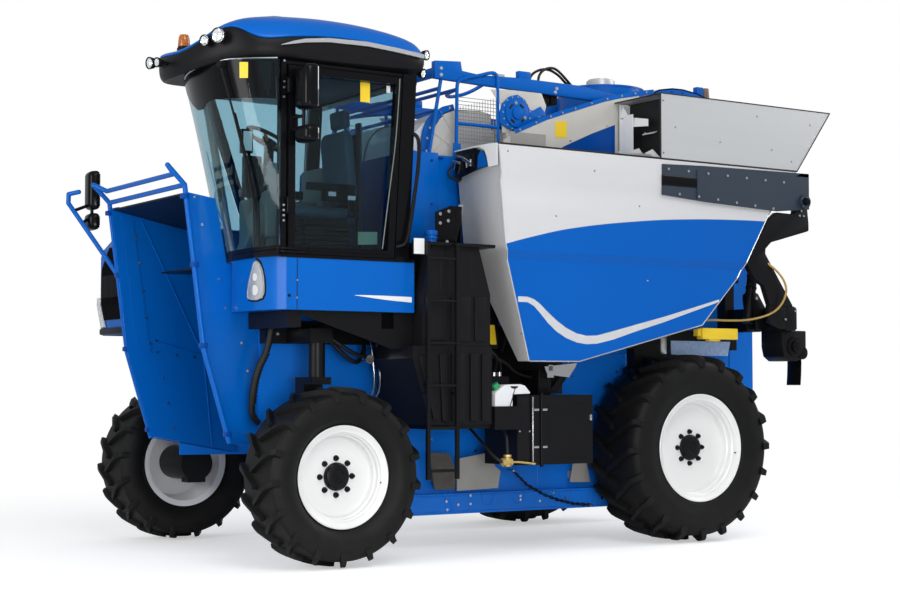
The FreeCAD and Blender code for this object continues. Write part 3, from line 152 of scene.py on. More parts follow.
# %% Helpers that finish a piece
def added_to_scene(name, data):
    """A new object in the scene that shows this data."""
    made = bpy.data.objects.new(name, data)
    bpy.context.scene.collection.objects.link(made)
    return made


def mounted(name, data, material, body, slot):
    """A piece in the scene, on its body; its paint slot is looked up but not kept anywhere."""
    data.materials.append(material)
    piece = added_to_scene(name, data)
    slot = slot or USUAL_SLOT[material]
    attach(piece, body)
    return piece


def ready(name, bm, material, body="chassis", slot=None, flat=30):
    """Turn a bmesh into a piece that rides on a body; `flat` is the angle where shading turns sharp."""
    bmesh.ops.recalc_face_normals(bm, faces=bm.faces)
    mesh = bpy.data.meshes.new(name)
    bm.to_mesh(mesh)
    bm.free()
    mesh.shade_smooth()
    mesh.set_sharp_from_angle(angle=math.radians(flat))
    return mounted(name, mesh, material, body, slot)


def pipe(name, runs, radius, material, body="chassis", slot=None):
    """One or more smooth round pipes or hoses through their control points."""
    curve = bpy.data.curves.new(name, "CURVE")
    curve.dimensions = "3D"
    curve.bevel_depth = radius
    curve.bevel_resolution = 3
    curve.resolution_u = 6
    curve.use_fill_caps = True
    for points in runs:
        spline = curve.splines.new("NURBS")
        spline.points.add(len(points) - 1)
        for spot, point in zip(spline.points, points):
            spot.co = (*point, 1)
        spline.order_u = 3
        spline.use_endpoint_u = True
    return mounted(name, curve, material, body, slot)


# %% Helpers for the two sides
def at(point, side):
    """One point."""
    return Vector((point[0], point[1] * SIDES[side], point[2]))


def all_at(points, side):
    """Several points."""
    return [at(point, side) for point in points]


def beside(level, rows, side):
    """Points at one distance from the middle, from rows of (along, height)."""
    return [at((x, level, z), side) for x, z in rows]


def athwart(along, rows, side):
    """Points at one place along the machine, from rows of (distance from the middle, height)."""
    return [at((along, y, z), side) for y, z in rows]


def side_bolts(bm, level, rows, side, *sizes):
    """Bolt heads on an outer side, at rows of (along, height)."""
    bolt_heads(bm, beside(level, rows, side), (0, SIDES[side], 0), *sizes)


def crosswise(bm, along, rows, thick, side):
    """A sheet across the machine with this outline of (distance from the middle, height)."""
    return plate(bm, athwart(along, rows, side), (thick, 0, 0))


def blocks(bm, *corners, side="left"):
    """Blocks from pairs of opposite corners."""
    for low, high in corners:
        block(bm, at(low, side), at(high, side))


def rods(bm, *bars, side="left"):
    """Round bars, each from its start, its end and what else `rod` takes."""
    for start, end, *sizes in bars:
        rod(bm, at(start, side), at(end, side), *sizes)


def oblong(along, height, far_along, far_height):
    """The outline of an upright rectangle between two opposite corners."""
    return [(along, height), (far_along, height), (far_along, far_height), (along, far_height)]


def upright(bm, level, outline, thick, side="left"):
    """An upright sheet with this outline of (along, height) at a distance from the middle."""
    return plate(bm, beside(level, outline, side), (0, thick * SIDES[side], 0))


def bars(bm, spots, radius, sides):
    """Round bars from point to point."""
    for start, end in zip(spots, spots[1:]):
        rod(bm, start, end, radius, sides)


def lines(bm, level, runs, radius, side="left"):
    """Thin bars along broken lines of (along, height)."""
    for run in runs:
        bars(bm, beside(level, run, side), radius, 6)


def panel(name, level, outline, thick, *looks, side="left", **how):
    """A piece of its own that is one upright sheet."""
    bm = bmesh.new()
    upright(bm, level, outline, thick, side)
    return ready(name, bm, *looks, **how)


# %% [markdown]
# ## Camera, floor and light
# The camera stands at the machine's front left, a little above knee height,
# with a long lens, so that the tall body keeps its upright lines. The floor
# fades into a white distance, so no horizon shows, and a Light Path test adds a
# glow that only the camera and the windows see. The lamps can then stay at a
# plain level that keeps the paint's colour, and the machine keeps its shadow.


# %% Camera
camera = added_to_scene("camera", bpy.data.cameras.new("camera"))
camera.data.lens = 66.87
camera.data.sensor_width = 36
camera.data.clip_end = 200
camera.location = (7.4326, 11.4303, 1.2474)
camera.rotation_euler = (math.radians(92.725), 0, math.radians(146.878))
bpy.context.scene.camera = camera
bpy.context.scene.view_settings.view_transform = "Standard"


# %% Helpers for materials and their nodes
def new_material(name):
    """A material with its node tree and its main shader."""
    material = bpy.data.materials.new(name)
    material.use_nodes = True
    return material, material.node_tree, material.node_tree.nodes["Principled BSDF"]


def fill(node, values):
    """Set a node's inputs by their names."""
    for socket, value in values.items():
        node.inputs[socket].default_value = value


def add_node(tree, kind, **settings):
    """A node whose settings and input values are given by name."""
    node = tree.nodes.new(kind)
    for name, value in settings.items():
        if hasattr(node, name):
            setattr(node, name, value)
        else:
            node.inputs[name].default_value = value
    return node


def wire(tree, links):
    """Join nodes: each link names a node and its output, then a node and its input."""
    for source, output, target, socket in links:
        tree.links.new(source.outputs[output], target.inputs[socket])


# %% Rays that come from the camera or through glass
def seen_directly(tree):
    """1 for what the camera sees, straight or through glass; 0 for light that shades things."""
    path = add_node(tree, "ShaderNodeLightPath")
    total = add_node(tree, "ShaderNodeMath", operation="ADD", use_clamp=True)
    wire(tree, [(path, "Is Camera Ray", total, 0), (path, "Is Transmission Ray", total, 1)])
    return total


# %% White surroundings
world = bpy.data.worlds.new("soft studio")
bpy.context.scene.world = world
world.use_nodes = True
tree = world.node_tree
sky = tree.nodes["Background"]
fill(sky, {"Color": (0.93, 0.96, 1.0, 1), "Strength": 0.5})
white = add_node(tree, "ShaderNodeBackground", Color=(1, 1, 1, 1))
choice = add_node(tree, "ShaderNodeMixShader")
wire(tree, [(seen_directly(tree), 0, choice, 0), (sky, 0, choice, 1), (white, 0, choice, 2),
    (choice, 0, tree.nodes["World Output"], "Surface")])

# %% Floor
floor_paint, tree, shader = new_material("studio floor")
fill(shader, {"Base Color": (0.8, 0.8, 0.8, 1), "Roughness": 0.7, "Emission Color": (1, 1, 1, 1)})
seen = seen_directly(tree)
dimmed = add_node(tree, "ShaderNodeMath", operation="MULTIPLY")
dimmed.inputs[1].default_value = 0.45
spots = add_node(tree, "ShaderNodeTexCoord")
far = add_node(tree, "ShaderNodeVectorMath", operation="LENGTH")
fade = add_node(tree, "ShaderNodeMapRange")
fill(fade, {"From Min": 3.6, "From Max": 7.5})
both = add_node(tree, "ShaderNodeMath", operation="MULTIPLY")
glow = add_node(tree, "ShaderNodeEmission")
choice = add_node(tree, "ShaderNodeMixShader")
wire(tree, [(seen, 0, dimmed, 0), (dimmed, 0, shader, "Emission Strength"), (spots, "Object", far, 0),
    (far, "Value", fade, "Value"), (seen, 0, both, 0), (fade, "Result", both, 1), (both, 0, choice, 0),
    (shader, 0, choice, 1), (glow, 0, choice, 2), (choice, 0, tree.nodes["Material Output"], "Surface")])

bm = bmesh.new()
bmesh.ops.create_grid(bm, x_segments=2, y_segments=2, size=30)
floor = added_to_scene("floor", bpy.data.meshes.new("floor"))
bm.to_mesh(floor.data)
bm.free()
floor.data.materials.append(floor_paint)
floor.location.z = -0.001


# %% Lamps
def area_lamp(name, place, aim, size, power):
    """A soft square lamp that looks at a point."""
    lamp = added_to_scene(name, bpy.data.lights.new(name, "AREA"))
    lamp.data.size = size
    lamp.data.energy = power
    lamp.location = place
    lamp.rotation_euler = (Vector(aim) - Vector(place)).to_track_quat("-Z", "Y").to_euler()


area_lamp("key", (3.0, 9.0, 8.5), (0, 0, 1.6), 5.0, 390)
area_lamp("front", (11.0, 3.0, 3.4), (1.5, 0, 1.6), 4.0, 340)
area_lamp("low", (4.6, 10.5, 0.9), (-0.3, 0.8, 0.2), 3.0, 330)
area_lamp("back", (-8.0, 3.0, 7.0), (-1, 0, 2), 5.0, 260)
print("stage ready: camera, floor and", len(bpy.data.lights), "lamps")

# %% [markdown]
# ## Shared effects for the materials
# Real sheet metal and plastic are never one flat value. Three node groups give
# that variation, and each material places them with its own numbers:
# *Cloudy tone* drifts the colour and the roughness over a few decimetres,
# *Fine grain* makes the small bumps of paint, rubber or cast plastic, and
# *Road dust* settles a pale film near the ground.


# %% Node groups
def new_group(name, inputs, outputs):
    """An empty shader node group with named sockets; returns the group and its two ends."""
    group = bpy.data.node_groups.new(name, "ShaderNodeTree")
    for socket, kind, value in inputs:
        made = group.interface.new_socket(name=socket, in_out="INPUT", socket_type=kind)
        made.default_value = value
    for socket, kind in outputs:
        group.interface.new_socket(name=socket, in_out="OUTPUT", socket_type=kind)
    return group, group.nodes.new("NodeGroupInput"), group.nodes.new("NodeGroupOutput")


COLOUR, NUMBER, VECTOR = "NodeSocketColor", "NodeSocketFloat", "NodeSocketVector"


def cloudy_tone():
    """Slow drift between two tones, and a roughness that drifts with it."""
    group, start, end = new_group("Cloudy tone", [("Tone", COLOUR, (0.5, 0.5, 0.5, 1)), ("Other tone", COLOUR,
        (0.4, 0.4, 0.4, 1)), ("Size", NUMBER, 3), ("Roughness", NUMBER, 0.4), ("Roughness drift", NUMBER, 0.1),
        ("Stretch", VECTOR, (1, 1, 1))], [("Colour", COLOUR), ("Roughness", NUMBER)])
    spots = add_node(group, "ShaderNodeTexCoord")
    squeeze = add_node(group, "ShaderNodeVectorMath", operation="MULTIPLY")
    noise = add_node(group, "ShaderNodeTexNoise", Detail=5.0)
    mix = add_node(group, "ShaderNodeMix", data_type="RGBA")
    shift = add_node(group, "ShaderNodeMath", operation="SUBTRACT")
    shift.inputs[1].default_value = 0.5
    rough = add_node(group, "ShaderNodeMath", operation="MULTIPLY_ADD")
    wire(group, [(spots, "Object", squeeze, 0), (start, "Stretch", squeeze, 1), (squeeze, 0, noise, "Vector"),
        (start, "Size", noise, "Scale"), (noise, "Fac", mix, "Factor"), (start, "Tone", mix, "A"),
        (start, "Other tone", mix, "B"), (noise, "Fac", shift, 0), (shift, 0, rough, 0),
        (start, "Roughness drift", rough, 1), (start, "Roughness", rough, 2), (mix, "Result", end, "Colour"),
        (rough, 0, end, "Roughness")])
    return group


def fine_grain():
    """Small bumps, as in orange peel, moulded plastic or rubber."""
    group, start, end = new_group("Fine grain", [("Size", NUMBER, 200), ("Depth", NUMBER, 0.1),
        ("Stretch", VECTOR, (1, 1, 1))], [("Normal", VECTOR)])
    spots = add_node(group, "ShaderNodeTexCoord")
    squeeze = add_node(group, "ShaderNodeVectorMath", operation="MULTIPLY")
    noise = add_node(group, "ShaderNodeTexNoise", Detail=3.0)
    bump = add_node(group, "ShaderNodeBump", Distance=0.001)
    wire(group, [(spots, "Object", squeeze, 0), (start, "Stretch", squeeze, 1), (squeeze, 0, noise, "Vector"),
        (start, "Size", noise, "Scale"), (start, "Depth", bump, "Strength"), (noise, "Fac", bump, "Height"),
        (bump, "Normal", end, "Normal")])
    return group


def road_dust():
    """A pale film that fades out with height above the ground."""
    group, start, end = new_group("Road dust", [("Colour", COLOUR, (0.5, 0.5, 0.5, 1)), ("Dust", COLOUR,
        (0.42, 0.39, 0.34, 1)), ("Height", NUMBER, 0.7), ("Amount", NUMBER, 0.15)], [("Colour", COLOUR)])
    spots = add_node(group, "ShaderNodeTexCoord")
    parts = add_node(group, "ShaderNodeSeparateXYZ")
    fade = add_node(group, "ShaderNodeMapRange", clamp=True)
    fill(fade, {"From Min": 0, "To Min": 1, "To Max": 0})
    noise = add_node(group, "ShaderNodeTexNoise", Scale=9.0, Detail=6.0)
    both = add_node(group, "ShaderNodeMath", operation="MULTIPLY")
    dose = add_node(group, "ShaderNodeMath", operation="MULTIPLY")
    mix = add_node(group, "ShaderNodeMix", data_type="RGBA")
    wire(group, [(spots, "Object", parts, 0), (spots, "Object", noise, "Vector"), (parts, "Z", fade, "Value"),
        (start, "Height", fade, "From Max"), (fade, "Result", both, 0), (noise, "Fac", both, 1),
        (both, 0, dose, 0), (start, "Amount", dose, 1), (dose, 0, mix, "Factor"), (start, "Colour", mix, "A"),
        (start, "Dust", mix, "B"), (mix, "Result", end, "Colour")])
    return group


TONE, GRAIN, DUST = cloudy_tone(), fine_grain(), road_dust()
print("shared groups:", [group.name for group in (TONE, GRAIN, DUST)])


# %% [markdown]
# ## The finishes
# One function builds every ordinary finish from the three groups, so that a
# finish is a row of numbers: two near tones, roughness and its drift, the size
# and depth of the grain, metallic, a clear coat and the dust it gathers. A
# value that is the same all over sits on the shader's own socket.


# %% Finish maker
def finish(name, tone, other, rough, drift=0.08, size=3.0, grain=250.0, depth=0.05, metal=0.0, coat=0.0,
        dust=0.0, stretch=(1, 1, 1), shine=0.5):
    """A finish that drifts between two tones, with grain, and with road dust if it gathers any."""
    material, tree, shader = new_material(name)
    fill(shader, {"Metallic": metal, "Coat Weight": coat, "Coat Roughness": 0.06, "Specular IOR Level": shine})
    clouds = add_node(tree, "ShaderNodeGroup", node_tree=TONE)
    fill(clouds, {"Tone": (*tone, 1), "Other tone": (*other, 1), "Size": size, "Roughness": rough,
        "Roughness drift": drift, "Stretch": stretch})
    bumps = add_node(tree, "ShaderNodeGroup", node_tree=GRAIN)
    fill(bumps, {"Size": grain, "Depth": depth, "Stretch": stretch})
    top = clouds
    if dust:
        top = add_node(tree, "ShaderNodeGroup", node_tree=DUST)
        fill(top, {"Amount": dust})
        wire(tree, [(clouds, "Colour", top, "Colour")])
    wire(tree, [(top, "Colour", shader, "Base Color"), (clouds, "Roughness", shader, "Roughness"),
        (bumps, "Normal", shader, "Normal")])
    return material


def glazing(name, tint, other, rough=0.0, drift=0.02):
    """Clear or tinted glass: light passes through it, and a thin haze of dust varies its tint and gloss."""
    material, tree, shader = new_material(name)
    fill(shader, {"Transmission Weight": 1.0, "IOR": 1.25})
    clouds = add_node(tree, "ShaderNodeGroup", node_tree=TONE)
    fill(clouds, {"Tone": (*tint, 1), "Other tone": (*other, 1), "Size": 2.0, "Roughness": rough,
        "Roughness drift": drift})
    wire(tree, [(clouds, "Colour", shader, "Base Color"), (clouds, "Roughness", shader, "Roughness")])
    return material


# %% All finishes
royal_blue = finish("royal blue paint", (0.0, 0.118, 0.5), (0.0, 0.1, 0.45), 0.3, 0.06, 1.3, 420, 0.02,
    coat=0.12, dust=0.06, shine=0.12)
wall_blue = finish("wall blue paint", (0.004, 0.175, 0.72), (0.004, 0.15, 0.64), 0.34, 0.06, 1.3, 420, 0.03,
    dust=0.08, shine=0.14)
deep_blue = finish("deep blue paint", (0.0, 0.06, 0.32), (0.0, 0.05, 0.27), 0.35, 0.08, 2.0, 300, 0.03,
    coat=0.1, shine=0.12)
navy = finish("navy plate paint", (0.012, 0.024, 0.043), (0.016, 0.03, 0.05), 0.5, 0.08, 2.5, 500, 0.06)
black_paint = finish("black chassis paint", (0.004, 0.004, 0.005), (0.007, 0.007, 0.008), 0.36, 0.12, 3.0, 350,
    0.05, dust=0.03, shine=0.16)
black_plastic = finish("black moulded plastic", (0.005, 0.005, 0.006), (0.008, 0.008, 0.009), 0.42, 0.1, 4.0,
    600, 0.1, dust=0.03, shine=0.16)
gloss_black = finish("gloss black trim", (0.003, 0.003, 0.004), (0.005, 0.005, 0.006), 0.16, 0.04, 2.0, 300,
    0.01, shine=0.14)
rubber = finish("hose rubber", (0.007, 0.007, 0.007), (0.012, 0.012, 0.012), 0.5, 0.1, 9.0, 500, 0.15,
    shine=0.3)
tyre_rubber = finish("tyre rubber", (0.004, 0.004, 0.004), (0.009, 0.009, 0.009), 0.52, 0.16, 7.0, 260, 0.22,
    dust=0.03, shine=0.16)
white_paint = finish("white wheel paint", (0.86, 0.86, 0.85), (0.8, 0.8, 0.79), 0.3, 0.08, 3.0, 350, 0.03,
    coat=0.3)
white_plastic = finish("white food plastic", (0.78, 0.79, 0.8), (0.66, 0.67, 0.69), 0.38, 0.1, 2.5, 120, 0.1)
bin_grey = finish("pale grey bin skin", (0.6, 0.6, 0.61), (0.52, 0.52, 0.53), 0.36, 0.08, 0.9, 260, 0.03,
    metal=0.25, stretch=(1, 1, 6))
bare_steel = finish("bare stainless sheet", (0.42, 0.42, 0.43), (0.24, 0.24, 0.25), 0.3, 0.16, 3.5, 90, 0.06,
    metal=1.0, stretch=(1, 1, 2.5))
alu_sheet = finish("brushed aluminium sheet", (0.66, 0.67, 0.68), (0.6, 0.61, 0.62), 0.36, 0.1, 1.2, 160, 0.05,
    metal=0.55, stretch=(1, 1, 9))
galvanised = finish("galvanised sheet", (0.42, 0.41, 0.385), (0.31, 0.3, 0.28), 0.5, 0.12, 5.0, 220, 0.1,
    metal=0.25, shine=0.4)
weathered = finish("weathered sheet", (0.125, 0.115, 0.1), (0.05, 0.046, 0.04), 0.6, 0.12, 14.0, 300, 0.15,
    shine=0.3)
bare_front = finish("bare hopper sheet", (0.72, 0.71, 0.69), (0.36, 0.36, 0.36), 0.45, 0.12, 3.0, 260, 0.05,
    stretch=(1, 1, 0.25), metal=0.1, shine=0.5)
duct_white = finish("duct white", (0.6, 0.585, 0.55), (0.47, 0.455, 0.42), 0.4, 0.1, 3.0, 240, 0.04, shine=0.4)
weathered_lens = finish("weathered lamp", (0.23, 0.14, 0.1), (0.14, 0.095, 0.075), 0.4, 0.1, 20.0, 300, 0.05,
    shine=0.4)
speckled = finish("speckled blue sheet", (0.1, 0.24, 0.52), (0.5, 0.6, 0.78), 0.45, 0.1, 46.0, 300, 0.05,
    shine=0.4)
brass = finish("brass fitting", (0.62, 0.46, 0.17), (0.5, 0.36, 0.12), 0.35, 0.1, 9.0, 400, 0.05, metal=0.5)

bright_steel = finish("bright bolt steel", (0.62, 0.62, 0.63), (0.5, 0.5, 0.51), 0.25, 0.1, 30, 300, 0.05,
    metal=1.0)
silver_trim = finish("silver trim", (0.72, 0.73, 0.74), (0.6, 0.61, 0.62), 0.22, 0.06, 2.0, 300, 0.02,
    metal=0.7, coat=0.3)
grey_trim = finish("grey cab plastic", (0.17, 0.2, 0.18), (0.13, 0.155, 0.14), 0.55, 0.1, 4.0, 700, 0.15)
seat_cloth = finish("seat cloth", (0.055, 0.095, 0.13), (0.035, 0.062, 0.09), 0.85, 0.08, 6.0, 900, 0.45)
warning_yellow = finish("plain yellow label", (0.85, 0.6, 0.02), (0.8, 0.55, 0.02), 0.4, 0.05, 4.0, 200, 0.02)
hose_amber = finish("amber hose", (0.42, 0.28, 0.07), (0.34, 0.22, 0.05), 0.35, 0.08, 9.0, 300, 0.05)
green_cap = finish("green cap", (0.02, 0.35, 0.12), (0.02, 0.3, 0.1), 0.4, 0.05, 9.0, 300, 0.05)
paper_white = finish("blank white label", (0.8, 0.8, 0.8), (0.76, 0.76, 0.76), 0.5, 0.05, 4.0, 200, 0.02)
cab_glass = glazing("cab glass", (0.44, 0.61, 0.66), (0.46, 0.66, 0.75))
door_tint = glazing("tinted door glass", (0.4, 0.55, 0.62), (0.36, 0.52, 0.6))
lamp_lens = glazing("lamp lens", (0.92, 0.94, 0.95), (0.86, 0.89, 0.9), 0.06, 0.05)
amber_lens = finish("amber beacon lens", (0.55, 0.16, 0.01), (0.45, 0.11, 0.01), 0.18, 0.05, 20, 200, 0.05,
    coat=0.4)
bright_bowl = finish("lamp bowl", (0.62, 0.64, 0.66), (0.5, 0.52, 0.54), 0.2, 0.06, 9.0, 200, 0.04, metal=0.6)
mirror_face = finish("mirror face", (0.85, 0.86, 0.87), (0.83, 0.84, 0.85), 0.03, 0.0, 2.0, 100, 0.0, metal=1.0)
orange = finish("orange plastic", (0.75, 0.2, 0.02), (0.68, 0.17, 0.02), 0.4, 0.05, 9.0, 300, 0.05)
print(len(bpy.data.materials), "materials")

# %% The paint slot each finish usually belongs to
SLOTS = {  # paint slot, and the finishes that usually fill it
    "blue_paint": [royal_blue, wall_blue, deep_blue, speckled],
    "blue_grey_paint": [navy],
    "black_metal": [black_paint],
    "black_plastic": [black_plastic, gloss_black, rubber, green_cap, hose_amber],
    "grey_metal": [bright_steel, bare_steel, galvanised, weathered, brass, alu_sheet],
    "white_plastic": [duct_white, white_paint, white_plastic, paper_white, warning_yellow],
    "grey_plastic": [grey_trim, orange],
    "chrome_rod": [mirror_face, silver_trim],
    "glass": [lamp_lens, amber_lens],
    "seat_fabric": [seat_cloth],
    "tyre_rubber": [tyre_rubber],
    "lamp_housing": [weathered_lens],
}
USUAL_SLOT = {material: slot for slot, materials in SLOTS.items() for material in materials}
print(len(USUAL_SLOT), "finishes with a usual slot")


# %% [markdown]
# ## Finishes on the CAD pieces
# A CAD piece whose shape is already right keeps its mesh and only gets a better
# material. A table from material to node names keeps that in one place.

# %% Dress the CAD nodes
DRESS = {  # finish, and the CAD nodes that wear it
    wall_blue: "side_walls rear_towers",
    royal_blue: "entry_flares upper_deck cab_base cab_roof front_shield front_guard "
                "handrail_cage fan_housings engine_hood upper_beams",
    deep_blue: "air_ducts",
    black_paint: "chassis_frame front_columns rear_legs rear_frames tunnel_roof ladder tool_box tool_door "
                 "left_front_knuckle right_front_knuckle left_lift_barrel right_lift_barrel engine_block",
    gloss_black: "cab_frame cab_door roof_fascia",
    black_plastic: "side_tanks left_mirror right_mirror roof_lamps",
    navy: "left_hopper_fittings right_hopper_fittings",
    bin_grey: "left_hopper right_hopper",
    alu_sheet: "left_hopper_hood right_hopper_hood left_fan_rotor right_fan_rotor",
    bright_steel: "left_lift_rod right_lift_rod",
    white_paint: "left_front_rim right_front_rim left_rear_rim right_rear_rim",
    tyre_rubber: "left_front_tyre right_front_tyre left_rear_tyre right_rear_tyre",
    white_plastic: "basket_rings canister",
    grey_trim: "picking_heads cab_controls",
    seat_cloth: "operator_seat",
    cab_glass: "cab_glass",
    door_tint: "door_glass",
}
for material, names in DRESS.items():
    for name in names.split():
        mesh = nodes[name].data
        mesh.materials.clear()
        mesh.materials.append(material)
print(sum(len(names.split()) for names in DRESS.values()), "CAD nodes dressed")


# %% [markdown]
# ## Wheels
# Farm tyres pull with tall angled bars, called lugs. The casing is a profile
# spun about the axle. One lug grows out of a single face, extruded from the
# middle of the tread to the shoulder and a little down the side wall, and a
# spin with copies repeats it round the casing. The rims are spun as well, with
# their steps in the profile, and get eight nuts and a hub cap.

# %% Wheel sizes, taken from the CAD tyres and rims
WHEELS = {  # lugs and their width, rim lip radius, how far out the disc is, cap radius, depth of the tread
    "front": {"lugs": 17, "lug": 0.040, "lip": 0.352, "disc": 0.062, "cap": 0.097, "deep": 0.036},
    "rear": {"lugs": 20, "lug": 0.046, "lip": 0.425, "disc": 0.120, "cap": 0.102, "deep": 0.042},
}
for word, wheel in WHEELS.items():
    low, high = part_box(f"left_{word}_tyre")
    wheel["radius"] = (high[2] - low[2]) / 2
    wheel["half"] = (high[1] - low[1]) / 2
    rim_low, rim_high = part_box(f"left_{word}_rim")
    wheel["rim"] = (rim_high[1] - rim_low[1]) / 2
    wheel["centre"] = ((low[0] + high[0]) / 2, (low[1] + high[1]) / 2, (low[2] + high[2]) / 2)
    print(word, "tyre radius", round(wheel["radius"], 3), "half width", round(wheel["half"], 3))


# %% Helpers that turn a profile about an axle
def spun(bm, profile, steps=72, closed=True):
    """Spin points given as (across, radius) about the Y axis into a closed skin."""
    spots = [bm.verts.new((radius, across, 0)) for across, radius in profile]
    edges = [bm.edges.new(pair) for pair in zip(spots, spots[1:] + (spots[:1] if closed else []))]
    whirl(bm, spots + edges, steps)
    bmesh.ops.remove_doubles(bm, verts=bm.verts, dist=1e-5)


def both_halves(points):
    """A profile drawn for one half of a tyre, completed with its mirror image."""
    return points + [(-across, radius) for across, radius in reversed(points)]


def on_side(bm, centre, side):
    """Move a wheel made at the origin to its place; the right one is its mirror image."""
    if SIDES[side] < 0:
        bmesh.ops.scale(bm, vec=(1, -1, 1), verts=bm.verts)
    bmesh.ops.translate(bm, vec=at(centre, side), verts=bm.verts)


# %% Tyre casing and lugs
def casing(bm, wheel):
    """The tyre without its lugs."""
    half, radius, lip = wheel["half"], wheel["radius"] - wheel["deep"], wheel["lip"]
    bead = wheel["rim"] - 0.017
    spun(bm, both_halves([(0, lip - 0.004), (bead - 0.03, lip - 0.004), (bead - 0.03, lip - 0.033),
        (bead, lip - 0.033), (bead, lip + 0.006), (bead + 0.006, lip + 0.014), (bead + 0.012, lip + 0.012),
        (bead + 0.022, lip + 0.02), (half - 0.022, lip + 0.055), (half - 0.008, lip + 0.095),
        (half - 0.004, lip + 0.13), (half - 0.012, radius - 0.055), (half * 0.9, radius - 0.026),
        (half * 0.82, radius - 0.012), (half * 0.5, radius - 0.003), (0.001, radius)]), steps=96)


def lug(bm, wheel, lean):
    """One bar of the tread; `lean` is 1 or -1 for the tyre's two halves."""
    half, radius, width = wheel["half"], wheel["radius"], wheel["lug"]
    base = radius - wheel["deep"] - 0.008
    stations = [  # share of the half width, angle from the start, top and base radius, share of the width
        (-0.07, 0.0, radius, base, 0.9), (0.25, 0.075, radius, base, 0.95),
        (0.5, 0.145, radius - 0.002, base, 1.0), (0.72, 0.195, radius - 0.006, base - 0.006, 1.08),
        (0.88, 0.222, radius - 0.016, base - 0.02, 1.2),
        (0.975, 0.234, radius - 0.036, base - 0.05, 1.2), (0.995, 0.240, radius - 0.085, radius - 0.105, 1.0)]
    section = None
    for share, turn, top, bottom, wide in stations:
        across = lean * share * half
        spots = []
        for level, reach in ((bottom, -1.25), (bottom, 1.25), (top, 0.82), (top, -0.82)):
            angle = turn + reach * wide * width * 0.5 / radius
            spots.append(Vector((level * math.cos(angle), across, level * math.sin(angle))))
        if section is None:
            section = bm.faces.new([bm.verts.new(spot) for spot in spots])
            made = list(section.verts)
            continue
        grown = bmesh.ops.extrude_face_region(bm, geom=[section])["geom"]
        old, section = section, faces_in(grown)[0]
        if len(made) > 4 and old.is_valid:
            bm.faces.remove(old)
        for vert, spot in zip(section.verts, spots):
            vert.co = spot
        made += list(section.verts)
    return made


def tread(bm, wheel):
    """Both halves' lugs, half a pitch apart, copied round the tyre."""
    pitch = math.tau / wheel["lugs"]
    for lean in (1, -1):
        before = set(bm.verts)
        lug(bm, wheel, lean)
        fresh = added(bm, before)
        bmesh.ops.rotate(bm, verts=fresh, cent=(0, 0, 0), matrix=Matrix.Rotation(-pitch / 4 * lean, 3, "Y"))
        edges, faces = touching(fresh)
        whirl(bm, fresh + edges + faces, wheel["lugs"] - 1, angle=pitch - math.tau, copies=True)


for word, wheel in WHEELS.items():
    for side in SIDES:
        bm = bmesh.new()
        casing(bm, wheel)
        tread(bm, wheel)
        on_side(bm, wheel["centre"], side)
        tyre = ready(f"{side}_{word}_lugged_tyre", bm, tyre_rubber, f"{side}_{word}_wheel", flat=28)
        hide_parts(f"{side}_{word}_tyre")
        print(tyre.name, len(tyre.data.polygons), "faces")


# %% Rims, nuts and hub caps
def rim_profile(wheel):
    """Closed profile of a dished rim with a rolled lip and two steps down to its disc."""
    half, lip, disc = wheel["rim"], wheel["lip"], wheel["disc"]
    seat, deep = lip - 0.034, half - disc
    outside = [(half - 0.012, lip - 0.001), (half - 0.004, lip + 0.002), (half, lip - 0.003),
        (half - 0.002, lip - 0.012), (half - 0.012, lip - 0.02), (half - 0.02, seat - 0.012),
        (half - 0.3 * deep, seat - 0.014), (half - 0.36 * deep, seat - 0.024),
        (half - 0.62 * deep, seat - 0.026), (half - 0.68 * deep, seat - 0.038), (disc + 0.016, seat - 0.042),
        (disc + 0.004, seat - 0.05), (disc, seat - 0.062), (disc - 0.004, seat - 0.12), (disc + 0.001, 0.16),
        (disc, 0.0625)]
    inside = [(disc - 0.014, 0.0625), (disc - 0.014, seat - 0.05), (0.02 - half, seat - 0.012),
        (0.002 - half, lip - 0.012), (-half, lip), (0.01 - half, lip), (0.018 - half, seat),
        (half - 0.018, seat)]
    return outside + inside


def nut_ring(bm, wheel, radius=0.126, nuts=8):
    """Wheel nuts with washers and stud ends, repeated round the axle."""
    face = wheel["disc"]
    before = set(bm.verts)
    rods(bm, ((radius, face - 0.002, 0), (radius, face + 0.004, 0), 0.021, 16), ((radius, face + 0.003, 0),
        (radius, face + 0.022, 0), 0.0165, 6), ((radius, face + 0.02, 0), (radius, face + 0.034, 0), 0.009, 10,
        0.007))
    fresh = added(bm, before)
    edges, faces = touching(fresh)
    whirl(bm, fresh + edges + faces, nuts - 1, angle=math.tau * (nuts - 1) / nuts, copies=True)


for word, wheel in WHEELS.items():
    for side in SIDES:
        bm = bmesh.new()
        spun(bm, rim_profile(wheel), steps=96)
        on_side(bm, wheel["centre"], side)
        rim = ready(f"{side}_{word}_dished_rim", bm, white_paint, f"{side}_{word}_wheel", slot="white_rim",
            flat=40)
        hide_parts(f"{side}_{word}_rim")
        bm = bmesh.new()
        face, cap = wheel["disc"], wheel["cap"]
        spun(bm, [(face + 0.028, 0), (face + 0.028, 0.066), (face + 0.002, 0.066), (face + 0.002, cap),
            (face + 0.016, cap), (face + 0.02, cap - 0.006), (face + 0.036, cap - 0.012),
            (face + 0.042, cap - 0.024), (face + 0.043, 0.045), (face + 0.037, 0.04), (face + 0.036, 0.014),
            (face + 0.041, 0.01), (face + 0.041, 0)], steps=40, closed=False)
        nut_ring(bm, wheel)
        stem = (wheel["lip"] - 0.035, wheel["rim"] - 0.03)
        rod(bm, (-stem[0], stem[1] - 0.02, -0.05), (-stem[0] + 0.022, stem[1] + 0.024, -0.045), 0.006, 10)
        on_side(bm, wheel["centre"], side)
        ready(f"{side}_{word}_hub_cap_and_nuts", bm, black_paint, f"{side}_{word}_wheel", flat=35)
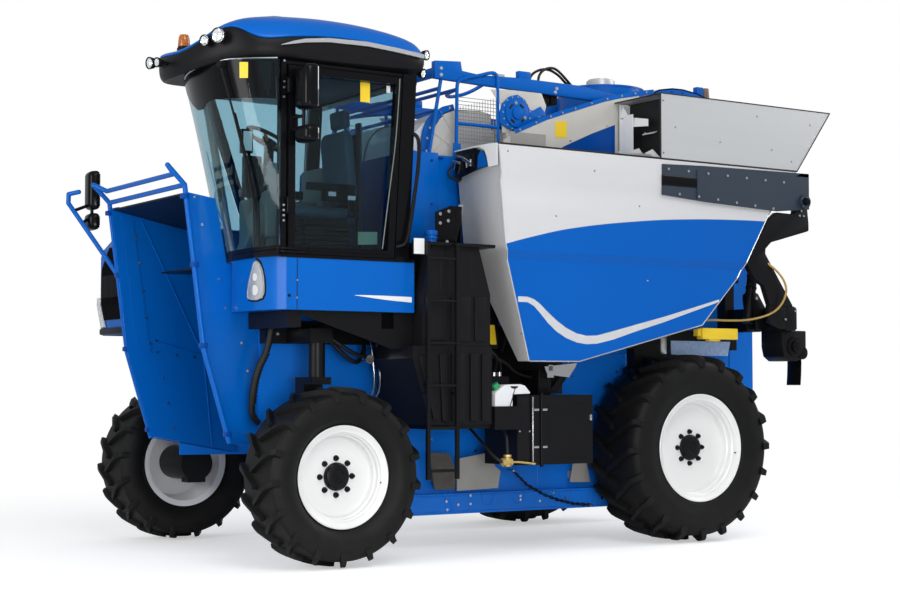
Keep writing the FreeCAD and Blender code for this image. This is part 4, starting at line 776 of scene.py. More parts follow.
print("wheels done:", len(WHEELS) * len(SIDES))

# %% [markdown]
# ## Hoppers
# Each hopper is a bin of folded sheet. Its outer side is pressed inwards twice,
# which stiffens the sheet and shows as two shaded bands. The bin is grown ring
# by ring from its floor, each ring being the bin's outline at one height, and
# Solidify then gives the sheet its thickness. The paint changes from pale grey
# to blue along a curve, which belongs to the material: a mask on height and
# length mixes the two paints.

# %% A two-tone paint that changes along a curve
def curved_mask():
    """Mask that is 1 below a curve of height over length."""
    group, start, end = new_group("Below a curve", [("Softness", NUMBER, 0.002)], [("Mask", NUMBER)])
    spots = add_node(group, "ShaderNodeTexCoord")
    parts = add_node(group, "ShaderNodeSeparateXYZ")
    share = add_node(group, "ShaderNodeMapRange", clamp=True)
    fill(share, {"From Min": -2.2, "From Max": 0.5})
    line = add_node(group, "ShaderNodeFloatCurve")
    points = line.mapping.curves[0].points
    heights = [(-2.2, 2.575), (-1.82, 2.569), (-1.29, 2.546), (-0.79, 2.504), (-0.12, 2.412), (0.16, 2.351),
        (0.5, 2.262)]
    for number, (along, height) in enumerate(heights):
        spot = ((along + 2.2) / 2.7, height - 2)
        if number in (0, len(heights) - 1):
            points[-1 if number else 0].location = spot
        else:
            points.new(*spot)
    line.mapping.update()
    over = add_node(group, "ShaderNodeMath", operation="SUBTRACT")
    base = add_node(group, "ShaderNodeMath", operation="ADD")
    base.inputs[1].default_value = 2
    scale = add_node(group, "ShaderNodeMath", operation="DIVIDE", use_clamp=True)
    wire(group, [(spots, "Object", parts, 0), (parts, "X", share, "Value"), (share, "Result", line, "Value"),
        (line, "Value", base, 0), (base, 0, over, 0), (parts, "Z", over, 1), (over, 0, scale, 0),
        (start, "Softness", scale, 1), (scale, 0, end, "Mask")])
    return group


def two_tone():
    """Pale grey sheet above the curve and blue paint below it."""
    material = finish("hopper side paint", (0.66, 0.66, 0.67), (0.57, 0.57, 0.58), 0.34, 0.08, 0.8, 260, 0.03,
        stretch=(1, 1, 5), shine=0.14)
    tree = material.node_tree
    shader = tree.nodes["Principled BSDF"]
    grey = shader.inputs["Base Color"].links[0].from_socket
    blue = add_node(tree, "ShaderNodeGroup", node_tree=TONE)
    fill(blue, {"Tone": (0.0, 0.108, 0.48, 1), "Other tone": (0.0, 0.094, 0.43, 1), "Size": 1.1})
    mask = add_node(tree, "ShaderNodeGroup", node_tree=curved_mask())
    mix = add_node(tree, "ShaderNodeMix", data_type="RGBA")
    tree.links.new(grey, mix.inputs["A"])
    wire(tree, [(mask, "Mask", mix, "Factor"), (blue, "Colour", mix, "B"),
        (mix, "Result", shader, "Base Color")])
    return material


side_paint = two_tone()
print(side_paint.name, "mixes", len(side_paint.node_tree.nodes), "nodes")

# %% The bin's outline at each height
OUT, MIDDLE, DEEP, IN = 1.5, 1.482, 1.456, 0.93
RINGS = [  # height, front end, rear end, outer side, inner side
    (1.42, 0.228, -0.234, DEEP, 1.31), (1.717, 0.306, -1.456, DEEP, 1.181), (2.1, 0.407, -1.832, DEEP, 1.016),
    (2.168, 0.425, -1.874, DEEP, 0.986), (2.228, 0.441, -1.911, MIDDLE, 0.96),
    (2.298, 0.459, -1.954, MIDDLE, IN), (2.626, 0.491, -2.156, MIDDLE, IN), (2.74, 0.502, -2.25, MIDDLE, IN),
    (2.795, 0.508, -2.295, OUT, IN), (2.985, 0.526, -2.452, OUT, IN), (3.0, 0.528, -2.464, OUT, IN)]
SHEET = 0.005


def bin_skin(bm):
    """Grow the bin upwards from its floor, one ring after another."""
    height, front, rear, outer, inner = RINGS[0]
    floor_face = bm.faces.new([bm.verts.new(spot) for spot in ((front, outer, height), (rear, outer, height),
        (rear, inner, height), (front, inner, height))])
    rim = list(floor_face.edges)
    corners = list(floor_face.verts)
    for height, front, rear, outer, inner in RINGS[1:]:
        grown = bmesh.ops.extrude_edge_only(bm, edges=rim)["geom"]
        rim = edges_in(grown)
        fresh = verts_in(grown)
        places = ((front, outer, height), (rear, outer, height), (rear, inner, height), (front, inner, height))
        matched = [min(fresh, key=lambda vert: (vert.co - corner.co).length) for corner in corners]
        for vert, place in zip(matched, places):
            vert.co = place
        corners = matched


for side in SIDES:
    bm = bmesh.new()
    bin_skin(bm)
    bmesh.ops.recalc_face_normals(bm, faces=bm.faces)
    for face in bm.faces:
        if face.normal.y > 0.5 and face.calc_center_median().y > 1.4:
            face.material_index = 0
        elif face.normal.x > 0.5:
            face.material_index = 1
        else:
            face.material_index = 2
    if SIDES[side] < 0:
        bmesh.ops.scale(bm, vec=(1, -1, 1), verts=bm.verts)
    piece = ready(f"{side}_pressed_hopper", bm, side_paint, f"{side}_bin", slot="white_plastic", flat=20)
    piece.data.materials.append(bare_front)
    piece.data.materials.append(bin_grey)
    wall = piece.modifiers.new("sheet thickness", "SOLIDIFY")
    wall.thickness = SHEET
    wall.offset = -1
    wall.material_offset = 2
    fold = piece.modifiers.new("folded corners", "BEVEL")
    fold.width = 0.004
    fold.segments = 2
    fold.limit_method = "ANGLE"
    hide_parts(f"{side}_hopper")
print("hopper rings:", len(RINGS))

# %% [markdown]
# ## Trim on the hoppers
# A dark rubber edging runs along the top, silver bars along the bottom and the
# rear folds are a painted highlight for the light the folded edges catch, and a
# silver stripe swoops over the blue. The edging and the highlight bars are thin
# bars between the outline's corners, and the stripe grows out of one edge,
# extruded from station to station.

# %% Edging, painted highlights on the folded edges, and rivets
for side in SIDES:
    bm = bmesh.new()
    top = [(0.534, 1.5, 3.004), (-2.462, 1.5, 3.004)]
    bars(bm, all_at(top, side), 0.007, 4)
    bars(bm, all_at(((0.531, 1.5, 3.004), (0.531, 0.93, 3.004)), side), 0.007, 4)
    bars(bm, all_at(((0.525, 0.93, 3.004), (-2.462, 0.93, 3.004)), side), 0.007, 4)
    ready(f"{side}_hopper_edging", bm, rubber, f"{side}_bin")
    # Silver bars along the folds are a painted highlight: the light that the folded edges catch.
    bm = bmesh.new()
    foot = [(ring[2], ring[3] + 0.001, ring[0]) for ring in RINGS[:9]]
    bars(bm, all_at([(0.228, DEEP + 0.001, 1.42)] + foot, side), 0.0045, 4)
    front = [(ring[1] + 0.002, ring[3], ring[0]) for ring in RINGS]
    bars(bm, all_at(front, side), 0.0045, 4)
    ready(f"{side}_hopper_fold_highlights", bm, silver_trim, f"{side}_bin")
    bm = bmesh.new()
    rivets = [(0.0, MIDDLE, 2.5), (-0.8, MIDDLE, 2.62), (-0.35, OUT, 2.86), (-1.2, OUT, 2.96), (-1.9, OUT,
        2.965), (0.45, OUT, 2.95), (-0.9, DEEP, 2.05), (0.3, DEEP, 1.62)]
    bolt_heads(bm, all_at(rivets, side), (0, SIDES[side], 0), 0.008, 0.003, 10)
    ready(f"{side}_hopper_rivets", bm, bright_steel, f"{side}_bin")

# %% The swooping stripe
STRIPE = [  # along, lower edge, upper edge
    (0.33, 1.853, 1.894), (0.245, 1.853, 1.893), (0.185, 1.825, 1.876), (0.13, 1.775, 1.842),
    (0.06, 1.705, 1.784), (-0.02, 1.642, 1.724), (-0.11, 1.594, 1.67), (-0.21, 1.562, 1.63),
    (-0.3, 1.551, 1.614), (-0.4, 1.556, 1.618), (-0.56, 1.59, 1.654), (-0.8, 1.661, 1.712),
    (-1.063, 1.733, 1.774), (-1.35, 1.82, 1.849), (-1.634, 1.905, 1.925)]
silver_stripe = finish("silver stripe", (0.8, 0.81, 0.82), (0.66, 0.67, 0.69), 0.25, 0.06, 7.0, 300, 0.02,
    metal=0.35, coat=0.4)


def stripe(bm, stations, level, thick, side):
    """A raised ribbon that grows from its first edge through every station."""
    along, low, high = stations[0]
    spots = [bm.verts.new(at((along, level, height), side)) for height in (low, high)]
    edge = bm.edges.new(spots)
    for along, low, high in stations[1:]:
        grown = bmesh.ops.extrude_edge_only(bm, edges=[edge])["geom"]
        edge = edges_in(grown)[0]
        ends = sorted(verts_in(grown), key=lambda vert: vert.co.z)
        for vert, height in zip(ends, (low, high)):
            vert.co = at((along, level, height), side)
    raised = bmesh.ops.extrude_face_region(bm, geom=list(bm.faces))["geom"]
    moved = verts_in(raised)
    bmesh.ops.translate(bm, verts=moved, vec=(0, thick * SIDES[side], 0))


for side in SIDES:
    bm = bmesh.new()
    stripe(bm, STRIPE, DEEP - 0.001, 0.003, side)
    ready(f"{side}_silver_stripe", bm, silver_stripe, f"{side}_bin", slot="white_plastic", flat=50)
print("stripe stations:", len(STRIPE))

# %% [markdown]
# ## Hopper covers and pivot plates
# The cover over the hopper's rear half keeps its CAD sheet. Rubber edging, a
# few rivets, white deflector sheets in its mouth and folded lips make it read as
# bent aluminium. The dark plate that carries the pivot gets a pressed channel
# at its front end and two rows of bolts.

# %% Cover details
HOOD = [(-1.005, 3.0), (-1.005, 3.516), (-2.85, 3.516), (-2.464, 3.0)]
for side in SIDES:
    bm = bmesh.new()
    outline = beside(1.502, HOOD + HOOD[:1], side)
    bars(bm, [spot + Vector((0, 0, 0.002)) for spot in outline], 0.0045, 4)
    bars(bm, athwart(-1.003, ((0.935, 3.514), (1.498, 3.514), (1.498, 3.004)), side), 0.006, 4)
    ready(f"{side}_cover_edging", bm, rubber, f"{side}_bin")
    bm = bmesh.new()
    spots = [(-1.15, 3.26), (-1.62, 3.18), (-2.02, 3.42), (-2.18, 3.16), (-2.62, 3.4), (-2.4, 3.08),
        (-1.03, 3.46), (-1.03, 3.05)]
    side_bolts(bm, 1.5, spots, side, 0.009, 0.004, 10)
    ready(f"{side}_cover_rivets", bm, bright_steel, f"{side}_bin")
    bm = bmesh.new()
    for corners, push in (([(-1.02, 1.02, 3.01), (-1.02, 1.14, 3.01), (-1.02, 1.14, 3.4), (-1.02, 1.02, 3.4)],
            (-0.006, 0, 0)), ([(-1.03, 0.96, 3.02), (-1.03, 0.96, 3.5), (-1.34, 0.975, 3.5),
            (-1.34, 0.975, 3.02)], (0, 0.006, 0)), ([(-1.1, 1.16, 3.24), (-1.1, 1.3, 3.24), (-1.34, 1.34, 3.34),
            (-1.34, 1.16, 3.4)], (0, 0, -0.006)), ([(-1.04, 1.16, 3.06), (-1.04, 1.3, 3.03), (-1.3, 1.36, 3.03),
            (-1.3, 1.16, 3.12)], (0, 0, -0.006))):
        plate(bm, all_at(corners, side), at(push, side))
    ready(f"{side}_cover_deflectors", bm, white_plastic, f"{side}_bin")
    bm = bmesh.new()
    for corners, push in (([(-0.62, 1.47, 3.0), (-0.98, 1.47, 3.0), (-0.98, 1.4, 3.045), (-0.66, 1.4, 3.045)],
            (0, -0.004, -0.004)), ([(-0.5, 1.2, 2.99), (-0.8, 1.2, 2.99), (-0.8, 1.05, 3.05),
            (-0.56, 1.05, 3.05)], (0, 0, -0.004))):
        plate(bm, all_at(corners, side), at(push, side))
    ready(f"{side}_folded_lips", bm, alu_sheet, f"{side}_bin")

# %% Pivot plate details
for side in SIDES:
    sign = SIDES[side]
    bm = bmesh.new()
    top_row = [(-1.07 - 0.205 * n, 2.925 - 0.004 * n) for n in range(7)]
    low_row = [(-1.18, 2.735)] + [(-1.38 - 0.2 * n, 2.727 - 0.012 * n) for n in range(5)]
    side_bolts(bm, 1.51, top_row + low_row, side, 0.013, 0.007, 8)
    side_bolts(bm, 1.53, [(-2.53 + 0.042 * math.cos(a), 2.754 + 0.042 * math.sin(a)) for a in
        (0.5, 2.1, 3.7, 5.3)], side, 0.006, 0.004, 6)
    ready(f"{side}_pivot_plate_bolts", bm, bright_steel, f"{side}_bin")
    bm = bmesh.new()
    channel = rod(bm, at((-1.008, 1.506, 2.835), side), at((-1.36, 1.506, 2.835), side), 0.044, 24)
    bmesh.ops.scale(bm, vec=(1, 0.3, 1), verts=channel, space=Matrix.Translation(-at((0, 1.506, 0), side)))
    ready(f"{side}_pivot_plate_channel", bm, gloss_black, f"{side}_bin", slot="black_metal", flat=50)
    bm = bmesh.new()
    bar = at((-1.37, 1.51, 2.7), side)
    block(bm, bar, bar + Vector((0.008, 0.006 * sign, 0.24)))
    hook = [(-2.59, 2.99), (-2.5, 2.985), (-2.44, 2.96), (-2.59, 2.96)]
    plate(bm, beside(1.502, hook, side), (0, 0.008 * sign, 0))
    ready(f"{side}_pivot_plate_fold", bm, navy, f"{side}_bin")
print("hopper trim done")

# %% [markdown]
# ## Sheets that lie on a curved surface
# Trim, dark glass borders, labels and lamps lie on panels that curve. A sheet
# is cut to a flat outline in front of the panel, sliced into small tiles so
# that it can bend, and each of its points is then moved along one direction
# until it meets the panel. Extruding it afterwards gives it its thickness.

# %% Lay a flat outline on a CAD piece
surfaces = {}


def surface(name):
    """A CAD piece's mesh, ready for ray casting."""
    if name not in surfaces:
        mesh = nodes[name].data
        surfaces[name] = BVHTree.FromPolygons([vert.co for vert in mesh.vertices], [face.vertices[:] for face in
            mesh.polygons])
    return surfaces[name]


def laid(bm, outline, along, name, thick=0.003, step=0.07):
    """A sheet with this outline, laid along a direction on the named CAD piece."""
    along = Vector(along).normalized()
    across = along.cross(Vector((0, 0, 1))).normalized()
    sheet = bmesh.new()
    sheet.faces.new([sheet.verts.new(corner) for corner in outline])
    for way in (across, across.cross(along)):
        reach = [vert.co.dot(way) for vert in sheet.verts]
        for cut in range(1, int((max(reach) - min(reach)) / step) + 1):
            everything = list(sheet.verts) + list(sheet.edges) + list(sheet.faces)
            bmesh.ops.bisect_plane(sheet, geom=everything, plane_co=way * (min(reach) + cut * step),
                plane_no=way)
    for vert in sheet.verts:
        hit = surface(name).ray_cast(vert.co - along, along)[0] or surface(name).find_nearest(vert.co)[0]
        vert.co = hit - along * thick
    made = bmesh.ops.extrude_face_region(sheet, geom=list(sheet.faces))["geom"]
    back = verts_in(made)
    bmesh.ops.translate(sheet, verts=back, vec=along * (thick + 0.001))
    mesh = bpy.data.meshes.new("sheet")
    sheet.to_mesh(mesh)
    sheet.free()
    bm.from_mesh(mesh)
    bpy.data.meshes.remove(mesh)


def ribbon(bm, stations, push):
    """A strip through pairs of points, one pair after another, pushed to its thickness."""
    pairs = [(bm.verts.new(low), bm.verts.new(high)) for low, high in stations]
    faces = [bm.faces.new([one[0], one[1], other[1], other[0]]) for one, other in zip(pairs, pairs[1:])]
    made = bmesh.ops.extrude_face_region(bm, geom=faces)["geom"]
    bmesh.ops.translate(bm, verts=verts_in(made), vec=push)


def subdivided(piece, level=2):
    """Smooth a cage of few points into a rounded skin."""
    smooth = piece.modifiers.new("rounded skin", "SUBSURF")
    smooth.levels = smooth.render_levels = level
    return piece


# %% [markdown]
# ## Cab roof
# The roof is a blue moulded cap over a black fascia. The line between them
# dips and rises, with a hump over each pair of work lamps. Both parts grow
# from one outline seen from above: a ring of points, lifted and drawn inwards
# again and again, and rounded with a subdivision surface.

# %% Fascia and cap
ROOF = [  # along, across, height of the line between black and blue, how far the cap rises there, lower edge
    (0.985, 1.25, 3.612, 0.78, 3.505), (1.06, 1.335, 3.618, 0.9, 3.5), (1.4, 1.368, 3.648, 1.0, 3.488),
    (1.85, 1.372, 3.662, 1.0, 3.48), (2.2, 1.366, 3.622, 1.12, 3.482), (2.39, 1.31, 3.585, 1.3, 3.482),
    (2.5, 1.215, 3.7, 0.55, 3.472), (2.6, 1.09, 3.672, 0.38, 3.45), (2.66, 0.98, 3.602, 0.4, 3.43),
    (2.74, 0.79, 3.537, 0.4, 3.395), (2.755, 0.6, 3.548, 0.38, 3.39), (2.735, 0.43, 3.568, 0.38, 3.395),
    (2.64, 0.23, 3.6, 0.4, 3.425), (2.53, 0.05, 3.635, 0.45, 3.45), (2.38, -0.07, 3.6, 0.8, 3.47),
    (2.0, -0.115, 3.63, 1.0, 3.48), (1.4, -0.115, 3.64, 1.0, 3.48), (1.06, -0.09, 3.612, 0.9, 3.49),
    (0.975, -0.01, 3.612, 0.78, 3.49), (0.968, 0.625, 3.612, 0.8, 3.49)]
CENTRE = Vector((1.85, 0.62, 0))


def roof_ring(bm, inward, base, plus, share):
    """One ring of the cage, drawn inwards: its height is a base and what is added, with a share of the rise."""
    ring = []
    for along, across, line, rise, foot in ROOF:
        spot = Vector((along, across, 0))
        spot += (CENTRE - spot).normalized() * inward
        height = {"line": line, "foot": foot, "ground": 0}[base] + plus + share * rise
        ring.append(bm.verts.new((spot.x, spot.y, height)))
    return ring


def skin(bm, rings):
    """Faces between one ring of points and the next, with both ends closed."""
    edges = []
    for ring in rings:
        edges.append([bm.edges.new(pair) for pair in zip(ring, ring[1:] + ring[:1])])
    for one, other in zip(edges, edges[1:]):
        bmesh.ops.bridge_loops(bm, edges=one + other)
    bm.faces.new(rings[0])
    bm.faces.new(rings[-1])


FASCIA_RINGS = [  # distance inwards, base of the height, height added, share of the rise added
    (0.3, "ground", 3.462, 0), (0.075, "ground", 3.462, 0), (0.05, "foot", 0, 0), (0.03, "foot", 0, 0),
    (0.002, "foot", 0.045, 0), (0.004, "line", -0.012, 0), (0.01, "line", -0.002, 0),
    (0.045, "line", -0.004, 0), (0.3, "line", -0.03, 0)]
CAP_RINGS = [(0.3, "line", -0.02, 0), (0.02, "line", -0.006, 0), (0.008, "line", 0.002, 0),
    (0.012, "line", 0.016, 0), (0.055, "line", 0, 0.098), (0.15, "line", 0, 0.148), (0.36, "line", 0, 0.185),
    (0.62, "ground", 3.7, 0.165)]
for name, rings, material, old in (("roof_fascia_skin", FASCIA_RINGS, black_plastic, "roof_fascia"),
        ("roof_cap_skin", CAP_RINGS, royal_blue, "cab_roof")):
    bm = bmesh.new()
    skin(bm, [roof_ring(bm, *ring) for ring in rings])
    piece = subdivided(ready(name, bm, material, flat=50))
    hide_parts(old)
print("roof cage points:", len(ROOF))

# %% Silver strip and the bright line over the windscreen
bm = bmesh.new()
TRIM = [(2.238, 3.553, 3.557), (2.15, 3.57, 3.59), (2.055, 3.59, 3.616), (1.872, 3.612, 3.641),
    (1.56, 3.618, 3.649), (1.303, 3.604, 3.635), (1.07, 3.59, 3.618)]
ribbon(bm, [((x, 1.366 - 0.11 * max(0, 1.42 - x), low), (x, 1.366 - 0.11 * max(0, 1.42 - x), high)) for x, low,
    high in TRIM], (0, 0.014, 0))
ready("roof_silver_strip", bm, silver_trim, flat=50)
pipe("windscreen_top_line", [[(2.3, 0.02, 3.452), (2.475, 0.295, 3.452), (2.582, 0.6, 3.448),
    (2.602, 0.9, 3.45), (2.555, 1.125, 3.462), (2.4, 1.245, 3.466), (2.255, 1.35, 3.468)]], 0.005, silver_trim)

# %% Work lamps
LAMPS = [  # centre of the glass, direction it faces, radius
    ((2.612, 1.165, 3.612), (0.8, 0.6, -0.05), 0.052), ((2.668, 1.07, 3.588), (0.85, 0.52, -0.05), 0.038),
    ((2.8, 0.44, 3.52), (0.97, 0.2, -0.1), 0.042), ((2.83, 0.64, 3.49), (0.97, 0.2, -0.1), 0.034),
    ((0.985, 1.235, 3.64), (-0.45, 0.85, -0.1), 0.036), ((1.02, 1.245, 3.5), (-0.45, 0.85, -0.2), 0.036)]
LAMP_PARTS = {  # material, slot, and the profile to spin: (along the lamp, share of its radius)
    "bodies": (black_plastic, "lamp_housing", [
        (-0.052, 0), (-0.05, 0.5), (-0.03, 0.9), (0.0, 1.06), (0.006, 1.05), (0.006, 0.93), (-0.012, 0.9),
        (-0.03, 0.62), (-0.036, 0)]),
    "lenses": (lamp_lens, "glass", [
        (0.01, 0), (0.009, 0.5), (0.002, 0.93), (-0.001, 0.93), (0.005, 0.5), (0.006, 0)]),
    "reflectors": (mirror_face, "chrome_rod", [
        (-0.026, 0), (-0.012, 0.2), (-0.024, 0.3), (-0.02, 0.6), (-0.004, 0.9), (-0.007, 0.9), (-0.024, 0.62),
        (-0.03, 0.3), (-0.031, 0)]),
}
for word, (material, slot, profile) in LAMP_PARTS.items():
    bm = bmesh.new()
    for place, facing, radius in LAMPS:
        facing, place = Vector(facing).normalized(), Vector(place)
        before = set(bm.verts)
        spun(bm, profile, 28, closed=False)
        fresh = added(bm, before)
        bmesh.ops.scale(bm, verts=fresh, vec=(radius, 1, radius))
        bmesh.ops.rotate(bm, verts=fresh, cent=(0, 0, 0), matrix=facing.to_track_quat("Y", "Z").to_matrix())
        bmesh.ops.translate(bm, verts=fresh, vec=place)
        if word == "bodies":
            foot = place - Vector((0.17, 0.05, 0) if place.x > 2 else (-0.06, 0.06, 0))
            rod(bm, place - facing * 0.04, foot, 0.014, 12)
    piece = ready(f"work_lamp_{word}", bm, material, slot=slot, flat=40)
    if word == "bodies":
        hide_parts("roof_lamps")
print("work lamps:", len(LAMPS))

# %% Beacon
bm = bmesh.new()
spun(bm, [(0, 0), (0, 0.052), (0.016, 0.052), (0.022, 0.046), (0.028, 0.046), (0.028, 0)], 28, closed=False)
turn_about(bm, bm.verts, (0, 0, 0), 90, "X")
rod(bm, (0, 0, -0.06), (0, 0, 0.004), 0.02, 16)
bmesh.ops.translate(bm, verts=bm.verts, vec=(2.4, 0.13, 3.705))
ready("beacon_foot", bm, black_plastic, flat=40)
bm = bmesh.new()
spun(bm, [(0.028, 0), (0.028, 0.044), (0.05, 0.045), (0.052, 0.043), (0.074, 0.043), (0.076, 0.041),
    (0.1, 0.039), (0.116, 0.03), (0.12, 0)], 28, closed=False)
turn_about(bm, bm.verts, (0, 0, 0), 90, "X")
bmesh.ops.translate(bm, verts=bm.verts, vec=(2.4, 0.13, 3.705))
ready("beacon_lens", bm, amber_lens, flat=40)

# %% [markdown]
# ## Windscreen, door and mirrors
# The windscreen has a dark border, which hides the glue and shades the driver,
# and sits on a double rubber seal. The door carries rounded mirror housings.
# Each housing starts as a block whose front is drawn in, and a wide bevel
# turns it into a soft moulded shell with a flat glass at its back.

# %% Dark border, labels on the glass and seals
bm = bmesh.new()
edge = [(y / 100, 3.452) for y in range(8, 128, 8)]
foot = [(0.08, 3.42), (0.3, 3.33), (0.52, 3.235), (0.64, 3.18), (0.74, 3.175), (0.81, 3.205), (0.92, 3.215),
    (1.12, 3.2), (1.335, 3.19)]
laid(bm, [(2.9, y, z) for y, z in edge + [(1.335, 3.452)] + foot[::-1]], (-1, 0, 0), "cab_glass", 0.003, 0.06)
ready("windscreen_dark_border", bm, gloss_black)
bm = bmesh.new()
laid(bm, [(2.546, 1.36, 3.404), (2.482, 1.36, 3.41), (2.482, 1.36, 3.301), (2.545, 1.36, 3.294)],
    (-0.43, -0.88, 0.2), "cab_glass", 0.008, 0.05)
ready("windscreen_yellow_label", bm, warning_yellow, flat=50)
panel("door_yellow_label", 1.3045, oblong(1.58, 3.375, 1.502, 3.235), 0.001, warning_yellow, "door", flat=50)
panel("door_white_label", 1.3045, oblong(1.365, 3.37, 1.335, 3.32), 0.001, paper_white, "door", flat=50)

LOW_LINE = [(1.7, -0.114), (1.955, 0.034), (2.194, 0.34), (2.29, 0.693), (2.3, 1.002), (2.276, 1.21),
    (2.238, 1.356), (2.18, 1.36)]
pipe("windscreen_seal", [[(x, y, 2.15) for x, y in LOW_LINE] + [(2.04, 1.357, 2.148)],
    [(x + 0.002, y + 0.002, 2.172) for x, y in LOW_LINE] + [(2.1, 1.359, 2.172)]], 0.011, gloss_black)
bm = bmesh.new()
ribbon(bm, [((x - 0.006, y - 0.006, 2.118), (x - 0.006, y - 0.006, 2.19)) for x, y in LOW_LINE[:-1]],
    (0.009, 0.009, 0))
block(bm, (1.165, 1.35, 2.112), (2.225, 1.355, 2.134))
ready("windscreen_sill", bm, gloss_black, flat=40)
pipe("door_sill_bead", [[(2.02, 1.353, 2.172), (1.7, 1.354, 2.17), (1.36, 1.353, 2.168)]], 0.007, gloss_black,
    "door")
# A thin grey bar along the door's front edge is a painted highlight: it stands for the light caught on the
# pillar's edge.
pipe("door_edge_painted_highlight", [[(1.283, 1.352, 3.42), (1.306, 1.353, 3.024), (1.369, 1.353, 2.611),
    (1.425, 1.352, 2.2)]], 0.004, grey_trim, "door")

# %% Wiper, hinge bolts and handrail
bm = bmesh.new()
wiper = [(2.66, 1.1, 3.425), (2.6, 1.13, 3.1), (2.55, 1.16, 2.76), (2.5, 1.18, 2.42)]
tracks = [surface("cab_glass").ray_cast(Vector((3.2, y, z)), Vector((-1, 0, 0)))[0] for x, y, z in wiper]
for gap, radius, share in ((0.03, 0.008, (0, 1, 2, 3)), (0.012, 0.005, (1, 2, 3))):
    spots = [tracks[n] + Vector((gap, gap * 0.4, 0)) for n in share]
    bars(bm, spots, radius, 8)
for n in (1, 2):
    rod(bm, tracks[n] + Vector((0.03, 0.012, 0)), tracks[n] + Vector((0.01, 0.004, -0.02)), 0.008, 8)
rod(bm, tracks[0] + Vector((-0.01, 0, 0)), tracks[0] + Vector((0.045, 0.018, 0)), 0.022, 20)
ready("windscreen_wiper", bm, black_plastic, flat=40)

bm = bmesh.new()
side_bolts(bm, 1.351, [(2.205, z) for z in (3.452, 3.31, 3.27, 3.205, 2.465, 2.43, 2.395, 2.36)], "left", 0.01,
    0.005, 8)
side_bolts(bm, 1.3505, [(2.098, 1.958), (2.1, 1.839)], "left", 0.008, 0.004, 12)
ready("cab_side_bolts", bm, bright_steel)
pipe("cab_rear_handrail", [[(1.175, 1.335, 3.04), (1.15, 1.378, 3.03), (1.136, 1.382, 2.93),
    (1.15, 1.382, 2.77), (1.183, 1.382, 2.555), (1.219, 1.382, 2.349), (1.237, 1.382, 2.276),
    (1.262, 1.378, 2.228), (1.308, 1.35, 2.222)]], 0.014, black_paint)


# %% Mirror housings
def housing(bm, low, high, inset, turn):
    """A rounded mirror shell: a block with its front face drawn in and every edge rounded."""
    made = block(bm, low, high)
    middle = (Vector(low) + Vector(high)) / 2
    front = [vert for vert in made if vert.co.x > middle.x]
    bmesh.ops.scale(bm, verts=front, vec=(1, 1 - inset, 1 - inset / 3),
        space=Matrix.Translation(-Vector((0, middle.y, middle.z))))
    rounded(bm, touching(made)[0], 0.034, 5)
    made = [vert for vert in bm.verts if all(a - 1e-4 <= b <= c + 1e-4 for a, b, c in zip(low, vert.co, high))]
    turn_about(bm, made, middle, turn, "Z")
    return middle


for side, body, heads, arms in (("left", "door", (((2.052, 1.378, 3.108), (2.152, 1.572, 3.424)),
        ((2.052, 1.372, 2.884), (2.152, 1.576, 3.004))), (((2.14, 1.352, 3.07), (2.1, 1.44, 3.07)),
        ((2.14, 1.352, 2.985), (2.1, 1.44, 2.985)), ((2.1, 1.44, 3.16), (2.1, 1.44, 2.93)))),
        ("right", "chassis", (((2.6, -1.145, 2.612), (2.69, -0.958, 2.925)), ((2.6, -1.145, 2.455),
        (2.69, -0.958, 2.59))), (((2.757, -0.968, 2.5), (2.65, -1.05, 2.56)), ((2.8, -1.02, 2.6),
        (2.65, -1.05, 2.66)), ((2.645, -1.05, 2.48), (2.645, -1.05, 2.7))))):
    turn = 6 * SIDES[side]
    bm = bmesh.new()
    middles = [housing(bm, low, high, 0.2, turn) for low, high in heads]
    for start, end in arms:
        rod(bm, start, end, 0.013, 16)
    if side == "left":
        block(bm, (2.105, 1.344, 2.965), (2.165, 1.366, 3.092))
    shell = ready(f"{side}_mirror_housings", bm, gloss_black, body)
    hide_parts(f"{side}_mirror")
    bm = bmesh.new()
    for (low, high), middle in zip(heads, middles):
        made = block(bm, (low[0] - 0.002, low[1] + 0.022, low[2] + 0.022), (low[0] + 0.006, high[1] - 0.022,
            high[2] - 0.022))
        turn_about(bm, made, middle, turn, "Z")
    soften(bm, 0.003)
    ready(f"{side}_mirror_glasses", bm, mirror_face, body)
print("mirrors done")

# %% [markdown]
# ## Lower cab body
# Under the glass runs the blue body with its headlight, a joint between two
# panels, and a white stripe that tapers to a point. A black gusset closes the
# gap to the frame below.

# %% Headlight, seam, stripe and gusset
TEAR = [(1.103, 2.1), (1.133, 2.088), (1.153, 2.07), (1.175, 2.03), (1.191, 1.975), (1.198, 1.915),
    (1.194, 1.868), (1.175, 1.838), (1.113, 1.826), (1.042, 1.828), (1.0, 1.838), (0.987, 1.86), (0.993, 1.905),
    (1.015, 1.965), (1.046, 2.025), (1.072, 2.078)]
tear_middle = Vector((0, 1.1, 1.94))
for word, grow, thick, material, slot in (("rim", 1.1, 0.004, gloss_black, "black_plastic"),
        ("bowl", 1.0, 0.007, bright_bowl, "grey_plastic"), ("lens", 0.97, 0.016, lamp_lens, "glass")):
    bm = bmesh.new()
    outline = [(2.6, tear_middle.y + (y - tear_middle.y) * grow, tear_middle.z + (z - tear_middle.z) * grow) for
        y, z in TEAR]
    laid(bm, outline, (-1, 0, 0), "cab_base", thick, 0.05)
    ready(f"headlight_{word}", bm, material, slot=slot, flat=40)
bm = bmesh.new()
for height, radius in ((1.895, 0.04), (1.985, 0.03)):
    spot = surface("cab_base").ray_cast(Vector((2.6, 1.095, height)), Vector((-1, 0, 0)))[0]
    rod(bm, spot, spot + Vector((0.012, 0.003, 0)), radius, 24, radius * 0.9)
ready("headlight_reflectors", bm, mirror_face, flat=40)

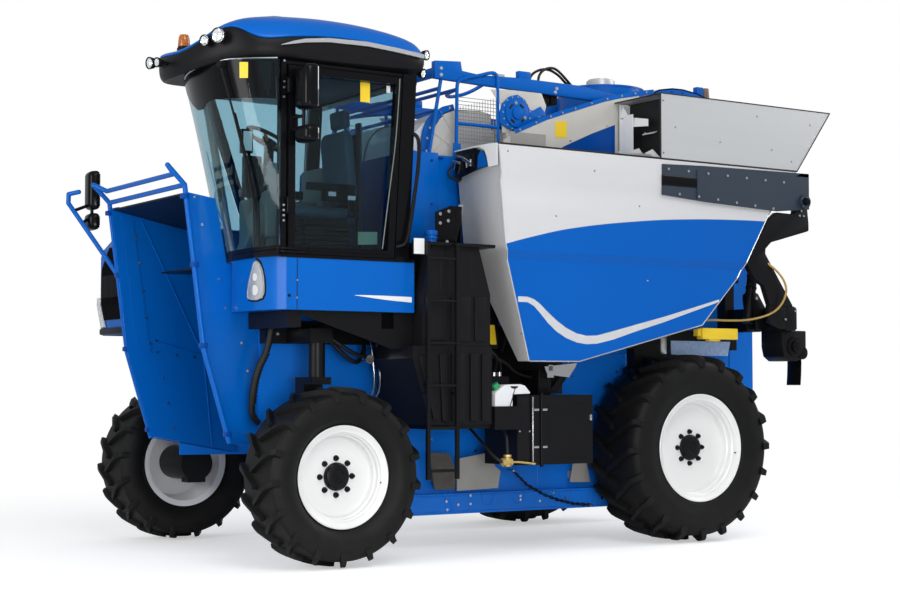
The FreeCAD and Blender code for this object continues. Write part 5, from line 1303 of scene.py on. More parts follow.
bm = bmesh.new()
block(bm, (2.0955, 1.3495, 1.757), (2.1005, 1.3512, 2.112))
rod(bm, (2.158, 1.3495, 1.852), (2.158, 1.353, 1.852), 0.011, 16)
ready("cab_panel_joint", bm, black_plastic)
bm = bmesh.new()
ribbon(bm, [((1.646, 1.349, 1.866), (1.646, 1.349, 1.869)), ((1.56, 1.349, 1.858), (1.56, 1.349, 1.871)),
    ((1.4, 1.349, 1.842), (1.4, 1.349, 1.871)), ((1.183, 1.349, 1.828), (1.183, 1.349, 1.868))], (0, 0.005, 0))
ready("cab_white_stripe", bm, paper_white, flat=50)
bm = bmesh.new()
upright(bm, 1.292, [(2.06, 1.757), (2.06, 1.733), (1.311, 1.498), (1.144, 1.5), (1.144, 1.757)], 0.008)
plate(bm, [(1.144, 1.292, 1.5), (1.311, 1.292, 1.498), (1.311, 1.21, 1.498), (1.144, 1.21, 1.5)], (0, 0, 0.008))
ready("cab_gusset", bm, black_paint)
print("cab trim done")


# %% [markdown]
# ## Inside the cab
# What shows through the glass is the seat, the steering column with its wheel,
# a screen, a console and the lining. The seat is soft: every cushion grows
# from a low block, is divided finely, crowned in its middle and drawn in along
# its sides, as foam under cloth is. Plain vertex moves give that form without a
# simulation, which keeps the script quick.


# %% Cushions
def cushion(name, middle, half, lean, crown, seams):
    """A stuffed pad of these half sizes, turned about Y by `lean`, with sewn channels at its seams."""
    bm = bmesh.new()
    bmesh.ops.create_cube(bm, size=2)
    bmesh.ops.subdivide_edges(bm, edges=bm.edges, cuts=23, use_grid_fill=True)
    for vert in bm.verts:
        x, y, z = vert.co
        round_x, round_y = 1 - 0.1 * y ** 8, 1 - 0.1 * x ** 8
        pull = 1 - 0.035 * (1 - y * y), 1 - 0.05 * (1 - x * x)
        belly = math.sqrt(max(0.0, 1 - 0.25 * z * z))
        height = z * (0.74 + crown * (1 - x ** 4) * (1 - y ** 4))
        if z > 0:
            for axis, place in seams:
                near, far = (x, y) if axis == "along" else (y, x)
                height -= 0.3 * math.exp(-((near - place) / 0.045) ** 2) * (1 - abs(far) ** 6)
        vert.co = (x * half[0] * round_x * pull[0] * belly, y * half[1] * round_y * pull[1] * belly, height *
            half[2])
    turn = Matrix.Rotation(math.radians(lean), 3, "Y")
    for vert in bm.verts:
        vert.co = turn @ vert.co + Vector(middle)
    pad = ready(name, bm, seat_cloth, flat=60)
    subdivided(pad, 1)
    return pad


pads = [cushion("seat_cushion", (1.6, 0.65, 2.49), (0.235, 0.24, 0.052), 0, 0.26, [("along", -0.45),
    ("along", 0.35)]), cushion("seat_back", (1.385, 0.65, 2.845), (0.275, 0.215, 0.05), -84, 0.28,
    [("along", -0.5), ("along", 0.1), ("across", 0.62)]), cushion("seat_headrest", (1.378, 0.65, 3.205),
    (0.07, 0.12, 0.036), -84, 0.26, [])]
bm = bmesh.new()
blocks(bm, ((1.375, 0.445, CAB_FLOOR), (1.785, 0.855, 2.175)), ((1.372, 0.442, 2.395), (1.788, 0.858, 2.432)))
for post in (0.58, 0.72):
    rod(bm, (1.372, post, 3.08), (1.372, post, 3.17), 0.008, 10)
block(bm, (1.338, 0.455, 2.47), (1.352, 0.845, 3.08))
soften(bm, 0.008)
seat_frame = ready("seat_frame", bm, black_plastic, flat=40)
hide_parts("operator_seat")
bm = bmesh.new()
for fold in range(6):
    low = 2.18 + 0.035 * fold
    made = block(bm, (1.385, 0.455, low), (1.775, 0.845, low + 0.033))
    bmesh.ops.scale(bm, verts=made, vec=(0.98 - 0.02 * (fold % 2), 0.98 - 0.02 * (fold % 2), 1),
        space=Matrix.Translation((-1.58, -0.65, 0)))
soften(bm, 0.012, 3)
ready("seat_bellows", bm, rubber, flat=50)
print("cushions:", [pad.name for pad in pads])

# %% Steering wheel, column and console
WHEEL_TURN = Vector((-0.45, 0.1, 0.88)).to_track_quat("Z", "Y").to_matrix()
WHEEL_PLACE = Vector((1.957, 0.65, 3.01))


def at_wheel(bm, verts):
    """Turn a part made at the origin and move it to the steering wheel's place."""
    bmesh.ops.rotate(bm, verts=verts, cent=(0, 0, 0), matrix=WHEEL_TURN)
    bmesh.ops.translate(bm, verts=verts, vec=WHEEL_PLACE)


bm = bmesh.new()
ring_points = [(0.18 + 0.014 * math.cos(math.tau * n / 10), 0.014 * math.sin(math.tau * n / 10)) for n in
    range(10)]
spots = [bm.verts.new((radius, 0, height)) for radius, height in ring_points]
edges = [bm.edges.new(pair) for pair in zip(spots, spots[1:] + spots[:1])]
whirl(bm, spots + edges, 48, (0, 0, 1))
rod(bm, (0, 0, -0.05), (0, 0, 0.0), 0.045, 24, 0.06)
at_wheel(bm, bm.verts)
for foot, head, radius in (((2.05, 0.65, 2.14), (2.005, 0.65, 2.5), 0.05), ((2.005, 0.65, 2.48),
        (1.972, 0.65, 2.79), 0.062), ((1.972, 0.65, 2.78), (1.962, 0.65, DECK), 0.04)):
    rod(bm, foot, head, radius, 20, radius * 0.86)
controls = ready("steering_column_and_wheel", bm, black_plastic, flat=40)
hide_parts("cab_controls")
bm = bmesh.new()
for angle in (0.5, 2.6, 4.7):
    rod(bm, (0.03 * math.cos(angle), 0.03 * math.sin(angle), -0.02), (0.175 * math.cos(angle), 0.175 *
        math.sin(angle), 0), 0.011, 8)
at_wheel(bm, bm.verts)
ready("steering_wheel_spokes", bm, orange, flat=40)

bm = bmesh.new()
blocks(bm, ((1.94, 0.56, 2.3), (2.03, 0.74, 2.64)), ((1.4, 0.15, CAB_FLOOR), (1.96, 0.35, 2.62)),
    ((1.25, -0.05, CAB_FLOOR), (1.33, 0.3, 2.9)))
upright(bm, 0.585, [(2.22, 2.14), (2.11, 2.14), (1.925, 2.6), (1.915, 2.84), (1.99, 2.85), (2.05, 2.56)], 0.13)
soften(bm, 0.018, 3)
ready("cab_consoles", bm, grey_trim, flat=40)
bm = bmesh.new()
blocks(bm, ((1.5, 0.19, 2.64), (1.98, 0.31, 2.7)), ((1.42, 0.905, 2.64), (1.8, 0.965, 2.69)))
for low, high in (((2.215, 0.86, 2.868), (2.3, 0.905, 3.036)), ((2.15, 0.85, 2.56), (2.275, 0.91, 2.85)),
        ((1.3, 1.13, CAB_FLOOR), (2.05, 1.28, 2.16)), ((1.44, 0.95, 2.56), (1.7, 0.99, 2.64))):
    block(bm, low, high)
rods(bm, ((2.13, 0.86, 2.6), (2.25, 0.88, 2.9), 0.012, 12), ((1.9, 0.25, 2.7), (1.93, 0.25, 2.83), 0.02, 12),
    ((1.45, 0.93, 2.45), (1.45, 0.93, 2.66), 0.014, 12), ((2.15, 0.86, 2.14), (2.17, 0.86, 2.56), 0.025, 12),
    ((2.08, 0.56, 2.6), (2.1, 0.9, 2.64), 0.018, 12))
soften(bm, 0.006)
ready("cab_screen_and_levers", bm, gloss_black, flat=40)
bm = bmesh.new()
upright(bm, 0.905, oblong(2.225, 2.885, 2.29, 3.02), 0.002)
upright(bm, 0.992, oblong(1.44, 2.575, 1.5, 2.605), 0.002)
upright(bm, 0.992, oblong(1.6, 2.595, 1.66, 2.625), 0.002)
ready("cab_screen_face", bm, paper_white, flat=40)

# %% Lining, pillar and small labels
bm = bmesh.new()
blocks(bm, ((1.25, -0.06, 3.405), (2.12, 1.29, 3.458)), ((1.2, 0.62, CAB_FLOOR), (1.235, 0.68, 3.2)))
soften(bm, 0.012)
ready("cab_roof_lining", bm, navy, flat=40)
bm = bmesh.new()
start, end = Vector((2.3, 0.235, 3.44)), Vector((2.15, 0.42, 2.18))
for shift in (0.0, 0.045):
    rod(bm, start + Vector((0, shift, 0)), end + Vector((0, shift, 0)), 0.02, 10)
ready("windscreen_pillar", bm, grey_trim, flat=40)
panel("door_green_label", 1.285, [(1.586, 2.317), (1.429, 2.325), (1.429, 2.235), (1.586, 2.227)], 0.002,
    finish("pale green label", (0.3, 0.4, 0.28), (0.26, 0.36, 0.25), 0.5), "door", slot="white_plastic",
    flat=40)
print("cab inside done")


# %% [markdown]
# ## The tunnel's mouth
# Two tall blue plates lead the vines into the tunnel. Their front edges are
# folded outwards for stiffness, rows of bolts hold the plates to their posts,
# and pressed lines run over the far plate. The folds are bent strips grown
# along the plate's edge; the pressed lines are low bars.

# %% Folds, pressed lines and bolts of the entry plates
EDGE = [(1.6, 0.722), (2.29, 0.848), (2.491, 1.496), (2.634, 2.596)]
for side in SIDES:
    sign = SIDES[side]
    bm = bmesh.new()
    for (x0, z0), (x1, z1) in zip(EDGE, EDGE[1:]):
        across = Vector((z1 - z0, 0, x0 - x1)).normalized() * 0.01
        outer = [Vector((x0, 0.68 * sign, z0)), Vector((x1, 0.68 * sign, z1))]
        plate(bm, [outer[0] + across, outer[1] + across, outer[1] + across + Vector((0, 0.03 * sign, 0)),
            outer[0] + across + Vector((0, 0.03 * sign, 0))], -across * 0.6)
    ready(f"{side}_entry_fold", bm, royal_blue, flat=40)
    bm = bmesh.new()
    inner = 0.6655
    lines(bm, inner, (((2.388, 2.512), (1.857, 1.472)), ((1.615, 1.61), (1.857, 1.458)), ((1.857, 1.472),
        (2.264, 1.585)), ((1.857, 1.458), (1.78, 0.76))), 0.006, side)
    if side == "right":
        strip = [(2.56, 2.55), (2.42, 1.56), (2.38, 1.495), (2.3, 1.492), (2.33, 1.64), (2.47, 2.56)]
        plate(bm, beside(inner, strip, side), (0, 0.006, 0))
    ready(f"{side}_entry_pressed_lines", bm, royal_blue, flat=40)
    bm = bmesh.new()
    rows = [(2.445, 2.385), (2.41, 2.186), (2.375, 1.97), (2.348, 1.762), (2.313, 1.561), (2.264, 1.585),
        (2.255, 1.5), (2.096, 1.478), (1.943, 1.464), (1.858, 1.496), (1.789, 1.536), (1.762, 1.442),
        (1.782, 1.75), (2.203, 1.298), (2.159, 1.104), (2.116, 0.91)]
    bolt_heads(bm, beside(inner - 0.004, rows, side), (0, -sign, 0), 0.011, 0.007, 8)
    outside = [(2.56, 2.56), (2.5, 2.37), (2.37, 1.99), (2.32, 1.79), (2.19, 1.542), (2.142, 1.344),
        (2.109, 1.145), (1.75, 0.82), (1.95, 0.86), (2.15, 0.9)]
    side_bolts(bm, 0.68, outside, side, 0.011, 0.007, 8)
    ready(f"{side}_entry_bolts", bm, bright_steel)

# %% Guard clamps
bm = bmesh.new()
for side in SIDES:
    sign = SIDES[side]
    for spot in ((2.64, 2.56), (2.56, 2.085), (2.49, 1.52), (2.3, 0.9)):
        block(bm, (spot[0] - 0.028, sign * 0.698 - 0.022, spot[1] - 0.018), (spot[0] + 0.028, sign * 0.698 +
            0.022, spot[1] + 0.018))
soften(bm, 0.006)
ready("guard_clamps", bm, deep_blue)

# %% [markdown]
# ## Engine hood
# The hood on the right side opens upwards. Its front holds a black grille of
# upright slats, a slim headlight and a bumper bar. Every slat follows the bend
# of the hood's face.

# %% Grille, headlight and bumper
FACE = [(1.7, 2.436), (1.88, 2.478), (2.15, 2.478), (2.33, 2.418), (2.4, 2.365)]


def face_x(height):
    """How far forward the hood's face is at a height."""
    for (z0, x0), (z1, x1) in zip(FACE, FACE[1:]):
        if z0 <= height <= z1:
            return x0 + (x1 - x0) * (height - z0) / (z1 - z0)
    return FACE[0][1] if height < FACE[0][0] else FACE[-1][1]


heights = [1.76 + 0.058 * n for n in range(11)]
bm = bmesh.new()
ribbon(bm, [((face_x(z), -0.85, z), (face_x(z), -1.23, z)) for z in heights], (0.004, 0, 0))
for slat in range(15):
    y = -0.865 - 0.025 * slat
    spots = [Vector((face_x(z) + 0.008, y, z)) for z in heights]
    bars(bm, spots, 0.006, 6)
for y in (-0.85, -1.23):
    spots = [Vector((face_x(z) + 0.006, y, z)) for z in heights]
    bars(bm, spots, 0.01, 8)
ready("hood_grille", bm, gloss_black, "hood", flat=40)
bm = bmesh.new()
heights = [1.705, 1.76, 1.82, 1.88, 1.94]
ribbon(bm, [((face_x(z), -1.275, z), (face_x(z), -1.345 + 0.1 * (z - 1.705), z)) for z in heights],
    (0.012, 0, 0))
ready("hood_headlight", bm, lamp_lens, "hood", flat=40)
bm = bmesh.new()
ribbon(bm, [((face_x(z) - 0.004, -1.265, z), (face_x(z) - 0.004, -1.355 + 0.1 * (z - 1.705), z)) for z in
    heights], (0.008, 0, 0))
ready("hood_headlight_bowl", bm, silver_trim, "hood", flat=40)
bm = bmesh.new()
block(bm, (2.4, -1.37, 1.645), (2.452, -0.72, 1.695))
soften(bm, 0.012, 3)
ready("hood_bumper", bm, black_plastic, "hood", flat=40)
bm = bmesh.new()
for row in range(9):
    block(bm, (1.4, -1.404, 1.9 + 0.045 * row), (2.1, -1.398, 1.918 + 0.045 * row))
block(bm, (1.36, -1.403, 1.86), (2.14, -1.399, 2.33))
ready("hood_side_louvres", bm, black_plastic, "hood", flat=40)
bm = bmesh.new()
bolt_heads(bm, [(1.24, -1.4, 1.7), (1.24, -1.4, 2.4), (2.25, -1.4, 1.7), (2.2, -1.4, 2.36)], (0, -1, 0), 0.016,
    0.01, 16)
ready("hood_latches", bm, bright_steel, "hood")
print("front done")

# %% [markdown]
# ## Tanks and the walkway's corner
# The tanks on the left are moulded plastic: wide upright ribs stiffen their
# sides. Each rib is a sheet with softened edges. Above them stand a filler cap,
# a bolted bracket and a small plate.

# %% Ribs, cap, bracket
RIBS = [oblong(0.585, 0.985, 0.645, 1.465), oblong(0.68, 0.985, 0.745, 1.47), [(0.8, 0.985), (0.9, 0.985),
    (0.905, 1.47), (0.8, 1.47)], [(0.94, 0.985), (0.985, 0.985), (1.01, 1.465), (0.955, 1.465)], [(1.025, 1.0),
    (1.06, 1.0), (1.18, 1.45), (1.11, 1.46)]]
bm = bmesh.new()
for outline in RIBS:
    upright(bm, 1.436, outline, 0.02)
for low, high in ((0.6, 0.7), (0.74, 0.9), (0.95, 1.1)):
    upright(bm, 1.426, oblong(low, 1.56, high, 1.88), 0.016)
for along in (0.72, 0.96):
    upright(bm, 1.428, oblong(along, 1.93, along + 0.03, 2.225), 0.006)
soften(bm, 0.009, 3)
ready("left_tank_ribs", bm, black_plastic)

bm = bmesh.new()
rods(bm, ((0.957, 1.25, 2.258), (0.957, 1.25, 2.33), 0.043, 24), ((0.957, 1.25, 2.325), (0.957, 1.25, 2.36),
    0.05, 16), ((0.957, 1.25, 2.3), (0.957, 1.25, 2.312), 0.052, 24))
soften(bm, 0.004)
ready("tank_filler_cap", bm, royal_blue)

bm = bmesh.new()
upright(bm, 1.236, [(0.913, 2.258), (0.913, 2.5), (0.78, 2.553), (0.68, 2.55), (0.696, 2.409), (0.724, 2.314),
    (0.735, 2.258)], 0.012)
plate(bm, [(0.69, 1.1, 2.258), (0.69, 1.248, 2.258), (0.684, 1.248, 2.54), (0.684, 1.1, 2.54)], (0.01, 0, 0))
block(bm, (1.1, 1.452, 2.16), (1.245, 1.47, 2.262))
soften(bm, 0.004)
ready("walkway_bracket", bm, gloss_black, slot="black_metal")

bm = bmesh.new()
upright(bm, 1.47, oblong(1.152, 2.168, 1.238, 2.278), 0.003)
upright(bm, 1.42, [(0.49, 1.0), (0.528, 1.004), (0.532, 1.042), (0.496, 1.038)], 0.032)
ready("blank_white_plates", bm, paper_white)

bm = bmesh.new()
side_bolts(bm, 1.248, ((0.879, 2.487), (0.805, 2.51), (0.879, 2.42), (0.81, 2.44), (0.82, 2.285)), "left",
    0.016, 0.01)
ready("walkway_bracket_bolts", bm, bright_steel)

# %% [markdown]
# ## Wash-water canister and tool box
# The canister is an extruded outline with softened edges, a green screw cap and
# black strips in its moulded grooves, which are painted shade. The tool box gets
# its gaps, hinges and a pull; the hinge leaves on the door ride with the door.

# %% Canister
bm = bmesh.new()
upright(bm, 1.335, [(0.526, 0.935), (0.526, 1.185), (0.44, 1.246), (0.3, 1.25), (0.262, 1.24), (0.212, 1.19),
    (0.215, 1.18), (0.372, 1.176), (0.372, 0.935)], 0.112)
soften(bm, 0.012, 3)
body = ready("wash_canister", bm, white_plastic)
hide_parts("canister")
bm = bmesh.new()
rods(bm, ((0.468, 1.39, 1.205), (0.498, 1.39, 1.252), 0.028, 20), ((0.47, 1.39, 1.208), (0.48, 1.39, 1.224),
    0.033, 20))
soften(bm, 0.003)
ready("wash_canister_cap", bm, green_cap)
bm = bmesh.new()
# Black strips in the moulded grooves are painted shade for the dark in the recesses.
upright(bm, 1.446, [(0.395, 1.236), (0.322, 1.236), (0.335, 1.222), (0.35, 1.217), (0.366, 1.217),
    (0.385, 1.222)], 0.003)
upright(bm, 1.446, [(0.356, 1.217), (0.35, 1.217), (0.412, 1.03), (0.42, 1.03)], 0.003)
ready("wash_canister_groove_shade", bm, rubber)

# %% Tool box
bm = bmesh.new()
upright(bm, 1.4195, oblong(0.186, 0.69, 0.314, 1.16), 0.004)
upright(bm, 1.4195, oblong(0.196, 0.672, 0.186, 1.165), 0.012)
soften(bm, 0.003)
ready("tool_box_side_panel", bm, black_plastic)
bm = bmesh.new()
rod(bm, (0.176, 1.425, 0.68), (0.176, 1.425, 1.15), 0.006, 12)
side_bolts(bm, 1.423, [(0.295, 0.905), (0.205, 0.905), (0.175, 1.15)], "left", 0.009, 0.005)
for height in (1.062, 0.787):
    block(bm, (0.118, 1.419, height - 0.008), (0.165, 1.426, height + 0.008))
soften(bm, 0.002)
ready("tool_box_fittings", bm, bright_steel)
bm = bmesh.new()
for height in (1.062, 0.787):
    block(bm, (0.045, 1.425, height - 0.008), (0.088, 1.43, height + 0.008))
block(bm, (-0.366, 1.426, 0.978), (-0.346, 1.438, 1.022))
soften(bm, 0.002)
ready("tool_door_fittings", bm, bright_steel, "box_door")
bm = bmesh.new()
upright(bm, 1.4265, oblong(-0.335, 0.7, 0.03, 1.128), 0.003)
soften(bm, 0.002, 1)
ready("tool_door_pressing", bm, black_paint, "box_door")

# %% [markdown]
# ## Under the tanks
# Bare galvanised plates guard the wall, a brass valve drains the system, and a
# safety chain runs to the rear wheel. Each link is a small circle spun
# into a ring and stretched, and every second link is turned over.

# %% Guard plates
bm = bmesh.new()
GUARDS = [[(0.414, 0.682), (-0.041, 0.748), (-0.041, 0.69), (0.072, 0.627), (0.01, 0.579), (0.035, 0.449),
    (0.414, 0.44)], [(-0.693, 0.623), (-0.834, 0.619), (-0.863, 0.467), (-0.662, 0.473)]]
for outline in GUARDS:
    upright(bm, 0.764, outline, 0.006)
upright(bm, WALL, oblong(0.4, 0.5, 0.02, 0.56), 0.075)
upright(bm, WALL, oblong(-0.7, 0.5, -0.8, 0.56), 0.075)
ready("galvanised_guards", bm, galvanised)
bm = bmesh.new()
upright(bm, 0.762, [(0.66, 0.735), (0.48, 0.727), (0.43, 0.6), (0.43, 0.452), (0.615, 0.455)], 0.007)
upright(bm, WALL, oblong(0.6, 0.5, 0.45, 0.56), 0.073)
ready("dirty_foot_guard", bm, weathered)

# %% Beam seams, pockets and bolts
POCKETS = [[(along, 0.42), (along - 0.02, 0.345), (along - 0.04, 0.322), (along - 0.085, 0.322),
    (along - 0.105, 0.345), (along - 0.125, 0.42)] for along in (0.19, -0.1, -0.56)]
SEAMS = [[(0.521, 0.43), (0.505, 0.27)], [(0.47, 0.425), (0.455, 0.3), (0.425, 0.285), (0.31, 0.285),
    (0.285, 0.3), (0.28, 0.425)], [(0.82, 0.281), (-2.38, 0.281)], [(0.78, 0.404), (-2.38, 0.404)],
    [(-0.95, 0.415), (-0.93, 0.275)]]
BEAM_BOLTS = [(0.401, 0.335), (0.289, 0.336), (0.289, 0.4), (0.508, 0.363), (0.5, 0.3), (-0.366, 0.335),
    (-0.18, 0.352), (-0.18, 0.38), (-0.5, 0.395), (-0.62, 0.35), (-0.985, 0.335), (-1.4, 0.34), (-1.9, 0.34)]
WALL_BOLTS = [(0.195, 0.735), (0.013, 0.764), (0.6, 0.83), (0.6, 0.55), (-0.6, 0.8), (-1.0, 0.8), (-1.45, 0.7),
    (-0.3, 1.4), (-0.75, 1.3), (-1.2, 1.35), (0.1, 1.95), (-0.8, 1.95), (-1.7, 1.95), (-2.1, 1.6), (-2.1, 1.1)]
for side in SIDES:
    bm = bmesh.new()
    lines(bm, BEAM_SIDE, POCKETS + SEAMS, 0.005, side)
    for along in (-0.4, -1.3, -2.0):
        lines(bm, WALL, [[(along, 0.45), (along, 1.5)]], 0.006, side)
    lines(bm, WALL, [[(0.6, 1.5), (-2.4, 1.5)]], 0.006, side)
    ready(f"{side}_wall_pressed_lines", bm, wall_blue, flat=50)
    bm = bmesh.new()
    side_bolts(bm, BEAM_SIDE, BEAM_BOLTS, side, 0.013, 0.009)
    side_bolts(bm, WALL, WALL_BOLTS, side, 0.013, 0.009)
    ready(f"{side}_wall_bolts", bm, bright_steel)

# %% Chain
ROUTE = [Vector(spot) for spot in ((-0.116, 0.772, 0.571), (-0.239, 0.772, 0.467), (-0.405, 0.772, 0.383),
    (-0.545, 0.772, 0.335), (-0.7, 0.772, 0.3), (-0.86, 0.772, 0.285))]
bm = bmesh.new()
turned = False
for start, end in zip(ROUTE, ROUTE[1:]):
    count = max(1, round((end - start).length / 0.027))
    for number in range(count):
        middle = start.lerp(end, (number + 0.5) / count)
        before = set(bm.verts)
        section = bmesh.ops.create_circle(bm, radius=0.0042, segments=8, matrix=Matrix.Translation((0.01, 0, 0))
            @ Matrix.Rotation(math.pi / 2, 4, "X"))["verts"]
        edges = list({edge for vert in section for edge in vert.link_edges})
        whirl(bm, section + edges, 14, (0, 0, 1))
        fresh = added(bm, before)
        aim = (end - start).to_track_quat("X", "Z").to_matrix().to_4x4()
        place = Matrix.Translation(middle) @ aim @ Matrix.Rotation(1.3 if turned else 0.2, 4,
            "X") @ Matrix.Diagonal((1.75, 1, 1, 1))
        bmesh.ops.transform(bm, matrix=place, verts=fresh)
        turned = not turned
ready("safety_chain", bm, black_paint, flat=60)
bm = bmesh.new()
rods(bm, ((-0.108, 0.69, 0.58), (-0.108, 0.782, 0.58), 0.01, 12), ((-0.868, 0.69, 0.284),
    (-0.868, 0.782, 0.284), 0.01, 12))
soften(bm, 0.002)
ready("chain_pins", bm, bright_steel)

# %% Valve and lines
bm = bmesh.new()
rods(bm, ((0.385, 1.436, 0.684), (0.45, 1.436, 0.684), 0.026, 18), ((0.412, 1.436, 0.65), (0.412, 1.436, 0.724),
    0.021, 18), ((0.38, 1.436, 0.684), (0.395, 1.436, 0.684), 0.034, 6), ((0.44, 1.436, 0.684),
    (0.462, 1.436, 0.684), 0.032, 6), ((0.412, 1.436, 0.72), (0.412, 1.436, 0.738), 0.03, 6))
soften(bm, 0.003)
ready("drain_valve", bm, brass)
pipe("drain_line", [[(0.395, 1.436, 0.684), (0.3, 1.436, 0.682), (0.2, 1.433, 0.668), (0.16, 1.428, 0.664)]],
    0.008, brass)
pipe("drain_hose", [[(0.412, 1.436, 0.735), (0.412, 1.43, 0.8), (0.395, 1.4, 0.88), (0.4, 1.35, 0.935)],
    [(0.455, 1.436, 0.684), (0.5, 1.43, 0.7), (0.52, 1.3, 0.8), (0.52, 1.1, 0.93), (0.52, 1.0, 0.965)]], 0.011,
    rubber)

# %% [markdown]
# ## Hydraulics behind the ladder
# Behind the tanks a valve block feeds hoses that loop down to the frame. Every
# hose ends at a fitting, so none of them hangs free.

# %% Backing plate and valve blocks
bm = bmesh.new()
plate(bm, [(0.545, 0.8, 1.545), (-0.56, 0.8, 1.545), (-0.43, 0.975, 1.175), (0.545, 0.975, 1.175)],
    (0, 0.008, 0.004))
upright(bm, 0.96, [(-0.38, 1.19), (-0.3, 1.19), (-0.62, 1.545), (-0.7, 1.545)], 0.02)
blocks(bm, ((0.2, 0.98, 1.172), (0.36, 1.16, 1.31)), ((-0.16, 0.98, 1.172), (-0.04, 1.2, 1.36)),
    ((0.36, 1.0, 1.4), (0.545, 1.16, 1.55)), ((0.19, 0.9, 1.52), (0.545, 1.0, 2.02)))
soften(bm, 0.005)
ready("hydraulic_backing", bm, black_paint)
panel("yellow_blank_label", 0.999, [(0.292, 1.697), (0.226, 1.699), (0.206, 1.551), (0.284, 1.548)], 0.003,
    warning_yellow)
bm = bmesh.new()
rods(bm, ((0.5, 1.18, 1.44), (0.57, 1.18, 1.44), 0.016, 14), ((0.485, 1.18, 1.44), (0.5, 1.18, 1.44), 0.024,
    14), ((0.6, 1.15, 1.5), (0.6, 1.15, 1.58), 0.012, 14), ((0.56, 1.1, 1.46), (0.56, 1.17, 1.46), 0.014, 14),
    ((0.575, 1.2, 1.56), (0.575, 1.2, 2.2), 0.009, 14), ((0.535, 1.12, 1.52), (0.535, 1.12, 2.15), 0.009, 14),
    ((0.3, 1.1, 1.31), (0.3, 1.1, 1.34), 0.018, 14), ((0.25, 1.1, 1.31), (0.25, 1.1, 1.34), 0.018, 14))
upright(bm, 1.3, [(-0.021, 1.382), (-0.326, 1.411), (-0.319, 1.389), (-0.25, 1.302), (-0.048, 1.323)], 0.004)
upright(bm, 1.25, oblong(-0.06, 1.35, -0.1, 1.395), 0.054)
upright(bm, 1.19, oblong(-0.05, 1.3, -0.11, 1.36), 0.11)
ready("hydraulic_fittings", bm, bright_steel)
HOSES = [[(0.54, 1.14, 1.54), (0.44, 1.2, 1.52), (0.34, 1.2, 1.46), (0.3, 1.14, 1.4), (0.3, 1.1, 1.33)],
    [(0.54, 1.1, 1.52), (0.42, 1.16, 1.49), (0.3, 1.17, 1.44), (0.25, 1.12, 1.38), (0.25, 1.1, 1.33)],
    [(0.54, 1.06, 1.5), (0.4, 1.12, 1.47), (0.22, 1.14, 1.42), (0.1, 1.1, 1.32), (-0.06, 1.1, 1.3)],
    [(0.5, 1.02, 2.08), (0.6, 1.12, 2.06), (0.63, 1.2, 1.96), (0.62, 1.2, 1.75), (0.61, 1.15, 1.56)],
    [(0.36, 1.02, 2.0), (0.22, 1.05, 1.95), (0.1, 1.0, 1.8), (0.05, 0.92, 1.65), (0.05, 0.84, 1.5)]]
pipe("hydraulic_hoses", HOSES, 0.0115, rubber)

# %% Lines below the cab
pipe("cab_conduit", [[(2.041, 0.86, 1.66), (2.06, 0.855, 1.5), (2.125, 0.835, 1.38), (2.15, 0.8, 1.215),
    (2.15, 0.77, 1.1), (2.12, 0.73, 1.01), (2.06, 0.69, 0.98)]], 0.024, rubber)
bm = bmesh.new()
CONDUIT = [Vector(spot) for spot in ((2.078, 0.85, 1.465), (2.118, 0.835, 1.38), (2.14, 0.815, 1.29),
    (2.148, 0.792, 1.19), (2.143, 0.768, 1.1))]
for start, end in zip(CONDUIT, CONDUIT[1:]):
    for share in (0.0, 0.25, 0.5, 0.75):
        spot = start.lerp(end, share)
        step = (end - start).normalized() * 0.006
        rod(bm, spot - step, spot + step, 0.0285, 16)
ready("cab_conduit_ribs", bm, rubber)
pipe("cab_hoses", [[(1.704, 0.9, 1.65), (1.6, 0.98, 1.56), (1.48, 1.0, 1.48), (1.38, 0.98, 1.45),
    (1.3, 0.9, 1.46), (1.25, 0.79, 1.56)], [(1.64, 0.86, 1.65), (1.56, 0.9, 1.53), (1.44, 0.92, 1.42),
    (1.33, 0.88, 1.4), (1.25, 0.79, 1.5)]], 0.016, rubber)
pipe("cab_steel_lines", [[(along, 0.78, 1.65), (along, 0.9, 1.6), (along, 0.93, 1.45),
    (along - 0.02, 0.93, 1.25), (along - 0.03, 0.86, 1.15), (along - 0.04, 0.69, 1.08)] for along in
    (1.254, 1.205, 1.15)], 0.008, bright_steel)
bm = bmesh.new()
side_bolts(bm, 0.79, ((2.02, 1.668), (1.96, 1.674), (2.02, 1.601), (1.96, 1.607)), "left", 0.014, 0.01)
rods(bm, ((2.04, 0.86, 1.64), (2.04, 0.86, 1.69), 0.03, 14), ((2.085, 0.84, 1.7), (2.085, 0.9, 1.7), 0.02, 14),
    ((1.31, 0.93, 1.43), (1.31, 0.99, 1.43), 0.034, 14))
ready("cab_underside_fittings", bm, bright_steel)

# %% [markdown]
# ## Upper beams and handrails
# The long blue beams carry the fans. Each beam is an extruded outline with a
# tall head at the front; small blocks and bolts finish it. The handrails are
# bent tubes: a few control points and one radius.

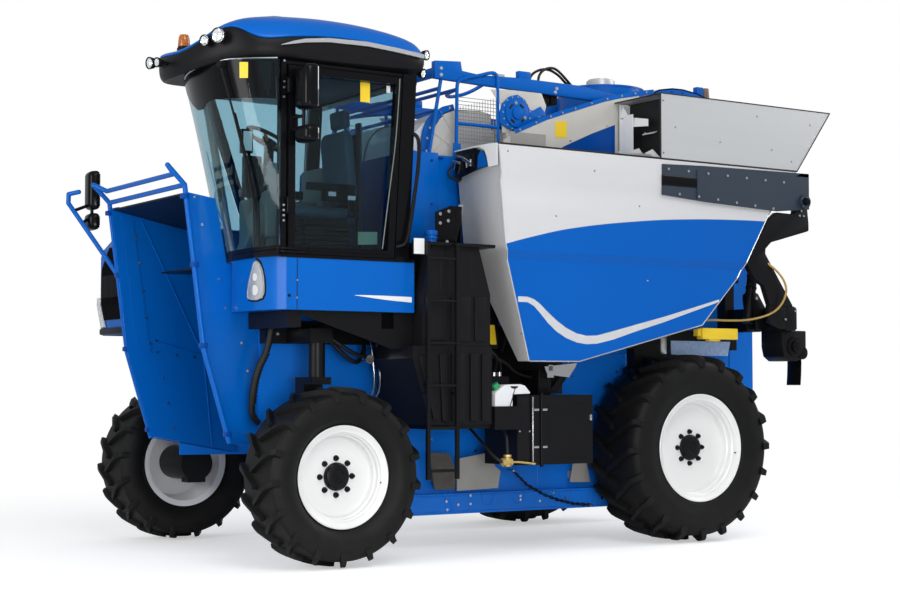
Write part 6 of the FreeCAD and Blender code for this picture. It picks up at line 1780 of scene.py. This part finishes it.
# %% Beams
BEAM = [(0.655, 3.572), (0.655, 3.705), (0.416, 3.722), (0.404, 3.652), (0.24, 3.636), (-0.12, 3.65),
    (-0.72, 3.648), (-1.06, 3.612), (-1.3, 3.6), (-1.8, 3.6), (-1.8, 3.52), (-0.963, 3.538), (0.24, 3.56)]
bm = bmesh.new()
for side in SIDES:
    upright(bm, 0.78, BEAM, 0.052, side)
    blocks(bm, ((-0.25, 0.78, 3.64), (-0.13, 0.826, 3.708)), ((-1.8, 0.775, DECK), (-1.74, 0.835, 3.56)),
        side=side)
for along, low, high in ((0.62, 3.59, 3.66), (-1.78, 3.525, 3.595)):
    block(bm, (along - 0.025, -0.8, low), (along + 0.025, 0.8, high))
soften(bm, 0.006)
beams = ready("upper_beam_skin", bm, royal_blue)
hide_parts("upper_beams")
bm = bmesh.new()
for side in SIDES:
    side_bolts(bm, 0.832, ((-0.495, 3.6), (-0.48, 3.57), (0.6, 3.65), (0.6, 3.6), (-1.77, 3.56)), side, 0.016,
        0.008)
    blocks(bm, ((0.0, 0.79, 3.64), (0.1, 0.82, 3.664)), side=side)
ready("upper_beam_fittings", bm, silver_trim, slot="grey_metal")

# %% Handrails and foot plates
rails = []
for side in SIDES:
    for run in ([(0.69, 0.8, DECK), (0.64, 0.8, 3.26), (0.579, 0.8, 3.58)], [(0.466, 0.84, DECK),
            (0.462, 0.84, 3.3), (0.46, 0.84, 3.5), (0.455, 0.84, 3.56), (0.4, 0.84, 3.59), (0.26, 0.84, 3.625),
            (0.14, 0.84, 3.664), (0.09, 0.84, 3.655), (0.082, 0.84, 3.6), (0.081, 0.84, 3.3),
            (0.081, 0.84, DECK)], [(0.466, 0.84, 3.24), (0.081, 0.84, 3.24)], [(0.46, 0.84, 3.5),
            (0.42, 0.6, 3.5), (0.3, 0.5, 3.5), (0.1, 0.5, 3.56), (0.0, 0.56, 3.64)]):
        rails.append(all_at(run, side))
rails += [[(0.6, 0.8, 3.5), (0.6, -0.8, 3.5)], [(0.46, 0.84, 3.5), (0.46, -0.84, 3.5)], [(0.63, 0.8, 3.33),
    (0.63, -0.8, 3.33)]]
rail = pipe("handrail_tubes", rails, 0.0145, royal_blue)
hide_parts("handrail_cage")
bm = bmesh.new()
for side in SIDES:
    for along, wide in ((0.081, 0.075), (0.466, 0.04)):
        upright(bm, 0.846, [(along - wide, DECK), (along + wide, DECK), (along + wide * 0.8, 3.085),
            (along - wide * 0.8, 3.085)], 0.006, side)
    side_bolts(bm, 0.852, ((0.021, 3.01), (0.066, 3.01), (0.096, 3.01)), side, 0.01, 0.006)
ready("handrail_feet", bm, royal_blue)

# %% Mesh guard
bm = bmesh.new()
for side in SIDES:
    for number in range(15):
        along = 0.098 + number * 0.0255
        rods(bm, ((along, 0.842, 3.08), (along, 0.842, 3.47 - (along - 0.098) * 0.3), 0.0024, 6), side=side)
    for number in range(13):
        height = 3.1 + number * 0.0285
        rods(bm, ((0.088, 0.844, height), (0.462, 0.844, height), 0.0024, 6), side=side)
ready("mesh_guards", bm, bare_steel)

# %% [markdown]
# ## Fan housings, arched cover and ducts
# Two open cylinders shroud the fans, with a rolled bead at each rim; an arched
# cover runs behind them. White ducts rise from the deck: each is an outline
# pushed sideways, with a blue flange and a row of bolts along its edge.

# %% Fan housings
bm = bmesh.new()
for side in SIDES:
    centre = at((-1.28, 0.4, 0.0), side)
    for low, high, inner, outer in ((3.47, 3.712, 0.352, 0.36), (3.47, 3.484, 0.358, 0.366),
            (3.7, 3.714, 0.358, 0.366)):
        profile = [bm.verts.new((centre.x + reach, centre.y, height)) for reach, height in
            oblong(inner, low, outer, high)]
        loop = [bm.edges.new((profile[number - 1], profile[number])) for number in range(4)]
        whirl(bm, profile + loop, 64, (0, 0, 1), centre)
    for turn in range(3):
        arm = Vector((math.cos(turn * 2.094 + 0.4), math.sin(turn * 2.094 + 0.4), 0))
        rod(bm, centre + Vector((0, 0, 3.5)) + arm * 0.05, centre + Vector((0, 0, 3.5)) + arm * 0.356, 0.012, 8)
    rod(bm, centre + Vector((0, 0, 3.47)), centre + Vector((0, 0, 3.545)), 0.08, 24)
    for along in (-0.95, -1.61):
        blocks(bm, ((along - 0.03, 0.55, 3.52), (along + 0.03, 0.79, 3.585)), side=side)
housing_skin = ready("fan_housing_skin", bm, royal_blue, flat=40)
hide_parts("fan_housings")

# %% Arched cover
ARCH = [(-1.665, 3.7), (-1.76, 3.752), (-1.9, 3.776), (-2.02, 3.778), (-2.18, 3.758), (-2.32, 3.715),
    (-2.4, 3.66)]
bm = bmesh.new()
ribbon(bm, [((x, -0.6, z), (x, 0.6, z)) for x, z in ARCH], (0, 0, -0.012))
for side in SIDES:
    upright(bm, 0.588, ARCH + [(-2.4, 3.56), (-1.665, 3.56)], 0.012, side)
    upright(bm, 0.56, oblong(-1.8, DECK, -1.74, 3.57), 0.03, side)
    upright(bm, 0.56, oblong(-2.38, DECK, -2.32, 3.57), 0.03, side)
    side_bolts(bm, 0.6, [(x, z - 0.03) for x, z in ARCH[1:]], side, 0.012, 0.008)
block(bm, (-2.31, 0.48, 3.715), (-2.24, 0.53, 3.83))
ready("arched_cover", bm, royal_blue)
bm = bmesh.new()
rods(bm, ((-2.36, 0.5, 3.69), (-2.36, 0.5, 3.74), 0.04, 24), ((-2.36, 0.5, 3.735), (-2.36, 0.5, 3.83), 0.037,
    24, 0.032))
soften(bm, 0.006, 3)
ready("rear_beacon", bm, weathered_lens)

# %% Side ducts: white outer sheets with a blue flange
OUTER = [(0.085, DECK), (0.085, 3.13), (-0.02, 3.195), (-0.33, 3.324), (-0.986, 3.546), (-1.268, 3.6),
    (-1.268, 3.1), (-1.017, 3.1), (-1.017, 3.344), (-0.773, 3.25), (-0.486, 3.122), (-0.33, DECK)]
FLANGE = [(-0.02, 3.185), (-0.33, 3.322), (-0.56, 3.402), (-0.887, 3.515), (-1.185, 3.592), (-1.42, 3.634)]
for side in SIDES:
    panel(f"{side}_duct_sheet", 0.9165, OUTER, 0.006, duct_white, side=side)
    bm = bmesh.new()
    for (x0, z0), (x1, z1) in zip(FLANGE, FLANGE[1:]):
        upright(bm, 0.9, [(x0, z0), (x1, z1), (x1, z1 + 0.036), (x0, z0 + 0.036)], 0.026, side)
    upright(bm, 0.922, [(0.02, 3.06), (0.02, 3.205), (-0.32, 3.205), (-0.32, 3.06)], 0.003, side)
    soften(bm, 0.002, 1)
    flange = ready(f"{side}_duct_flange", bm, royal_blue)
    flange.data.materials.append(galvanised)
    for face in flange.data.polygons:
        if face.center.x > -0.33 and abs(face.center.y) > 0.918 and face.center.z < 3.21:
            face.material_index = 1
    panel(f"{side}_duct_label", 0.9225, [(-0.412, 3.19), (-0.525, 3.198), (-0.525, 3.328), (-0.412, 3.318)],
        0.0025, warning_yellow, side=side)
    bm = bmesh.new()
    for (x0, z0), (x1, z1) in zip(FLANGE, FLANGE[1:]):
        for share in (0.15, 0.65):
            spot = (x0 + (x1 - x0) * share, 0.926, z0 + (z1 - z0) * share + 0.018)
            bolt_heads(bm, [at(spot, side)], (0, SIDES[side], 0), 0.011, 0.007)
    side_bolts(bm, 0.9225, [(-0.56, 3.175), (-0.93, 3.325)], side, 0.011, 0.007)
    ready(f"{side}_duct_bolts", bm, bright_steel)

# %% Drive covers: a toothed disc on a curved white sheet
for side in SIDES:
    bm = bmesh.new()
    upright(bm, 0.836, [(0.151, 3.53), (-0.061, 3.545), (-0.339, 3.545), (-0.385, 3.449), (-0.33, 3.25),
        (0.04, 3.2), (0.055, 3.42)], 0.008, side)
    blocks(bm, ((0.0, 0.6, DECK), (-0.3, 0.842, 3.24)), side=side)
    soften(bm, 0.003)
    ready(f"{side}_drive_backing", bm, duct_white)
    bm = bmesh.new()
    DISC = [(0.081, 3.277), (0.072, 3.36), (0.05, 3.428), (-0.017, 3.488), (-0.094, 3.51), (-0.165, 3.478),
        (-0.215, 3.4), (-0.24, 3.395), (-0.317, 3.437), (-0.36, 3.392), (-0.395, 3.318), (-0.33, 3.25),
        (-0.231, 3.228), (-0.123, 3.215), (-0.002, 3.235)]
    upright(bm, 0.846, DISC, 0.016, side)
    rods(bm, ((-0.08, 0.862, 3.36), (-0.08, 0.874, 3.36), 0.11, 36), ((-0.08, 0.87, 3.36), (-0.08, 0.888, 3.36),
        0.048, 28), side=side)
    soften(bm, 0.003)
    ready(f"{side}_drive_cover", bm, royal_blue)
    bm = bmesh.new()
    teeth = [(math.cos(turn * 0.42) * 0.13 - 0.08, math.sin(turn * 0.42) * 0.13 + 3.36) for turn in range(15)]
    side_bolts(bm, 0.861, teeth, side, 0.009, 0.007)
    bolt_heads(bm, all_at(((-0.065, 0.872, 3.44), (-0.15, 0.872, 3.33), (-0.3, 0.861, 3.34)), side),
        (0, SIDES[side], 0), 0.018, 0.01)
    ready(f"{side}_drive_bolts", bm, bright_steel)
    bm = bmesh.new()
    for turn in (0.7, 2.2, 3.9, 5.3):
        spot = Vector((math.cos(turn) * 0.075 - 0.08, 0.8735, math.sin(turn) * 0.075 + 3.36))
        reach = Vector((math.sin(turn), 0, -math.cos(turn))) * 0.02
        rods(bm, (spot - reach, spot + reach, 0.009, 8), side=side)
    ready(f"{side}_drive_slots", bm, rubber, slot="black_metal")

# %% Front duct elbows with bolted rims
ELBOW = [(0.628, DECK), (0.625, 3.06), (0.606, 3.15), (0.578, 3.224), (0.535, 3.29), (0.484, 3.338),
    (0.397, 3.372), (0.15, 3.38), (0.05, 3.36)]
RIM = [(0.69, DECK), (0.694, 3.1), (0.68, 3.19), (0.65, 3.262), (0.59, 3.33), (0.5, 3.384), (0.41, 3.41)]
bm = bmesh.new()
for side in SIDES:
    sign = SIDES[side]
    ribbon(bm, [((x, 0.3 * sign, z), (x, 0.7 * sign, z)) for x, z in ELBOW], (-0.008, 0, -0.006))
    for level in (0.692, 0.3):
        upright(bm, level, ELBOW + [(0.05, DECK)], 0.008, side)
    lines(bm, 0.702, (((0.615, 2.99), (0.43, 3.2)), ((0.59, 3.18), (0.44, 3.09)), ((0.5, 3.32), (0.42, 3.2))),
        0.006, side)
ready("front_elbows", bm, duct_white, flat=25)
bm, bolts = bmesh.new(), bmesh.new()
for side in SIDES:
    for outer, next_outer, inner, next_inner in zip(RIM, RIM[1:], ELBOW, ELBOW[1:]):
        corners = [outer, next_outer, next_inner, inner]
        upright(bm, 0.694, corners, 0.018, side)
        middle = sum((Vector(corner) for corner in corners), Vector((0, 0))) / 4
        side_bolts(bolts, 0.712, [middle], side, 0.012, 0.008)
ready("front_elbow_rims", bm, royal_blue, flat=25)
ready("front_elbow_bolts", bolts, bright_steel)

# %% Curved front shield
bm = bmesh.new()
PLAN = [(0.995, -0.7), (0.998, -0.35), (0.998, 0.35), (0.995, 0.7), (0.985, 0.78), (0.955, 0.84), (0.9, 0.875),
    (0.8, 0.89), (0.66, 0.892)]
PLAN = [(x, -y) for x, y in PLAN[:3:-1]] + PLAN
face = bm.faces.new([bm.verts.new((x, y, 2.262)) for x, y in PLAN])
lift = bmesh.ops.extrude_face_region(bm, geom=[face])["geom"]
top = verts_in(lift)
bmesh.ops.translate(bm, verts=top, vec=(0, 0, 0.73))
for vert in top:
    vert.co.x -= 0.1 if vert.co.x > 0.9 else 0.0
soften(bm, 0.006)
shield = ready("front_shield_skin", bm, royal_blue, flat=40)
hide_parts("front_shield")
bm = bmesh.new()
for side in SIDES:
    rods(bm, ((0.968, 0.838, 2.27), (0.875, 0.846, 2.985), 0.012, 12), ((0.6, 0.86, 2.96), (0.87, 0.86, 2.99),
        0.01, 12), side=side)
    side_bolts(bm, 0.892, ((0.72, 2.93), (0.72, 2.6), (0.72, 2.32)), side, 0.012, 0.008)
ready("front_shield_trim", bm, deep_blue)

# %% Hoses and discs on top
pipe("top_hoses", [[(-0.43, 0.56, 3.56), (-0.44, 0.52, 3.701), (-0.508, 0.5, 3.788), (-0.641, 0.5, 3.832),
    (-0.764, 0.5, 3.79), (-0.86, 0.48, 3.72), (-0.96, 0.47, 3.69)], [(-0.5, 0.6, 3.56), (-0.5, 0.56, 3.7),
    (-0.56, 0.54, 3.8), (-0.69, 0.52, 3.845), (-0.8, 0.5, 3.8), (-0.93, 0.48, 3.7)]], 0.011, rubber)
bm = bmesh.new()
for side in SIDES:
    blocks(bm, ((-0.46, 0.54, 3.48), (-0.4, 0.78, 3.57)), ((-0.54, 0.58, 3.48), (-0.48, 0.78, 3.57)), side=side)
soften(bm, 0.004)
ready("hose_brackets", bm, black_paint)
bm = bmesh.new()
for side in SIDES:
    centre = at((-1.28, 0.4, 3.7), side)
    rods(bm, (centre, centre + Vector((0, 0, 0.1)), 0.125, 32, 0.12), (centre + Vector((0, 0, 0.098)), centre +
        Vector((0, 0, 0.112)), 0.105, 32))
    for turn in range(3):
        arm = Vector((math.cos(turn * 2.094), math.sin(turn * 2.094), 0))
        rod(bm, centre + Vector((0, 0, 0.01)) + arm * 0.05, centre + Vector((0, 0, 0.01)) + arm * 0.357, 0.009,
            8)
soften(bm, 0.004)
ready("fan_top_covers", bm, bin_grey, slot="grey_plastic")

# %% [markdown]
# ## Hopper front corners and the hood's mouth
# The hopper's front corner holds valves below a white folded lip, and the
# cover's mouth shows folded sheets in front of a black sheet, which is painted shade for its dark inside.

# %% Valves at the hopper's front
for side in SIDES:
    bm = bmesh.new()
    crosswise(bm, 0.5315, ((0.935, 2.998), (1.205, 2.998), (1.33, 2.96), (1.386, 2.85), (1.226, 2.835),
        (0.986, 2.794), (0.935, 2.815)), 0.004, side)
    blocks(bm, ((0.53, 0.98, 2.85), (0.575, 1.09, 2.94)), ((0.53, 1.11, 2.88), (0.56, 1.2, 2.96)), side=side)
    soften(bm, 0.003)
    ready(f"{side}_hopper_valves", bm, black_paint, f"{side}_bin")
    bm = bmesh.new()
    rods(bm, ((0.575, 0.96, 2.925), (0.575, 1.06, 2.9), 0.012, 12), ((0.575, 1.02, 2.955), (0.575, 1.1, 2.935),
        0.009, 12), ((0.57, 1.1, 2.93), (0.57, 1.2, 2.88), 0.014, 12), ((0.562, 1.13, 2.86),
        (0.562, 1.13, 2.905), 0.012, 12), ((0.562, 1.18, 2.865), (0.562, 1.18, 2.915), 0.012, 12),
        ((0.562, 0.97, 2.86), (0.562, 0.99, 2.91), 0.016, 12), side=side)
    ready(f"{side}_hopper_valve_fittings", bm, bright_steel, f"{side}_bin")
    bm = bmesh.new()
    crosswise(bm, 0.536, ((1.235, 2.842), (1.24, 2.935), (1.275, 2.972), (1.315, 2.955), (1.35, 2.9),
        (1.36, 2.852)), 0.003, side)
    ready(f"{side}_hopper_notch_view", bm, royal_blue, f"{side}_bin")
    bm = bmesh.new()
    crosswise(bm, 0.539, ((0.932, 3.0), (0.932, 3.01), (1.194, 3.016), (1.38, 3.012), (1.5, 3.006),
        (1.5, 2.843), (1.384, 2.837), (1.362, 2.915), (1.33, 2.972), (1.27, 2.996), (1.194, 3.002)), 0.005,
        side)
    crosswise(bm, 0.503, ((0.932, 2.605), (0.991, 2.6), (0.956, 2.445), (0.932, 2.415)), 0.004, side)
    soften(bm, 0.0015, 1)
    ready(f"{side}_hopper_front_lip", bm, white_paint, f"{side}_bin")
    pipe(f"{side}_hopper_valve_hoses", [all_at(run, side) for run in ([(0.56, 0.985, 2.905), (0.6, 0.94, 2.87),
        (0.6, 0.935, 2.82), (0.56, 0.96, 2.79), (0.515, 0.97, 2.78)], [(0.575, 1.06, 2.88), (0.6, 1.08, 2.83),
        (0.585, 1.02, 2.8), (0.545, 0.985, 2.8), (0.515, 0.985, 2.79)])], 0.009, rubber, f"{side}_bin")

# %% The hood's mouth
for side in SIDES:
    bm = bmesh.new()
    # A black sheet across the back of the mouth is painted shade: it stands for the shadow inside the cover.
    crosswise(bm, -1.13, oblong(0.94, 3.005, 1.49, 3.505), -0.004, side)
    ready(f"{side}_hood_painted_shade_sheet", bm, rubber, f"{side}_bin")
    bm = bmesh.new()
    crosswise(bm, -1.04, ((0.966, 3.394), (0.987, 3.488), (1.067, 3.387), (1.304, 3.342), (1.304, 3.285),
        (1.107, 3.304), (1.087, 3.377)), -0.004, side)
    crosswise(bm, -1.025, ((0.964, 3.01), (0.965, 3.377), (1.087, 3.377), (1.085, 3.01)), -0.004, side)
    crosswise(bm, -1.03, ((1.085, 3.11), (1.085, 3.01), (1.3, 3.01), (1.2, 3.12)), -0.004, side)
    crosswise(bm, -1.06, ((1.3, 3.01), (1.44, 3.01), (1.33, 3.1), (1.24, 3.08)), -0.004, side)
    ready(f"{side}_hood_folds", bm, white_paint, f"{side}_bin")

# %% [markdown]
# ## Rear frame
# Two bent arms carry the hopper pivots. Each arm is one bent outline with
# thickness; a cross beam, a rounded spreader housing and its flap follow. The
# yellow boxes and the looped hose sit in front of the beam.

# %% Arms, beam and feet
ARM = [(-2.61, 2.52), (-2.61, 2.58), (-2.585, 2.79), (-2.54, 2.812), (-2.475, 2.79), (-2.45, 2.65),
    (-2.25, 2.655), (-2.13, 2.56), (-2.031, 2.4), (-1.917, 2.215), (-1.999, 2.1), (-2.1, 2.05), (-2.165, 1.89),
    (-2.42, 1.883), (-2.415, 1.9), (-2.118, 2.31), (-2.122, 2.35), (-2.185, 2.405), (-2.59, 2.512)]
bm = bmesh.new()
for side in SIDES:
    upright(bm, 1.428, ARM, 0.058, side)
    upright(bm, 1.428, [(-2.315, 1.7), (-2.472, 1.7), (-2.472, 1.872), (-2.44, 1.89), (-2.16, 1.895),
        (-2.16, 1.76), (-2.28, 1.7)], 0.05, side)
    blocks(bm, ((-2.46, 0.79, 1.69), (-2.34, 1.48, 1.884)), side=side)
    for level in (1.118, 1.226):
        upright(bm, level, [(-2.35, 1.7), (-2.35, 1.88), (-2.265, 2.0), (-2.23, 2.012), (-2.2, 1.995),
            (-2.198, 1.95), (-2.24, 1.7)], 0.016, side)
    upright(bm, 1.18, [(-2.62, 1.692), (-2.62, 1.56), (-2.59, 1.47), (-2.52, 1.44), (-2.43, 1.44),
        (-2.37, 1.48), (-2.35, 1.56), (-2.35, 1.692)], 0.25, side)
soften(bm, 0.008)
arms = ready("rear_frame_skin", bm, black_paint)
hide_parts("rear_frames")
bm = bmesh.new()
for side in SIDES:
    rods(bm, ((-2.53, 1.4, 2.754), (-2.53, 1.56, 2.754), 0.032, 24), ((-2.485, 1.3, 1.56),
        (-2.485, 1.445, 1.56), 0.085, 28), ((-2.485, 1.43, 1.56), (-2.485, 1.47, 1.56), 0.05, 24),
        ((-2.575, 1.36, 1.51), (-2.575, 1.44, 1.51), 0.055, 24), side=side)
    profile = [bm.verts.new(at((x, 1.235, z), side)) for x, z in ((-2.6, 1.5), (-2.602, 1.42), (-2.598, 1.33),
        (-2.59, 1.242))]
    for low, high in zip(profile, profile[1:]):
        bm.edges.new((low, high))
    strip = bmesh.ops.extrude_edge_only(bm, edges=[bm.edges.get((low, high)) for low, high in
        zip(profile, profile[1:])])["geom"]
    bmesh.ops.translate(bm, verts=verts_in(strip), vec=(0, 0.16 * SIDES[side], 0))
    wall = bmesh.ops.extrude_face_region(bm, geom=faces_in(strip))["geom"]
    bmesh.ops.translate(bm, verts=verts_in(wall), vec=(0.01, 0, 0))
soften(bm, 0.005)
ready("spreader_housings", bm, gloss_black, slot="black_metal")
bm = bmesh.new()
for side in SIDES:
    side_bolts(bm, 1.486, ((-2.56, 2.72), (-2.52, 2.68), (-2.49, 2.72), (-2.5, 2.64), (-2.545, 2.64),
        (-2.33, 1.78), (-2.44, 1.85)), side, 0.012, 0.008)
    rods(bm, ((-2.2, 1.455, 1.89), (-2.2, 1.455, 1.96), 0.01, 12), ((-2.2, 1.455, 1.955), (-2.2, 1.455, 1.975),
        0.016, 12), ((-2.23, 1.1, 1.96), (-2.23, 1.26, 1.96), 0.014, 12), side=side)
ready("rear_frame_bolts", bm, bright_steel)

# %% Boxes, speckled panel and hose loops
for side in SIDES:
    bm = bmesh.new()
    blocks(bm, ((-1.56, 1.27, 1.61), (-1.94, 1.345, 1.7)), ((-1.52, 1.275, 1.635), (-1.552, 1.335, 1.69)),
        ((-1.64, 1.28, 1.596), (-1.76, 1.335, 1.612)), side=side)
    soften(bm, 0.006)
    ready(f"{side}_yellow_box", bm, warning_yellow, slot="grey_plastic")
    pipe(f"{side}_rear_hose", [all_at(((-2.08, 1.44, 2.28), (-2.18, 1.505, 2.21), (-2.3, 1.53, 2.08),
        (-2.3, 1.53, 1.96), (-2.2, 1.51, 1.83), (-2.05, 1.38, 1.77), (-1.85, 1.31, 1.765), (-1.7, 1.28, 1.77),
        (-1.61, 1.18, 1.76), (-1.605, 1.0, 1.7), (-1.605, 0.85, 1.65), (-1.605, 0.785, 1.64)), side)], 0.009,
        hose_amber)
    panel(f"{side}_speckled_panel", 0.79, [(-1.7, 1.49), (-2.33, 1.49), (-2.36, 1.612), (-1.7, 1.612)], 0.006,
        speckled, side=side)
    bm = bmesh.new()
    upright(bm, 0.79, oblong(-1.58, 1.5, -1.64, 1.67), 0.02, side)
    soften(bm, 0.004)
    ready(f"{side}_rail_bracket", bm, silver_trim, slot="grey_metal")

# %% Lift cylinder glands
for side in SIDES:
    bm = bmesh.new()
    low, high = at((-2.23, 1.18, 1.96), side), at((-2.3, 1.18, 2.44), side)
    along = (high - low).normalized()
    rods(bm, (low + along * 0.335, low + along * 0.375, 0.048, 28),
        (low + along * 0.08, low + along * 0.1, 0.047, 28), (low + along * 0.18, low + along * 0.2, 0.047, 28))
    soften(bm, 0.003)
    ready(f"{side}_lift_barrel_bands", bm, gloss_black, f"{side}_barrel", slot="black_metal")

# %% [markdown]
# ## Picking tunnel
# Inside the tunnel bowed rods shake the vines, and a chain of moulded baskets
# catches the fruit. The rods get sleeves at their ends; each basket ring gets
# pressed cells along its run.

# %% Sleeves on the picking rods
bm = bmesh.new()
for side in SIDES:
    for number in range(8):
        height = 0.56 + 0.13 * number
        for along in (-1.02, 0.62):
            rods(bm, ((along - 0.035, 0.47, height), (along + 0.035, 0.47, height), 0.026, 14), side=side)
soften(bm, 0.003)
ready("picking_rod_sleeves", bm, black_plastic)

# %% Basket cells
bm = bmesh.new()
for side in SIDES:
    for number in range(11):
        along = 0.56 - number * 0.29
        upright(bm, 0.671, [(along, 0.32), (along - 0.23, 0.32), (along - 0.215, 0.4), (along - 0.015, 0.4)],
            0.006, side)
        upright(bm, 0.499, [(along, 0.318), (along - 0.23, 0.318), (along - 0.215, 0.402),
            (along - 0.015, 0.402)], 0.005, side)
soften(bm, 0.003)
ready("basket_cells", bm, bin_grey, slot="white_plastic")
